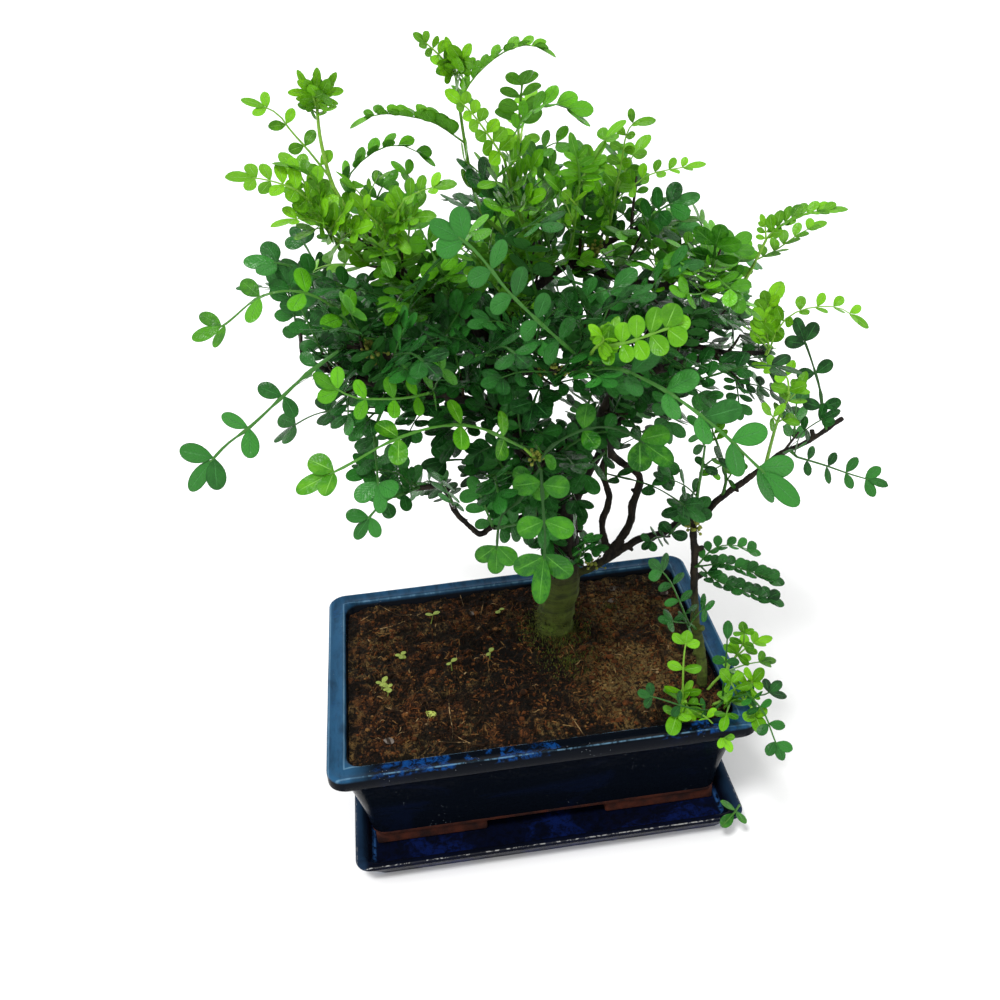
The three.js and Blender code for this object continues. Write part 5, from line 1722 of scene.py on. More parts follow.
@dataclass(frozen=True)
class Leaf:
    """A compound leaf.

    pairs: its pairs of leaflets; size: the length of a leaflet in millimetres; face: the share of its
    upper face that is turned to the front view; stations: from its foot to its tip; sway: how far its
    tip is pushed back and up, in millimetres; wide: a leaflet's width as a share of its length;
    grown: the sizes of the first and the last pair; end: the length of the leaflet at the tip as a
    share of the others'; age: how fresh it is, from 0 to 1; fold: how far its leaflets are raised;
    spread: the angle from the rib at which they stand, in degrees; shut: how much further one side's
    leaflets are raised than the other's.
    """

    pairs: int
    size: float
    face: float
    stations: tuple
    sway: Pair = (0, 0)
    wide: float | None = None
    grown: Pair | None = None
    end: float | None = None
    age: float | None = None
    fold: float | None = None
    spread: float | None = None
    shut: float = 0


def leaf(pairs: int, size: float, face: float, *stations: tuple, **habit: float | Pair) -> Leaf:
    """Writes a leaf down in short."""
    return Leaf(pairs, size, face, stations, **habit)


@dataclass(frozen=True)
class Shoot:
    """A green stem that leaves the wood nearest its first station, its leaves, and further ones by rule."""

    name: str
    tone: Tone
    stem: tuple
    leaves: tuple[Leaf, ...]
    carrier: Carrier = Carrier.TREE
    extra: int = 0
    extra_age: Pair = (0.1, 0.9)


@dataclass(frozen=True)
class Filling:
    """A shoot inside the crown or at its back, whose leaves stand round it by rule, after any given ones."""

    name: str
    tone: Tone
    count: int
    root: tuple
    end: tuple
    leaves: tuple[Leaf, ...] = ()
    sways: tuple = ()


SHOOTS = (
    Shoot("crown_tip_shoot", Tone.YOUNG, stem=((508, 252, 16), (486, 218, 12), (474, 190, 8),
          (466, 150, 5), (460, 110, 2), (455, 70, 0)), leaves=(
        leaf(6, 6.4, 0.7, (454, 76, 0), (438, 54, -6), (414, 33, -10), wide=0.62, age=0.8, end=1.0),
        leaf(5, 7.2, 0.85, (456, 78, 0), (461, 60, -8), (469, 42, -12), sway=(-6, 0), wide=0.8, age=0.7,
             grown=(0.6, 1.15)),
        leaf(4, 7.2, 0.85, (455, 76, 0), (452, 56, -6), (446, 38, -8), wide=0.8, age=0.8, grown=(0.6, 1.15)),
        leaf(3, 7, 0.9, (456, 80, -2), (464, 72, -12), (474, 60, -14), wide=0.8, age=0.4, grown=(0.7, 1.1)),
        leaf(1, 6, 0.5, (455, 76, 0), (446, 68, -4), (432, 61, -6), sway=(12, 0)),
        leaf(7, 7.2, 0.1, (460, 104, 2), (468, 86, 0), (483, 68, -1), (506, 51, -2), (531, 45, -4),
             (556, 57, -6), grown=(0.95, 0.85), age=0.35),
        leaf(8, 8, 0.1, (466, 142, 5), (437, 124, 0), (413, 117, -6), (380, 114, -8), (349, 126, -10),
             grown=(1.4, 0.6), age=0.25),
        leaf(1, 9, 0.7, (468, 166, 6), (464, 158, -2), (462, 144, -8)),
        leaf(3, 9, 0.6, (478, 200, 8), (470, 184, 0), (462, 170, -4), age=0.2),
    )),
    Shoot("crown_middle_shoot", Tone.YOUNG, stem=((528, 240, 14), (520, 215, 8),
          (511, 185, 0), (504, 158, -6)), leaves=(
        leaf(6, 7, 0.65, (504, 160, -6), (491, 139, -8), (470, 111, -10), (446, 90, -12), wide=0.85,
             grown=(1.15, 0.7), age=0.9),
        leaf(3, 9, 0.5, (507, 172, -4), (519, 156, -12), (529, 138, -18), age=0.6),
        leaf(3, 9, 0.6, (513, 192, 2), (498, 182, -8), (478, 188, -16), age=0.3),
        leaf(4, 8.4, 0.6, (512, 186, 0), (530, 172, -10), (541, 150, -16), age=0.35, wide=0.8),
        leaf(3, 10, 0.7, (518, 206, 4), (503, 208, -14), (484, 204, -22), age=0.1, wide=0.8),
        leaf(3, 9.5, 0.7, (520, 214, 6), (528, 200, -12), (545, 192, -20), age=0.5, wide=0.8),
    )),
    Shoot("right_arch_shoot", Tone.MIDDLE, stem=((554, 272, 24), (546, 236, 24),
          (534, 202, 20), (522, 165, 12), (512, 136, 8)), leaves=(
        leaf(6, 9, 0.3, (512, 138, 8), (526, 116, 6), (546, 105, 4), (567, 108, 2), (590, 127, -2), age=0.9,
             fold=0.5, grown=(0.7, 1.2), spread=50),
        leaf(4, 8, 0.5, (524, 172, 14), (540, 152, 8), (560, 142, 4), (578, 150, 0), age=0.8),
        leaf(3, 8, 0.5, (530, 190, 18), (546, 175, 14), (556, 150, 10), age=0.7),
        leaf(3, 9, 0.6, (536, 208, 20), (556, 196, 6), (566, 176, 0), age=1.0),
    )),
    Shoot("left_tall_shoot", Tone.YOUNG, stem=((352, 236, -8), (345, 208, -8),
          (333, 186, -8), (325, 160, -8), (319, 130, -8), (316, 90, -8)), leaves=(
        leaf(4, 7, 0.9, (317, 108, -8), (308, 90, -12), (298, 71, -14), wide=0.75, age=0.8, grown=(0.5, 1.2)),
        leaf(4, 7, 0.9, (317, 108, -8), (326, 90, -12), (337, 72, -14), wide=0.75, age=0.9, grown=(0.5, 1.2)),
        leaf(4, 7, 0.9, (316, 108, -10), (317, 88, -14), (317, 67, -16), wide=0.8, age=1.0, grown=(0.5, 1.2)),
        leaf(3, 6, 0.9, (317, 108, -12), (312, 94, -20), (306, 80, -22), wide=0.75, age=0.6,
             grown=(0.5, 1.1)),
        leaf(3, 6, 0.9, (317, 108, -12), (321, 94, -20), (328, 80, -22), wide=0.75, age=0.5,
             grown=(0.5, 1.1)),
        leaf(1, 6, 0.4, (318, 114, -8), (309, 108, -10), (298, 104, -12)),
        leaf(1, 6, 0.4, (318, 114, -8), (327, 110, -10), (336, 106, -12)),
        leaf(4, 7.6, 0.6, (328, 178, -8), (308, 150, -6), (291, 131, -4), (275, 112, -2), (241, 99, 0),
             wide=0.64, grown=(1.0, 0.85), end=1.3, age=0.55),
    )),
    Shoot("left_arch_shoot", Tone.MIDDLE, stem=((372, 256, -4), (372, 236, 4), (374, 214, 10)), leaves=(
        leaf(8, 7.4, 0.1, (374, 218, 10), (347, 193, 4), (353, 170, 2), (379, 149, 0), (405, 146, -2),
             (437, 164, -4), age=0.9, grown=(1.1, 1.0)),
        leaf(3, 7.5, 0.6, (374, 214, 10), (378, 196, 14), (386, 182, 16), (398, 171, 18)),
        leaf(4, 7, 0.4, (373, 226, 6), (404, 205, 0), (411, 180, -4), (393, 160, -6)),
    )),
    Shoot("left_lime_shoot", Tone.YOUNG, stem=((350, 262, -20), (336, 240, -26),
          (322, 218, -30), (312, 204, -32)), leaves=(
        leaf(5, 8.4, 0.5, (313, 206, -32), (296, 190, -34), (262, 179, -36), (225, 178, -38), age=0.75,
             grown=(1.1, 0.85)),
        leaf(4, 8, 0.4, (326, 224, -29), (308, 219, -36), (290, 220, -40), (271, 227, -42), age=1.0),
        leaf(5, 7.5, 0.15, (320, 216, -31), (318, 184, -28), (300, 168, -26),
             (273, 160, -26), sway=(-6, 0)),
        leaf(3, 7.5, 0.6, (313, 206, -32), (306, 196, -38), (304, 182, -42), age=0.85),
        leaf(4, 8, 0.6, (334, 238, -27), (322, 222, -36), (330, 200, -44), age=0.6, wide=0.8),
        leaf(4, 8.4, 0.7, (340, 246, -25), (350, 232, -38), (372, 224, -46), age=0.75, wide=0.8),
        leaf(3, 8, 0.6, (330, 230, -28), (342, 214, -38), (352, 200, -44), age=0.9, wide=0.8),
    ), extra=1, extra_age=(0.4, 0.9)),
    Shoot("left_inner_lime_shoot", Tone.YOUNG, stem=((372, 262, -16), (380, 244, -24),
          (388, 228, -28), (394, 216, -30)), leaves=(
        leaf(5, 7.6, 0.5, (393, 218, -30), (405, 200, -34), (424, 190, -38), (456, 182, -42), age=0.7),
        leaf(5, 7.6, 0.6, (386, 232, -28), (368, 214, -36), (350, 194, -42), age=0.95),
        leaf(3, 7.5, 0.6, (394, 216, -30), (398, 206, -24), (392, 186, -20), age=0.6),
        leaf(3, 8, 0.8, (386, 238, -26), (398, 236, -34), (408, 252, -40), age=0.6),
        leaf(4, 8, 0.6, (390, 226, -28), (412, 218, -38), (434, 214, -44), age=0.5, wide=0.8),
        leaf(4, 8, 0.6, (378, 250, -20), (362, 236, -36), (344, 228, -44), age=1.0, wide=0.8),
        leaf(4, 8.4, 0.7, (382, 244, -24), (384, 256, -40), (392, 276, -48), age=0.3, wide=0.8),
    ), extra=1, extra_age=(0.4, 0.9)),
    Shoot("left_dark_shoot", Tone.MATURE, stem=((372, 296, -16), (352, 292, -20)), leaves=(
        leaf(3, 11, 0.45, (356, 293, -20), (335, 283, -20), (303, 272, -20), (283, 264, -20),
             (243, 258, -20)),
        leaf(3, 11, 0.5, (368, 295, -16), (350, 308, -4), (322, 300, 8), (296, 300, 14)),
    )),
    Shoot("left_olive_shoot", Tone.MIDDLE, stem=((372, 352, -34), (358, 334, -36)), leaves=(
        leaf(4, 11.6, 0.45, (358, 334, -36), (329, 304, -36), (294, 291, -38), (258, 298, -40),
             (224, 325, -42), (192, 339, -42), wide=0.56, end=1.1, age=0.55, fold=0.2, grown=(1.1, 0.95)),
        leaf(2, 9.5, 0.5, (364, 342, -35), (352, 316, -52), (346, 296, -60), wide=0.8, age=0.7),
    )),
    Shoot("left_hanging_shoot", Tone.MATURE, stem=((344, 347, -42), (338, 351, -46)), leaves=(
        leaf(4, 13.2, 0.85, (338, 351, -46), (306, 375, -48), (280, 399, -50), (250, 427, -52),
             (222, 449, -52), (187, 491, -54), wide=0.62, grown=(0.68, 1.0), end=1.35, age=0.75, fold=0.06),
    )),
    Shoot("left_low_olive_shoot", Tone.MIDDLE, stem=((440, 398, -14), (436, 394, -34),
          (428, 393, -50)), leaves=(
        leaf(4, 9.2, 0.85, (430, 393, -48), (405, 398, -56), (377, 399, -62), (350, 396, -66),
             (313, 374, -68), wide=0.68, age=0.8, fold=0.1),
        leaf(2, 11, 0.7, (432, 394, -44), (440, 372, -60), (436, 350, -66), age=0.2),
    )),
    Shoot("front_lime_shoot", Tone.YOUNG, stem=((536, 459, -34), (524, 448, -42)), leaves=(
        leaf(4, 10.2, 0.7, (524, 448, -42), (479, 429, -58), (439, 429, -68),
             (392, 445, -76), (344, 473, -86), (294, 498, -92), sway=(6, 0), wide=0.78, grown=(1.05, 1.1),
             end=1.6, age=0.0, fold=0.15),
    )),
    Shoot("front_hanging_shoot", Tone.MIDDLE, stem=((537, 461, -30), (541, 470, -40)), leaves=(
        leaf(3, 12.6, 0.8, (541, 470, -40), (543, 506, -48), (545, 546, -54), (539, 603, -62), wide=0.78,
             grown=(1.0, 1.15), end=1.7, age=0.0, fold=0.08, spread=80),
        leaf(3, 12.4, 0.75, (538, 464, -34), (552, 446, -44), (586, 429, -50), (623, 431, -56),
             (673, 464, -66), age=0.0, grown=(0.7, 1.05), wide=0.8),
        leaf(2, 11.5, 0.8, (540, 468, -38), (520, 500, -40), (500, 520, -42), (496, 575, -44), age=0.0,
             wide=0.8),
    )),
    Shoot("left_low_dark_shoot", Tone.MATURE, stem=((419, 487, -18), (404, 494, -24)), leaves=(
        leaf(3, 10, 0.8, (410, 490, -22), (387, 500, -26), (372, 514, -30), (354, 539, -34)),
        leaf(3, 10, 0.6, (415, 488, -20), (398, 474, -30), (372, 470, -38), (346, 478, -44)),
    )),
    Shoot("front_hero_shoot", Tone.MATURE, stem=((584, 364, -46), (574, 353, -54)), leaves=(
        leaf(5, 11.4, 0.78, (575, 354, -54), (536, 319, -66), (507, 290, -74), (485, 262, -80),
             (464, 241, -82), (431, 222, -84), wide=0.72, grown=(0.95, 0.98), end=1.1, age=0.9, fold=0.1),
    )),
    Shoot("right_hero_shoot", Tone.MATURE, stem=((578, 366, -42), (592, 371, -52),
          (604, 368, -58)), leaves=(
        leaf(5, 16.6, 0.7, (604, 367, -58), (623, 370, -62), (661, 388, -70), (695, 411, -78),
             (727, 437, -84), (757, 466, -88), (798, 505, -94), wide=0.6, grown=(0.85, 1.0), end=1.25,
             age=0.95, fold=0.1, shut=0.7, spread=62),
    )),
    Shoot("front_bright_shoot", Tone.YOUNG, stem=((590, 362, -50), (592, 352, -60),
          (598, 345, -66)), leaves=(
        leaf(5, 10, 0.85, (597, 347, -64), (625, 343, -70), (652, 334, -74), (690, 320, -78), age=0.4,
             wide=0.76, end=0.9, grown=(0.8, 1.1), spread=74, fold=0.35),
        leaf(5, 8, 0.85, (598, 347, -64), (602, 336, -66), (586, 320, -68), sway=(-6, 0), age=0.7, wide=0.9,
             spread=56),
        leaf(4, 7.4, 0.85, (597, 347, -64), (610, 336, -62), (618, 316, -60), age=0.6, wide=0.9, spread=56),
    )),
    Shoot("far_right_shoot", Tone.MATURE, stem=((790, 450, -5), (797, 457, -10)), leaves=(
        leaf(4, 9.2, 0.75, (797, 457, -10), (824, 465, -12), (853, 475, -14), (889, 485, -18), wide=0.6,
             grown=(0.8, 1.0), age=0.45, fold=0.1),
        leaf(4, 7.5, 0.5, (795, 455, -8), (800, 436, -20), (814, 424, -26), (840, 410, -30)),
    )),
    Shoot("right_upright_dark_shoot", Tone.MATURE, stem=((826, 430, -5), (823, 418, -3)), leaves=(
        leaf(3, 10.4, 0.75, (823, 418, -3), (820, 390, 0), (812, 362, 2), (805, 342, 4), (796, 318, 6),
             wide=0.66, age=0.02, fold=0.1),
    )),
    Shoot("right_arc_shoot", Tone.YOUNG, stem=((766, 354, 2), (771, 346, -2)), leaves=(
        leaf(6, 8, 0.4, (771, 347, -2), (776, 333, -4), (788, 317, -6), (809, 308, -8),
             (836, 307, -10), (855, 317, -12), (867, 329, -14), grown=(0.9, 0.8), age=0.7),
        leaf(6, 9, 0.6, (770, 348, 0), (766, 326, 4), (768, 306, 6), (782, 282, 6), age=0.75, wide=0.9,
             spread=50,
             fold=0.4),
        leaf(3, 6.5, 0.4, (769, 350, 0), (756, 334, -12), (742, 326, -18)),
    )),
    Shoot("right_lime_shoot", Tone.YOUNG, stem=((743, 284, 8), (752, 268, 6), (760, 252, 4),
          (766, 240, 2)), leaves=(
        leaf(8, 7.4, 0.3, (765, 240, 2), (779, 226, 0), (807, 213, -4), (848, 209, -8), fold=0.4, age=0.45,
             spread=50, wide=0.7),
        leaf(5, 7.4, 0.3, (757, 260, 5), (776, 250, 10), (799, 234, 12), (827, 220, 14), age=0.5, fold=0.4,
             spread=50),
        leaf(3, 4.5, 0.6, (766, 240, 2), (765, 227, 6), (761, 214, 8), age=0.8),
    )),
    Shoot("right_olive_shoot", Tone.MIDDLE, stem=((712, 288, 6), (712, 272, -2),
          (714, 258, -6)), leaves=(
        leaf(2, 12, 0.7, (714, 260, -6), (716, 244, -10), (722, 226, -14)),
        leaf(3, 9, 0.4, (712, 272, -2), (694, 256, -8), (684, 250, -12), (664, 262, -16)),
        leaf(2, 11, 0.5, (713, 264, -4), (730, 250, 4), (751, 230, 10)),
        leaf(2, 10, 0.5, (712, 280, 2), (730, 282, -10), (748, 292, -16)),
        leaf(4, 9, 0.75, (712, 282, 2), (704, 292, -22), (690, 294, -34), (672, 288, -40), age=1.0,
             wide=0.85),
        leaf(4, 9, 0.7, (713, 270, -2), (722, 282, -26), (738, 296, -34), (742, 312, -38), age=0.9,
             wide=0.85),
        leaf(4, 8.4, 0.6, (713, 266, -3), (696, 272, -24), (680, 272, -32), age=1.0, wide=0.85),
    ), extra=1, extra_age=(0.7, 1.0)),
    Shoot("right_top_lime_shoot", Tone.YOUNG, stem=((606, 244, 22), (610, 222, 18),
          (614, 200, 14), (616, 186, 12)), leaves=(
        leaf(5, 7.4, 0.5, (616, 186, 12), (622, 160, 10), (626, 136, 8), (636, 121, 6), (655, 120, 4),
             wide=0.6, age=0.6),
        leaf(6, 7, 0.45, (614, 200, 14), (633, 186, 8), (651, 174, 4), (679, 168, 2), (706, 164, 0),
             grown=(1.1, 0.7), age=0.6),
        leaf(3, 8, 0.6, (611, 218, 17), (600, 196, 10), (594, 180, 6), age=0.2),
    ), extra=2, extra_age=(0.2, 0.8)),
    Shoot("right_top_dark_shoot", Tone.MATURE, stem=((640, 230, 18), (648, 222, 12)), leaves=(
        leaf(3, 11, 0.6, (648, 222, 12), (660, 210, 8), (676, 202, 6), (700, 195, 4)),
        leaf(3, 11, 0.5, (644, 226, 15), (670, 228, 22), (700, 226, 28)),
    )),
    Shoot("top_right_green_shoot", Tone.YOUNG, stem=((566, 268, 24), (572, 240, 10),
          (576, 210, 0), (580, 180, -6)), leaves=(
        leaf(4, 9, 0.6, (580, 182, -6), (578, 164, -8), (570, 132, -10), age=0.1),
        leaf(4, 9, 0.6, (580, 182, -6), (592, 162, -2), (606, 140, 0), age=0.5),
        leaf(3, 9, 0.6, (577, 204, -1), (560, 190, -10), (546, 176, -14), age=0.15),
        leaf(1, 7, 0.9, (577, 206, -1), (572, 200, -14), (562, 190, -18), age=1.0, end=1.0),
        leaf(3, 9, 0.6, (573, 234, 8), (562, 222, -10), (548, 214, -18), age=0.1, wide=0.8),
    ), extra=2, extra_age=(0.1, 0.9)),
    Shoot("right_shoulder_shoot", Tone.MATURE, stem=((700, 290, 8), World(102, 22, 262),
          World(108, 36, 264)), leaves=(
        leaf(2, 11, 0.3, World(108, 36, 264), World(122, 46, 264), World(136, 48, 252)),
        leaf(2, 11, 0.3, World(104, 27, 262), World(98, 44, 250), World(92, 52, 234)),
        leaf(2, 11, 0.3, World(106, 31, 263), World(100, 52, 270), World(86, 66, 272)),
    )),
    Shoot("lower_right_fern_shoot", Tone.MATURE, carrier=Carrier.SIDE, stem=((694, 566, -20),
          (702, 566, -26)), leaves=(
        leaf(9, 6.6, 0.4, (701, 566, -26), (722, 564, -30), (745, 570, -34), (785, 583, -40), fold=0.6,
             age=0.4,
             wide=0.9, spread=52),
        leaf(9, 6.6, 0.4, (700, 566, -25), (716, 580, -38), (742, 590, -46), (785, 604, -54), fold=0.6,
             age=0.2,
             wide=0.9, spread=52),
        leaf(6, 6.4, 0.3, (698, 566, -22), (712, 550, -18), (732, 545, -18), (761, 554, -20), age=0.95,
             fold=0.5,
             spread=50, wide=0.8),
    )),
    Shoot("side_stem_low_shoot", Tone.MATURE, carrier=Carrier.SIDE, stem=((697, 630, -27),
          (688, 622, -36)), leaves=(
        leaf(4, 8.4, 0.7, (688, 622, -36), (679, 600, -40), (668, 578, -42), (650, 560, -44), age=0.5),
        leaf(2, 8, 0.6, (690, 624, -34), (700, 612, -46), (714, 602, -52)),
        leaf(2, 7.6, 0.6, (689, 623, -35), (676, 622, -42), (660, 618, -46)),
    )),
    Shoot("side_stem_high_shoot", Tone.MATURE, carrier=Carrier.SIDE, stem=((696, 508, -15),
          (698, 490, -20), (702, 468, -24), (705, 446, -26)), leaves=(
        leaf(3, 9, 0.6, (697, 496, -18), (682, 484, -24), (654, 474, -30)),
        leaf(3, 8, 0.5, (705, 448, -26), (700, 430, -28), (706, 410, -30)),
        leaf(2, 8, 0.5, (702, 468, -24), (716, 458, -18), (730, 462, -14)),
        leaf(2, 9, 0.6, (696, 505, -16), (684, 516, -28), (668, 528, -34), sway=(12, 0)),
    )),
    Shoot("lower_right_bough_shoot", Tone.MIDDLE, stem=((722, 497, -2), (726, 480, -4),
          (722, 458, -4), (716, 440, -2)), leaves=(
        leaf(2, 7, 0.6, (726, 482, -4), (736, 466, -10), (742, 452, -14)),
        leaf(3, 8, 0.6, (716, 442, -2), (712, 426, 4), (718, 408, 8)),
        leaf(2, 7, 0.6, (724, 464, -4), (712, 470, -12), (700, 474, -16)),
    )),
    Shoot("right_bough_lime_shoot", Tone.YOUNG, stem=((767, 466, -5), (772, 440, -10),
          (778, 420, -14), (790, 394, -16)), leaves=(
        leaf(1, 8, 0.7, (777, 423, -14), (770, 413, -18), (763, 404, -20)),
        leaf(1, 8, 0.7, (777, 423, -14), (788, 417, -10), (796, 416, -8)),
        leaf(3, 8, 0.5, (790, 396, -16), (786, 376, -12), (768, 366, -8), (752, 362, -4)),
        leaf(2, 8, 0.6, (786, 402, -15), (800, 388, -10), (806, 372, -8)),
    )),
    Shoot("pot_end_upright_lime", Tone.YOUNG, carrier=Carrier.SOIL, stem=(World(72, -54, 52),
          Rooted(683, 709), (682, 690, -53)), leaves=(
        leaf(3, 9.4, 0.85, (682, 700, -53), (683, 680, -56), (684, 656, -58), (688, 629, -60), wide=0.68,
             end=1.0, grown=(1.0, 0.85), age=0.75, fold=0.1),
        leaf(2, 10.6, 0.9, (683, 700, -52), (678, 712, -66), (670, 736, -78), age=0.45, wide=0.8),
        leaf(2, 10.4, 0.9, (683, 698, -52), (690, 712, -64), (696, 742, -76), sway=(12, 0), age=0.8,
             wide=0.8),
        leaf(3, 6.6, 0.9, (683, 704, -52), (704, 716, -66), (718, 730, -74), (732, 752, -80), age=0.7,
             wide=0.75),
    )),
    Shoot("pot_end_lime_rosette", Tone.YOUNG, carrier=Carrier.SOIL, stem=(World(86, -56, 54),
          Rooted(712, 706), (733, 698, -60), (743, 692, -62)), leaves=(
        leaf(3, 9.6, 0.8, (743, 692, -62), (752, 682, -66), (766, 668, -70), age=1.0, wide=0.8),
        leaf(3, 9.6, 0.8, (737, 696, -61), (732, 684, -66), (720, 670, -68), age=0.75),
        leaf(2, 9.8, 0.9, (740, 694, -61), (748, 700, -72), (754, 716, -82), sway=(-12, 0), age=1.0,
             wide=0.8),
        leaf(2, 8, 0.9, (731, 699, -60), (727, 712, -74), (722, 732, -84), age=0.3),
    )),
    Shoot("pot_end_back_lime", Tone.YOUNG, carrier=Carrier.SOIL, stem=(World(86, -44, 54),
          Rooted(708, 690), (724, 672, -44), (736, 656, -46)), leaves=(
        leaf(3, 7.6, 0.7, (735, 658, -46), (744, 640, -48), (742, 620, -50), age=0.3),
        leaf(3, 7.6, 0.6, (735, 658, -46), (752, 644, -42), (772, 638, -40), age=0.7),
        leaf(2, 8, 0.6, (728, 673, -43), (748, 664, -30), (776, 660, -24), age=0.2),
    )),
    Shoot("pot_end_dark_shoot", Tone.MATURE, carrier=Carrier.SOIL, stem=(World(83, -61, 54),
          Rooted(712, 714), (726, 700, -62), (748, 694, -70)), leaves=(
        leaf(4, 7.4, 0.8, (748, 694, -70), (762, 712, -86), (770, 736, -92),
             (778, 760, -96), sway=(-6, 5), age=0.6),
        leaf(2, 8, 0.6, (744, 696, -69), (766, 694, -66), (782, 680, -60)),
        leaf(3, 7, 0.8, (714, 712, -61), (690, 708, -66), (664, 700, -68), (637, 692, -70), age=0.35),
        leaf(1, 8, 0.6, (722, 704, -62), (726, 660, -60), (728, 622, -58), age=0.2),
    )),
)

FILLING = (
    Filling("inner_left_shoot", Tone.MATURE, 2, (430, 320, 0), (404, 318, -40)),
    Filling("inner_upper_left_shoot", Tone.MIDDLE, 2, (456, 316, 6), (436, 262, -34)),
    Filling("inner_low_left_shoot", Tone.MATURE, 2, (400, 390, -14), (372, 436, -24)),
    Filling("inner_front_shoot", Tone.MATURE, 2, (520, 372, -4), (476, 356, -52),
            sways=((-12, 0), (6, 0))),
    Filling("inner_middle_shoot", Tone.MATURE, 2, (512, 300, 18), (560, 318, -30)),
    Filling("inner_top_shoot", Tone.MATURE, 2, (524, 268, 20), (500, 246, -20), sways=((6, 0), (0, 0))),
    Filling("inner_right_shoot", Tone.MATURE, 2, (620, 338, 22), (640, 300, -20)),
    Filling("inner_stub_shoot", Tone.MATURE, 2, (664, 368, -4), (700, 384, -34)),
    Filling("inner_low_right_shoot", Tone.MATURE, 2, (606, 430, 22), (606, 480, -16)),
    Filling("inner_low_middle_shoot", Tone.MATURE, 2, (548, 484, 12), (486, 476, -18)),
    Filling("back_left_shoot", Tone.MATURE, 2, World(-60, 66, 234), World(-92, 92, 246)),
    Filling("back_low_left_shoot", Tone.MATURE, 2, World(-40, 50, 225), World(-60, 86, 196)),
    Filling("back_left_high_shoot", Tone.MIDDLE, 3, World(-30, 42, 222), World(-50, 78, 282)),
    Filling("back_middle_shoot", Tone.MATURE, 2, World(14, 72, 262), World(14, 110, 250), leaves=(
        leaf(2, 11, 0.3, World(14, 80, 260), World(6, 70, 282), World(-3, 60, 300)),
        leaf(2, 11, 0.3, World(14, 88, 258), World(32, 76, 268), World(52, 64, 270)),
    )),
    Filling("back_top_shoot", Tone.YOUNG, 3, World(22, 90, 278), World(24, 88, 326)),
    Filling("back_right_high_shoot", Tone.MIDDLE, 2, World(18, 84, 270), World(66, 96, 276), leaves=(
        leaf(2, 11, 0.3, World(48, 92, 276), World(60, 68, 274), World(66, 46, 262)),
    )),
    Filling("back_right_shoot", Tone.MATURE, 3, World(80, 66, 184), World(92, 100, 212)),
    Filling("back_low_right_shoot", Tone.MATURE, 2, World(60, 50, 168), World(46, 92, 176)),
)


@dataclass(frozen=True)
class ToneLook:
    """How the leaves of one age look and are held."""

    slot: Slot
    finish: LeafFinish
    width: float
    fold: Pair
    cup: Pair
    age: Pair
    grown: Pair
    end: float


LOOKS = {
    Tone.MATURE: ToneLook(
        Slot.MATURE,
        LeafFinish("mature_leaf", (0.004, 0.044, 0.006), (0.028, 0.185, 0.022), (0.03, 0.14, 0.02),
                   (0.05, 0.24, 0.05), 0.26),
        0.70, (0.05, 0.3), (-0.14, 0.04), (0.05, 0.85), (0.84, 1.0), 1.2),
    Tone.MIDDLE: ToneLook(
        Slot.MIDDLE,
        LeafFinish("middle_leaf", (0.014, 0.115, 0.006), (0.095, 0.37, 0.007), (0.05, 0.22, 0.02),
                   (0.12, 0.38, 0.05), 0.27, stem_fresh=(0.09, 0.27, 0.03)),
        0.70, (0.08, 0.34), (-0.10, 0.12), (0.1, 0.9), (0.9, 0.95), 1.25),
    Tone.YOUNG: ToneLook(
        Slot.YOUNG,
        LeafFinish("young_leaf", (0.04, 0.215, 0.003), (0.16, 0.45, 0.008), (0.12, 0.38, 0.03),
                   (0.3, 0.66, 0.12), 0.3, stem_old=(0.06, 0.2, 0.02), stem_fresh=(0.24, 0.46, 0.05)),
        0.68, (0.2, 0.6), (0.0, 0.3), (0.25, 1), (1.05, 0.8), 1.3),
}


@dataclass(frozen=True)
class Unevenness:
    """How far leaflets stray from their rule.

    place: as a share of the rib; lean and twist: in radians; fold: of their rise to their reach; length,
    width and tip: as shares of their size; curl: the bend of their length; age: as a share of the scale.
    """

    place: float = 0.012
    lean: float = 0.16
    fold: float = 0.12
    length: float = 0.08
    width: float = 0.07
    tip: float = 0.1
    twist: float = 0.3
    curl: Pair = (-0.22, 0.05)
    age: float = 0.3


@dataclass
class Frond:
    """One compound leaf in place: a line with its upper side, and what its leaflets are like."""

    LONGEST_TIP = 0.55

    line: Line
    turned: np.ndarray
    pairs: int
    size: float
    fold: float
    tone: Tone
    age: float
    spread: float = OPEN_SPREAD
    wide: float | None = None
    grown: Pair | None = None
    end: float | None = None
    shut: float = 0

    def tip(self) -> float:
        """The length of the leaflet at the tip."""
        return min(self.size * (self.end or LOOKS[self.tone].end), self.line.length * self.LONGEST_TIP)

    def frame(self, share: np.ndarray) -> tuple[np.ndarray, np.ndarray, np.ndarray, np.ndarray]:
        """Places, directions of travel, sides and upward directions at shares of the line."""
        place, along = self.line.at(share), self.line.way(share)
        normal = unit(self.turned - along * (along @ self.turned)[:, None])
        return place, along, np.cross(normal, along), normal


def drooping(foot: np.ndarray, way: np.ndarray, length: float, full: float, droop: float) -> list[np.ndarray]:
    """The stations of a leaf that arches out from its foot.

    Args:
        foot: Where it stands.
        way: Its first direction.
        length: Its length, in metres.
        full: The share of its length at which its tip lies.
        droop: How far its tip hangs, in metres.

    Returns:
        Its foot, middle and tip.
    """
    middle = foot + way * length * 0.5 + UP * length * 0.05
    return [foot, middle, foot + way * length * full - UP * droop]


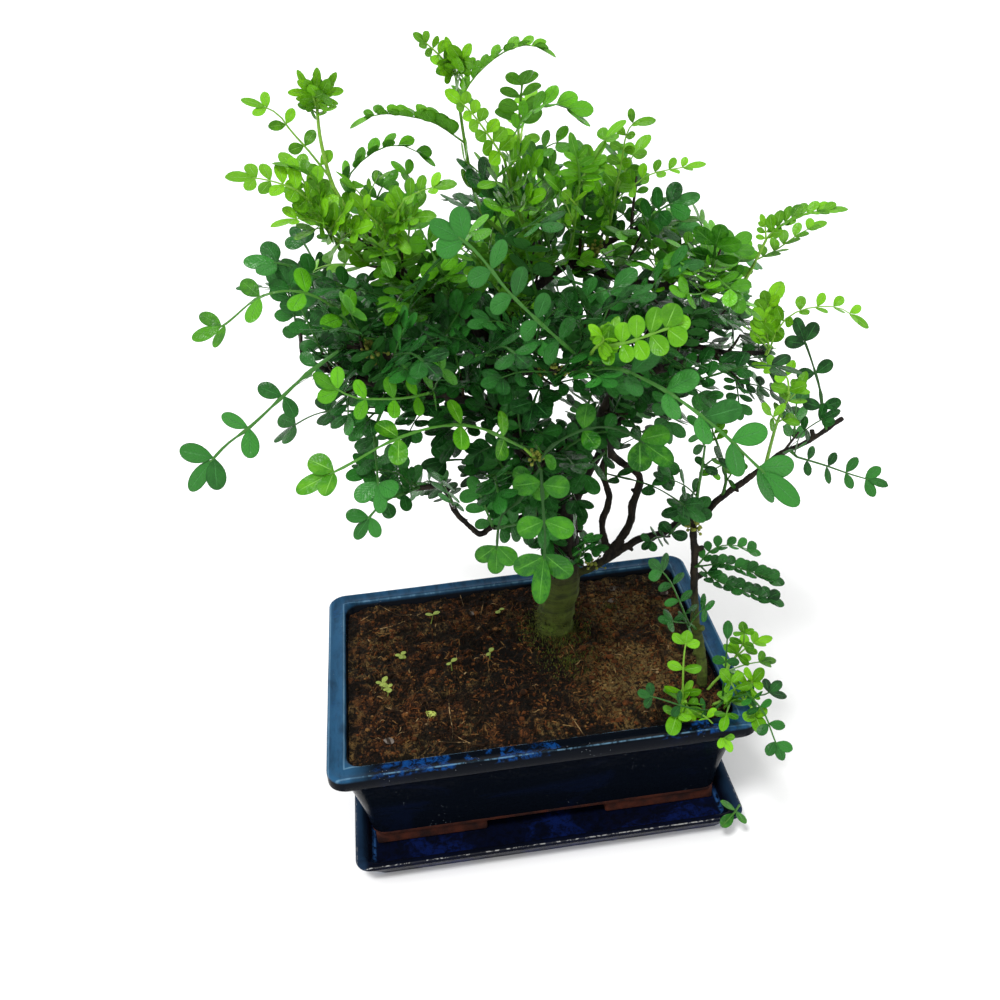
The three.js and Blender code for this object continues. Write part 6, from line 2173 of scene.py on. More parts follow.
@dataclass
class Foliage:
    """Everything that is leafy, grown shoot by shoot."""

    wood: Wood
    rib: Pair = (0.00072, 0.00046)
    wing: float = 0.75
    stem: Pair = (0.001, 0.0006)
    edgewise: float = 0.2
    folded: Pair = (0.7, 1.0)
    closed_spread: float = 38
    steep_spread: float = 60
    overlap: float = 1.25
    steep_overlap: float = 2
    forward: float = 0.28
    bare_foot: float = 0.15
    bare_of_single: float = 0.66
    last_pair: float = 0.985
    off_stem: float = 0.004
    off_rib: float = 0.0003
    thickness: float = 0.00024
    extra_length: Pair = (0.026, 0.04)
    extra_size: Pair = (0.0076, 0.0096)
    ruled_fold: float = 0.15
    golden_turn: float = 2.4
    close_size: float = 0.0096
    middle: World = World(12, 18, 205)
    uneven: Unevenness = Unevenness()
    fill_draws: Draws = field(default_factory=lambda: Draws(20731))
    draws: Draws = field(default_factory=lambda: Draws(6113))

    def __post_init__(self) -> None:
        """Models the two leaflets and lists the lines that shoots grow from."""
        self.plain = leaflet_cast(4, ((0, 0.09), (0.12, 0.42), (0.3, 0.8), (0.52, 1.0), (0.73, 0.93),
                                      (0.89, 0.66), (1.0, 0.2)))
        self.fine = leaflet_cast(6, ((0, 0.06), (0.05, 0.19), (0.13, 0.42), (0.24, 0.68), (0.37, 0.88),
                                     (0.5, 0.98), (0.62, 1.0), (0.74, 0.94), (0.84, 0.8), (0.92, 0.61),
                                     (0.975, 0.37), (1.0, 0.12)))
        self.finishes = {tone: look.finish.make() for tone, look in LOOKS.items()}
        self.carriers = {Carrier.TREE: [self.wood.trunk, *self.wood.boughs.values()],
                         Carrier.SIDE: [self.wood.side]}
        self.taken: list[np.ndarray] = []

    def leaflets(self, gathering: Gathering, frond: Frond) -> None:
        """Sets the pairs of leaflets and the one at the tip along a rib."""
        look, line, uneven = LOOKS[frond.tone], frond.line, self.uneven
        tip = frond.tip()
        rib_end = 1 - tip / line.length
        bare = self.bare_foot if frond.pairs > 1 else self.bare_of_single
        shares = rib_end * np.linspace(bare, self.last_pair, frond.pairs)
        pitch = (shares[1] - shares[0]) * line.length if frond.pairs > 1 else 1.0
        ratio = frond.wide or look.width
        overlap = self.overlap if frond.spread > self.steep_spread else self.steep_overlap
        width = min(ratio * frond.size, overlap * pitch)
        first, last = frond.grown or look.grown
        rows = []
        for k, share in enumerate(shares):
            run = k / max(1, len(shares) - 1)
            grown = first + (last - first) * run
            lean = math.radians(frond.spread * (1 - self.forward * run**1.5))
            for sign in (1, -1):
                rows.append((share + self.draws.about(uneven.place), sign, lean, grown))
        share = np.array([r[0] for r in rows] + [rib_end])
        place, along, side, normal = frond.frame(share)
        frames, sizes = np.zeros((3, len(share), 3)), np.zeros((2, len(share)))
        for k, (_, sign, lean, grown) in enumerate(rows):
            lean += self.draws.about(uneven.lean)
            lift = frond.fold + self.draws.about(uneven.fold) + (frond.shut if sign < 0 else 0)
            closed = math.atan(lift)
            raised = side[k] * sign * math.cos(closed) + normal[k] * math.sin(closed)
            arrow = raised * math.sin(lean) + along[k] * math.cos(lean)
            normal[k] = normal[k] * math.cos(closed) - side[k] * sign * math.sin(closed)
            sizes[:, k] = (frond.size * grown * (1 + self.draws.about(uneven.length)),
                           width * grown * (1 + self.draws.about(uneven.width)))
            place[k] += side[k] * sign * self.off_rib
            frames[:, k] = self.hold(arrow, normal[k])
        arrow = line.at(1.0) - place[-1] + normal[-1] * tip * self.draws.about(uneven.tip)
        sizes[:, -1] = tip, min(ratio * frond.size, width * 1.15) * 0.9
        frames[:, -1] = self.hold(arrow, normal[-1])
        self.add_blades(gathering, frond, place, frames, sizes)

    def hold(self, arrow: np.ndarray, normal: np.ndarray) -> tuple[np.ndarray, np.ndarray, np.ndarray]:
        """The directions out, across and up of a leaflet, twisted a little round its own length."""
        out = unit(arrow)
        twist = self.draws.about(self.uneven.twist)
        flat = unit(normal - out * float(normal @ out))
        up = unit(flat + np.cross(out, flat) * twist)
        return out, np.cross(out, up), up

    def add_blades(self, gathering: Gathering, frond: Frond, place: np.ndarray, frames: np.ndarray,
                   sizes: np.ndarray) -> None:
        """Adds blades to a piece.

        Args:
            gathering: The piece's copies.
            frond: The leaf that they belong to.
            place: The foot of each blade.
            frames: The directions out, across and up of each blade.
            sizes: The lengths and widths of the blades.
        """
        look = LOOKS[frond.tone]
        cast = self.fine if frond.size >= self.close_size else self.plain
        out, across, up = (a[:, None] for a in frames)
        long, wide = (s[:, None, None] for s in sizes)
        count = len(place)
        x, y, z = (cast.points[:, k][None, :, None] for k in range(3))
        draw = np.array([[self.draws.between(*look.cup), self.draws.between(*self.uneven.curl),
                          self.draws.between(0, 1)] for _ in range(count)])
        cup, curl = draw[:, 0][:, None, None], draw[:, 1][:, None, None]
        points = place[:, None] + out * y * long + across * x * wide / 2
        lift = cup * (np.abs(x) ** 1.4) * wide * 0.5 + curl * (y**2) * long * 0.5 + z * self.thickness
        points = points + up * lift
        age = np.clip(frond.age + (draw[:, 2] - 0.5) * self.uneven.age, 0, 1)
        shade = np.stack([age, draw[:, 2], np.zeros(count)], axis=1)
        gathering.add(points, cast.faces, shade, np.broadcast_to(cast.own, points.shape))
        self.taken.append((place[:, None] + out * long * 0.55)[:, 0])

    def rib_strip(self, gathering: Gathering, frond: Frond) -> None:
        """The slightly winged rib that carries the leaflets."""
        end = 1 - frond.tip() / frond.line.length * 0.92
        close = frond.size >= self.close_size
        steps = 4 * frond.pairs + 3 if close else 10
        share = np.linspace(0, end, steps)
        place, _, side, normal = frond.frame(share)
        winged = np.mod(share / end * frond.pairs + 0.1, 1) ** 1.5 * (self.wing if close else 0)
        taper = np.linspace(1, 0.6, steps)[:, None]
        spread = taper * (0.85 + winged)[:, None]
        scale = 0.75 + 0.25 * min(frond.size / 0.012, 1.6)
        wide, thick = side * self.rib[0] * spread * scale, normal * self.rib[1] * taper * scale
        ring = np.stack([place + wide, place + thick, place - wide, place - thick], axis=1)
        faces = [[k * 4 + s, k * 4 + (s + 1) % 4, k * 4 + 4 + (s + 1) % 4, k * 4 + 4 + s]
                 for k in range(steps - 1) for s in range(4)]
        faces += [[3, 2, 1, 0], [steps * 4 - 4, steps * 4 - 3, steps * 4 - 2, steps * 4 - 1]]
        gathering.add(ring.reshape(1, -1, 3), np.array(faces), [(frond.age, 0.5, 0.5)])

    def stem_tube(self, gathering: Gathering, line: Line, age: float, radii: Pair, kind: float = 0.5) -> None:
        """A round stem."""
        steps = max(6, round(line.length / 0.004))
        share = np.linspace(0, 1, steps)
        gathering.add_tubes([line.at(share)], [np.interp(share, [0, 1], radii)], 6, [(age, 0.5, kind)])

    def grow(self, gathering: Gathering, frond: Frond) -> None:
        """Adds a whole leaf to a piece."""
        self.rib_strip(gathering, frond)
        self.leaflets(gathering, frond)

    def stations(self, given: Leaf, stem: Line) -> list[np.ndarray]:
        """A leaf's stations, from its foot on the stem, after its sway."""
        first = SIGHT.spot(given.stations[0])
        foot = stem.nearest(first)
        rest = given.stations[int(np.linalg.norm(foot - first) <= self.off_stem):]
        stations = [foot, *(SIGHT.spot(s) for s in rest)]
        push = np.array([0, *given.sway]) * MM
        last = len(stations) - 1
        return [s + push * k / last for k, s in enumerate(stations)]

    def named(self, shoot: Shoot) -> Piece:
        """Grows a shoot whose leaves are given one by one."""
        stem_stations = list(shoot.stem)
        if shoot.carrier is not Carrier.SOIL:
            stem_stations[0] = self.root_on(SIGHT.spot(shoot.stem[0]), self.carriers[shoot.carrier])
        stem = Line(stem_stations)
        gathering = Gathering()
        self.stem_tube(gathering, stem, self.leaf_age(shoot.tone), self.stem)
        self.given(gathering, shoot.leaves, stem, shoot.tone)
        for index in range(shoot.extra):
            frond = self.ruled_frond(stem, index, shoot.extra, (0, 0), shoot.tone, self.extra_length,
                                     self.extra_size)
            frond.age = self.draws.between(*shoot.extra_age)
            self.grow(gathering, frond)
        return self.dress(gathering, shoot.name, shoot.tone)

    def given(self, gathering: Gathering, leaves: Sequence[Leaf], stem: Line, tone: Tone) -> None:
        """Grows the leaves that are given one by one along a stem.

        Args:
            gathering: Where their copies go.
            leaves: The leaves.
            stem: The line that they grow from.
            tone: How old they are.
        """
        for given in leaves:
            stations = self.stations(given, stem)
            towards = unit(SIGHT.origin() - stations[0])
            facing = unit(UP + (towards - UP) * given.face)
            closed = given.face <= self.edgewise
            folds = self.folded if closed else LOOKS[tone].fold
            spread = given.spread or (self.closed_spread if closed else OPEN_SPREAD)
            fold = self.draws.between(*folds) if given.fold is None else given.fold
            age = self.leaf_age(tone) if given.age is None else given.age
            self.grow(gathering, Frond(Line(stations), facing, given.pairs, given.size * MM, fold, tone, age,
                                       spread, given.wide, given.grown, given.end, given.shut))

    def outwards(self, place: np.ndarray) -> np.ndarray:
        """The direction from the middle of the crown to a place."""
        return unit(place - SIGHT.spot(self.middle))

    def leaf_age(self, tone: Tone) -> float:
        """How fresh a leaf of a tone is, from 0 to 1."""
        return self.draws.between(*LOOKS[tone].age)

    def root_on(self, place: np.ndarray, lines: Sequence[Line]) -> np.ndarray:
        """The place on the wood nearest a point."""
        near = [line.nearest(place) for line in lines]
        return min(near, key=lambda p: float(np.linalg.norm(p - place)))

    def dress(self, gathering: Gathering, name: str, tone: Tone) -> Piece:
        """Builds the piece that stands for a shoot's node."""
        piece = gathering.build(f"{name}_leaves", self.finishes[tone])
        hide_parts(name)
        return piece

    def ruled_frond(self, line: Line, index: int, count: int, sway: Pair, tone: Tone,
                    lengths: Pair = (0.040, 0.058), sizes: Pair = (0.0095, 0.012)) -> Frond:
        """A leaf by rule: leaves turn round the stem, lean outwards and droop at their tips."""
        draws = self.fill_draws
        share = min(1, 0.34 + 0.66 * (index + 0.7) / count)
        foot, along = line.at(share), line.way(share)
        turn = self.golden_turn * index + draws.between(0, 1.2)
        outwards = self.outwards(foot)
        way = unit(along * 0.5 + around(along, turn) * 0.8 + outwards * 0.5 + UP * 0.1)
        length = draws.between(*lengths)
        droop = draws.between(0, 0.2) * length
        _, middle, tip = drooping(foot, way, length, 0.96, droop)
        pairs = 4 if draws.between(2, 3.15) >= 3 else 3
        size = draws.between(*sizes)
        facing = unit(UP + outwards * 0.6 - SIGHT.axes()[0] * 0.2)
        push = np.array([0, *sway]) * MM
        stations = [foot, middle + push / 2, tip + push]
        return Frond(Line(stations), facing, pairs, size, self.ruled_fold, tone, self.leaf_age(tone))

    def ruled(self, filling: Filling) -> Piece:
        """Grows a shoot whose leaves stand by rule."""
        start, end = SIGHT.spot(filling.root), SIGHT.spot(filling.end)
        root = self.root_on(start, self.carriers[Carrier.TREE])
        knee = (start + end) / 2 + UP * 0.004
        stem = Line([root, knee, end])
        gathering = Gathering()
        self.stem_tube(gathering, stem, self.leaf_age(filling.tone), self.stem)
        self.given(gathering, filling.leaves, stem, filling.tone)
        sways = filling.sways or ((0, 0),) * filling.count
        for index in range(filling.count):
            self.grow(gathering, self.ruled_frond(stem, index, filling.count, sways[index], filling.tone))
        return self.dress(gathering, filling.name, filling.tone)


CROWN = (
    (262, 215), (290, 172), (345, 196), (398, 165), (440, 186), (462, 170), (452, 128), (470, 98),
    (500, 118), (548, 106), (600, 121), (625, 126), (640, 165), (662, 190), (700, 202), (720, 236),
    (760, 238), (776, 262), (755, 285), (790, 300), (806, 335), (800, 420), (757, 420), (736, 470),
    (705, 512), (672, 530), (640, 553), (590, 566), (500, 562), (470, 532), (440, 500), (390, 494),
    (330, 455), (312, 420), (316, 370), (287, 330), (266, 290),
)
CLEAR = (
    ((598, 440), (640, 440), (660, 500), (690, 512), (650, 535), (606, 545), (590, 500)),
    ((690, 440), (740, 430), (735, 470), (700, 500), (672, 500)),
    ((440, 500), (478, 506), (476, 545), (440, 540)),
    ((498, 530), (530, 520), (534, 560), (500, 560)),
)


def inside(place: Pair, outline: Sequence[Pair]) -> bool:
    """True if a place of the front view lies inside an outline."""
    x, y = place
    odd = False
    for (ax, ay), (bx, by) in zip(outline, (*outline[1:], outline[0])):
        if (ay > y) != (by > y) and x < ax + (bx - ax) * (y - ay) / (by - ay):
            odd = not odd
    return odd


@dataclass(frozen=True)
class SpurRow:
    """Spurs along one limb: their pitch in millimetres, between two shares of its length."""

    limb: str
    tone: Tone
    pitch: float
    start: float
    end: float
    age: Pair | None = None
    name: str = ""


SPUR_ROWS = (
    SpurRow("trunk", Tone.MATURE, 7, 0.24, 0.82),
    SpurRow("trunk", Tone.YOUNG, 9, 0.82, 1.0, (0.0, 0.5), "trunk_top"),
    SpurRow("left", Tone.MATURE, 8, 0.15, 0.98),
    SpurRow("top_left", Tone.MIDDLE, 9, 0.1, 0.55, (0.2, 0.9)),
    SpurRow("top_left", Tone.YOUNG, 9, 0.55, 1.0, (0.1, 0.7), "top_left_tip"),
    SpurRow("top_right", Tone.MIDDLE, 9, 0.12, 1.0, (0.0, 0.6)),
    SpurRow("upper_right", Tone.MATURE, 8, 0.15, 0.95),
    SpurRow("right_shoulder", Tone.MIDDLE, 8, 0.15, 1.0, (0.5, 1.0)),
    SpurRow("front_high", Tone.MATURE, 8, 0.15, 0.9),
    SpurRow("front_left", Tone.MATURE, 8, 0.1, 0.95),
    SpurRow("front_low", Tone.MATURE, 6, 0.1, 0.6),
    SpurRow("back_left", Tone.MATURE, 8, 0.2, 1.0),
    SpurRow("back_middle", Tone.MATURE, 8, 0.15, 1.0),
    SpurRow("back_right", Tone.MATURE, 8, 0.25, 1.0),
    SpurRow("twisting", Tone.MATURE, 12, 0.42, 0.95),
    SpurRow("lower_right", Tone.MATURE, 20, 0.3, 0.97),
    SpurRow("lower_left", Tone.MATURE, 12, 0.2, 0.97),
)


@dataclass
class Spurs:
    """The short leafy spurs along the boughs that fill the crown."""

    foliage: Foliage
    room: float = 0.0050
    leaves: int = 4
    twig: Pair = (0.008, 0.024)
    length: Pair = (0.028, 0.046)
    size: Pair = (0.0088, 0.0112)
    tries: int = 7
    inset: float = 0.004
    tested: tuple[float, ...] = (0.35, 0.6, 0.8, 1.0)
    twig_radii: Pair = (0.0009, 0.0005)
    draws: Draws = field(default_factory=lambda: Draws(55021))

    def allowed(self, places: Sequence[np.ndarray]) -> bool:
        """True if places lie in the crown, off the clear patches and clear of other leaves."""
        low, high = CAD_BOX
        for place in places:
            if not all(low[k] + self.inset < place[k] < high[k] - self.inset for k in range(3)):
                return False
            seen = SIGHT.pixel(place)
            if not inside(seen, CROWN) or any(inside(seen, patch) for patch in CLEAR):
                return False
        gaps = np.linalg.norm(self.cloud[None] - np.array(places)[:, None], axis=2)
        return bool(gaps.min() > self.room)

    def frond(self, twig: Line, index: int, row: SpurRow) -> Frond | None:
        """A leaf of a spur, or nothing if there is no room for it."""
        share = 0.35 + 0.65 * (index + 0.5) / self.leaves
        foot, along = twig.at(share), twig.way(share)
        outwards = self.foliage.outwards(foot)
        for attempt in range(self.tries):
            turn = self.foliage.golden_turn * (index + attempt * 0.37) + self.draws.between(0, 1.2)
            way = unit(along * 0.5 + around(along, turn, NEARLY_UP) * 0.85 + outwards * 0.4 + UP * 0.12)
            length = self.draws.between(*self.length) * (1 - 0.05 * attempt)
            droop = self.draws.between(0.0, 0.22) * length
            line = Line(drooping(foot, way, length, 0.97, droop))
            if self.allowed([line.at(share) for share in self.tested]):
                size = self.draws.between(*self.size) * min(1, length / 0.034)
                pairs = max(2, min(5, round(length * 0.74 / (size * 0.8))))
                facing = unit(UP + outwards * self.draws.between(0.2, 0.9) - SIGHT.axes()[0] * 0.25)
                look = LOOKS[row.tone]
                fold = self.draws.between(*look.fold)
                age = self.draws.between(*(row.age or look.age))
                return Frond(line, facing, pairs, size, fold, row.tone, age)
        return None

    def spur(self, gathering: Gathering, limb: Line, share: float, index: int, row: SpurRow) -> int:
        """Grows one spur.

        Args:
            gathering: Where its copies go.
            limb: The limb that it stands on.
            share: Where on the limb.
            index: Its number along the limb.
            row: The row that it stands in.

        Returns:
            How many leaves it bears.
        """
        foot, along = limb.at(share), limb.way(share)
        turn = self.foliage.golden_turn * index + self.draws.about(0.3)
        outwards = self.foliage.outwards(foot)
        way = unit(around(along, turn, NEARLY_UP) + outwards * 0.45 + UP * 0.3 + along * 0.3)
        length = self.draws.between(*self.twig)
        bend = around(along, 0, NEARLY_UP) * self.draws.about(0.15) + UP * 0.1
        twig = Line([foot, foot + way * length * 0.5, foot + (way + bend) * length])
        borne = 0
        for k in range(self.leaves):
            made = self.frond(twig, k, row)
            if made:
                borne += 1
                self.foliage.grow(gathering, made)
                self.cloud = np.vstack([self.cloud, self.foliage.taken[-1]])
        if borne:
            self.foliage.stem_tube(gathering, twig, 0.2, self.twig_radii, 1.0)
        return borne

    def build(self) -> list[Piece]:
        """Grows the spurs of every limb, one piece to a limb."""
        self.cloud = np.vstack(self.foliage.taken)
        limbs = {"trunk": self.foliage.wood.trunk, **self.foliage.wood.boughs}
        pieces = []
        for row in SPUR_ROWS:
            limb, gathering, total = limbs[row.limb], Gathering(), 0
            count = max(2, round(limb.length * (row.end - row.start) / (row.pitch * MM)))
            for k in range(count):
                share = row.start + (row.end - row.start) * (k + 0.5) / count
                total += self.spur(gathering, limb, share, k, row)
            if total:
                piece = gathering.build(f"{row.name or row.limb}_spurs", self.foliage.finishes[row.tone])
                pieces.append(piece)
            log.info("spurs of %s: %d with %d leaves", row.limb, count, total)
        return pieces


HAIRS = (
    ((449, 699), (450, 715), (453, 733), (452, 744)), ((453, 735), (462, 740), (471, 744)),
    ((436, 743), (452, 746), (466, 744), (484, 748)), ((380, 609), (399, 616), (415, 619), (430, 625)),
    ((380, 630), (396, 625), (412, 620), (424, 614)), ((387, 709), (395, 712), (403, 713)),
    ((460, 595), (464, 609)), ((484, 605), (481, 617)), ((361, 622), (372, 617)), ((569, 649), (574, 656)),
    ((573, 721), (579, 731), (586, 738), (596, 745)), ((563, 727), (578, 731)),
)
SEEDLINGS = (((431, 625), 8.5, 2), ((402, 656), 3, 3), ((452, 671), 6.5, 2), ((388, 697), 6.5, 4),
             ((490, 662), 6, 2), ((499, 615), 3, 2), ((382, 690), 4, 3))
FALLEN = (((431, 714), 6.5, 1.0), ((389, 743), 5.5, 0.45), ((486, 592), 5, 0.45), ((472, 617), 4, 0.4),
          ((613, 590), 5, 0.5), ((664, 594), 6, 0.5), ((525, 734), 8, 0.0), ((402, 657), 4.5, 0.7),
          ((612, 603), 5, 0.5), ((515, 748), 6, 0.1))
MOSSY = ((TRUNK_SPOT, (0.0105, 0.021), 900), ((0.0335, 0.043), (0, 0.006), 90),
         ((0.053, 0.034), (0, 0.005), 60), ((0.022, -0.008), (0, 0.017), 380))

SPRIG_ROUTE = (World(97, -73.5, 14.3), World(92, -79.2, 14.7), World(84.5, -84, 12.4))


@dataclass
class SoilLife:
    """What grows and lies on the soil: moss, seedlings, long root hairs and fallen leaflets."""

    ground: Ground
    foliage: Foliage
    spike: Pair = (0.0011, 0.0028)
    spike_radius: Pair = (0.00016, 0.0003)
    trunk_radius: float = 0.0096
    trunk_moss: int = 420
    trunk_spike: Pair = (0.0004, 0.0011)
    trunk_spike_radii: tuple[float, ...] = (0.0003, 0.00024, 0.00006)
    moss_climb: Pair = (0.066, 0.084)
    blade_half_width: float = 0.34
    blade_bow: float = 0.12
    blade_thickness: float = 0.0003
    seedling_radii: tuple[float, ...] = (0.0004, 0.0003, 0.0002)
    hair_radii: tuple[float, ...] = (0.00022, 0.00026, 0.00012)
    withered_below: float = 0.7
    draws: Draws = field(default_factory=lambda: Draws(88211))

    def on_soil(self, seen: Pair, above: float = 0.0) -> np.ndarray:
        """The place on the soil under a pixel of the front view, so far above it."""
        x, y, _ = SIGHT.spot(Rooted(*seen))
        return np.array([x, y, self.ground.surface(x, y) + above])

    def moss(self) -> Piece:
        """Sets the moss: short leaning spikes in tufts."""
        heap, lines, radii, shades = Gathering(), [], [], []
        for (x, y), (near, far), count in MOSSY:
            for _ in range(count):
                turn = self.draws.between(0, 2 * math.pi)
                away = near + (far - near) * self.draws.between(0, 1) ** 1.6
                foot = np.array([x + away * math.cos(turn), y + away * math.sin(turn), 0])
                foot[2] = self.ground.surface(foot[0], foot[1]) - 0.0003
                lean = np.array([self.draws.about(0.6), self.draws.about(0.6), 1.0])
                tip = foot + unit(lean) * self.draws.between(*self.spike)
                lines.append([foot, foot * 0.45 + tip * 0.55 + UP * 0.0001, tip])
                thick = self.draws.between(*self.spike_radius)
                radii.append([thick, thick * 0.8, 0.00004])
                shades.append((0, self.draws.between(0, 0.75), 0))
        low, high = self.moss_climb
        for _ in range(self.trunk_moss):
            turn = self.draws.between(0, 2 * math.pi)
            out = np.array([math.cos(turn), math.sin(turn), 0])
            foot = np.array([*TRUNK_SPOT, low + (high - low) * self.draws.between(0, 1) ** 1.5])
            foot = foot + out * self.trunk_radius
            tip = foot + (out + UP * self.draws.between(-0.2, 1.2)) * self.draws.between(*self.trunk_spike)
            lines.append([foot - out * 0.001, (foot + tip) / 2, tip])
            radii.append(self.trunk_spike_radii)
            shades.append((0, self.draws.between(0, 0.6), 0))
        heap.add_tubes(lines, radii, 4, shades)
        piece = heap.build("moss_tufts", MossFinish().make())
        return piece

    def blade(self, heap: Gathering, foot: np.ndarray, way: np.ndarray, up: np.ndarray, long: float,
              tint: float) -> None:
        """Lays or holds one small leaflet.

        Args:
            heap: Where its copy goes.
            foot: Its foot.
            way: The direction that it runs in.
            up: The direction that its upper face turns to.
            long: Its length in metres.
            tint: Its colour, from 0 to 1.
        """
        cast = self.foliage.plain
        way = unit(way)
        across = unit(np.cross(way, up))
        up = np.cross(across, way)
        x, y, z = (cast.points[:, k][:, None] for k in range(3))
        points = (foot + way * y * long + across * x * long * self.blade_half_width
                  + up * (z * self.blade_thickness - y**2 * long * self.blade_bow))
        heap.add(points[None], cast.faces, [(0, tint, 0)], cast.own[None])

    def seedlings(self) -> Piece:
        """Sets the seedlings, each a thin stem with a few small leaves, and the fallen pale leaflets."""
        heap = Gathering()
        for seen, tall, leaves in SEEDLINGS:
            foot = self.on_soil(seen, -0.0003)
            lean = unit(np.array([self.draws.about(0.25), self.draws.between(-0.3, 0.1), 1.0]))
            tip = foot + lean * tall * MM
            heap.add_tubes([[foot, (foot + tip) / 2, tip]], [self.seedling_radii], 4, [(0, 0.5, 0)])
            for k in range(leaves):
                turn = 2 * math.pi * k / leaves + self.draws.between(0, 1.2)
                way = np.array([math.cos(turn), math.sin(turn), self.draws.between(0, 0.5)])
                self.blade(heap, tip - lean * 0.0002, way, UP, self.draws.between(0.0032, 0.0048), 0.6)
        for seen, long, tint in FALLEN:
            if tint >= self.withered_below:
                self.lie(heap, seen, long, tint)
        piece = heap.build("seedlings", MossFinish("seedling", (0.03, 0.075, 0.008), (0.42, 0.5, 0.1)).make())
        return piece

    def lie(self, heap: Gathering, seen: Pair, long: float, tint: float) -> None:
        """Lays one fallen leaflet on the soil."""
        turn = self.draws.between(0, 2 * math.pi)
        way = np.array([math.cos(turn), math.sin(turn), 0.0])
        middle = self.on_soil(seen)
        foot = middle - way * long * MM / 2
        foot[2] = max(middle[2], self.ground.surface(foot[0], foot[1])) + 0.0006
        self.blade(heap, foot, way, unit(UP + np.array([0.1, -0.3, 0])), long * MM, tint)

    def litter(self) -> Piece:
        """Lays the long root hairs and the withered leaflets."""
        heap = Gathering()
        for hair in HAIRS:
            line = Line([self.on_soil(seen, 0.0009) for seen in hair])
            share = np.linspace(0, 1, 12)
            radii = np.interp(share, [0, 0.5, 1], self.hair_radii)
            heap.add_tubes([line.at(share)], [radii], 4, [(0, self.draws.between(0.66, 0.84), 0)])
        for seen, long, tint in FALLEN:
            if tint < self.withered_below:
                self.lie(heap, seen, long, 0.25 if tint < 0.2 else 0.97)
        piece = heap.build("soil_litter", CrumbFinish("litter", grey=(0.11, 0.11, 0.12)).make())
        return piece

    def fallen_sprig(self) -> Piece:
        """Lays the small green sprig over the tray's front right corner."""
        heap = Gathering()
        line = Line(SPRIG_ROUTE)
        facing = unit(np.array([0, -0.5, 1.0]))
        self.foliage.stem_tube(heap, line, 0.4, (0.0006, 0.0004))
        self.foliage.grow(heap, Frond(line, facing, 1, 0.0092, 0.05, Tone.MIDDLE, 0.0))
        piece = heap.build("fallen_sprig", self.foliage.finishes[Tone.MIDDLE])
        return piece

    def build(self) -> list[Piece]:
        """Builds the moss, the seedlings, the litter and the fallen sprig."""
        return [self.moss(), self.seedlings(), self.litter(), self.fallen_sprig()]


BUDS = (
    (484, 309), (374, 344), (588, 344), (605, 310), (560, 390), (532, 462), (542, 393), (590, 238),
    (590, 565), (707, 530),
)


@dataclass
class Buds:
    """The clusters of small round buds along the wood."""

    wood: Wood
    count: int = 16
    stalk: Pair = (0.0035, 0.0077)
    stalk_radii: tuple[float, ...] = (0.00035, 0.00028, 0.00025)
    radius: Pair = (0.0006, 0.0012)
    front_first: float = 40
    draws: Draws = field(default_factory=lambda: Draws(3307))

    def seat(self, seen: Pair) -> np.ndarray:
        """The place on the wood that is seen nearest to a pixel."""
        lines = (self.wood.trunk, self.wood.side, *self.wood.boughs.values())
        places = (place for line in lines for place in line.path[::4])
        return min(places, key=lambda p: math.dist(SIGHT.pixel(p), seen) + p[1] * self.front_first)

    def build(self) -> Piece:
        """Builds all the clusters as one piece."""
        heap = Gathering()
        ball = lump_cast(1, 2.2, 0.15)
        for seen in BUDS:
            seat = self.seat(seen)
            towards = unit(SIGHT.origin() - seat)
            stalks, radii, copies, shades = [], [], [], []
            for _ in range(self.count):
                way = unit(towards + np.array([self.draws.about(1) for _ in range(3)]) + UP * 0.4)
                tip = seat + way * self.draws.between(*self.stalk)
                stalks.append([seat, (seat + tip) / 2 + UP * 0.0002, tip])
                radii.append(self.stalk_radii)
                size = self.draws.between(*self.radius)
                copies.append(turned(ball.points, self.draws) * size + tip)
                shades.append((0, self.draws.between(0.25, 1), 0))
            heap.add(np.array(copies), ball.faces, shades)
            heap.add_tubes(stalks, radii, 4, [(0, 0.4, 0)] * self.count)
        piece = heap.build("bud_clusters", MossFinish("buds", (0.07, 0.09, 0.012), (0.3, 0.34, 0.05)).make())
        return piece


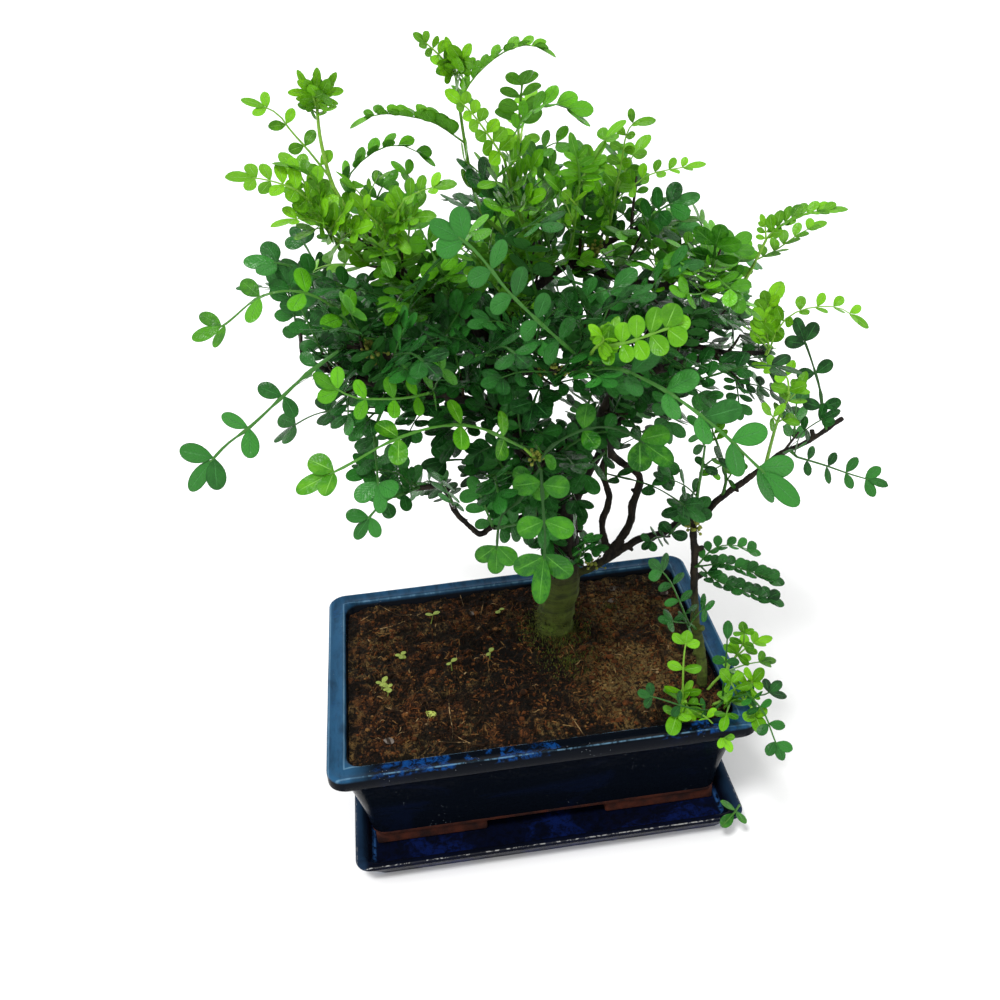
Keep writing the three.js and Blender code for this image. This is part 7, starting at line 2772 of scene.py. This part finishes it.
@dataclass
class Studio:
    """A white floor under plain soft light, seen from the photographer's place."""

    floor_size: float = 40.0
    world: float = 1.05
    sun: float = 1.8
    sun_spread: float = 0.22
    sun_from: tuple[float, float, float] = (-0.3, -0.45, 1.0)
    lens: float = 40.075
    sensor: float = 36
    farthest: float = 50

    def lay_floor(self) -> None:
        """Lays the floor."""
        Bench.clear()
        bpy.ops.mesh.primitive_plane_add(size=self.floor_size, location=(0, 0, 0))
        floor = bpy.context.object
        floor.name = "studio_floor"
        Bench.settle(floor)
        floor.data.materials.append(FloorFinish().make())
        floor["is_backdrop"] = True

    def light(self) -> None:
        """Hangs one broad soft light high on the left."""
        bpy.ops.object.light_add(type="SUN", location=(-1, -0.6, 2))
        lamp = bpy.context.object
        lamp.name = "soft_key_light"
        lamp.data.energy = self.sun
        lamp.data.angle = self.sun_spread
        lamp.rotation_euler = (-Vector(self.sun_from)).to_track_quat("-Z", "Y").to_euler()

    def set_camera(self) -> None:
        """Stands the camera at the photographer's place."""
        ahead, right, up = SIGHT.axes()
        camera = bpy.data.objects.new("front_camera", bpy.data.cameras.new("front_camera"))
        bpy.context.scene.collection.objects.link(camera)
        camera.matrix_world = Matrix([(right[k], up[k], -ahead[k], SIGHT.origin()[k]) for k in range(3)]
                                     + [(0, 0, 0, 1)])
        camera.data.sensor_width = self.sensor
        camera.data.lens = self.lens
        camera.data.clip_end = self.farthest
        bpy.context.scene.camera = camera

    def build(self) -> None:
        """Sets up floor, light and camera."""
        self.lay_floor()
        world = bpy.data.worlds.new("soft_white")
        world.use_nodes = True
        light = world.node_tree.nodes["Background"].inputs
        light["Color"].default_value = (1, 1, 1, 1)
        light["Strength"].default_value = self.world
        bpy.context.scene.world = world
        self.light()
        self.set_camera()
        bpy.context.scene.view_settings.view_transform = "Standard"


def carry(pieces: Sequence[Piece]) -> None:
    """Lets pieces ride on the one body, and reports them."""
    for piece in pieces:
        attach(piece, ROOT)
        log.info("%s: %d faces", piece.name, len(piece.data.polygons))


def main() -> None:
    """Builds the whole object, part by part, then its studio."""
    logging.basicConfig(level=logging.INFO, format="%(message)s")
    pot = Pot()
    carry([Tray().build(), pot.build()])
    DrainScreens().dress()
    ground = Ground(pot)
    carry(ground.build())
    wood = Wood()
    carry(wood.build())
    foliage = Foliage(wood)
    carry([foliage.named(shoot) for shoot in SHOOTS])
    carry([foliage.ruled(filling) for filling in FILLING])
    carry(Spurs(foliage).build())
    carry([Buds(wood).build()])
    carry(SoilLife(ground, foliage).build())
    Studio().build()


if __name__ == "__main__":
    main()
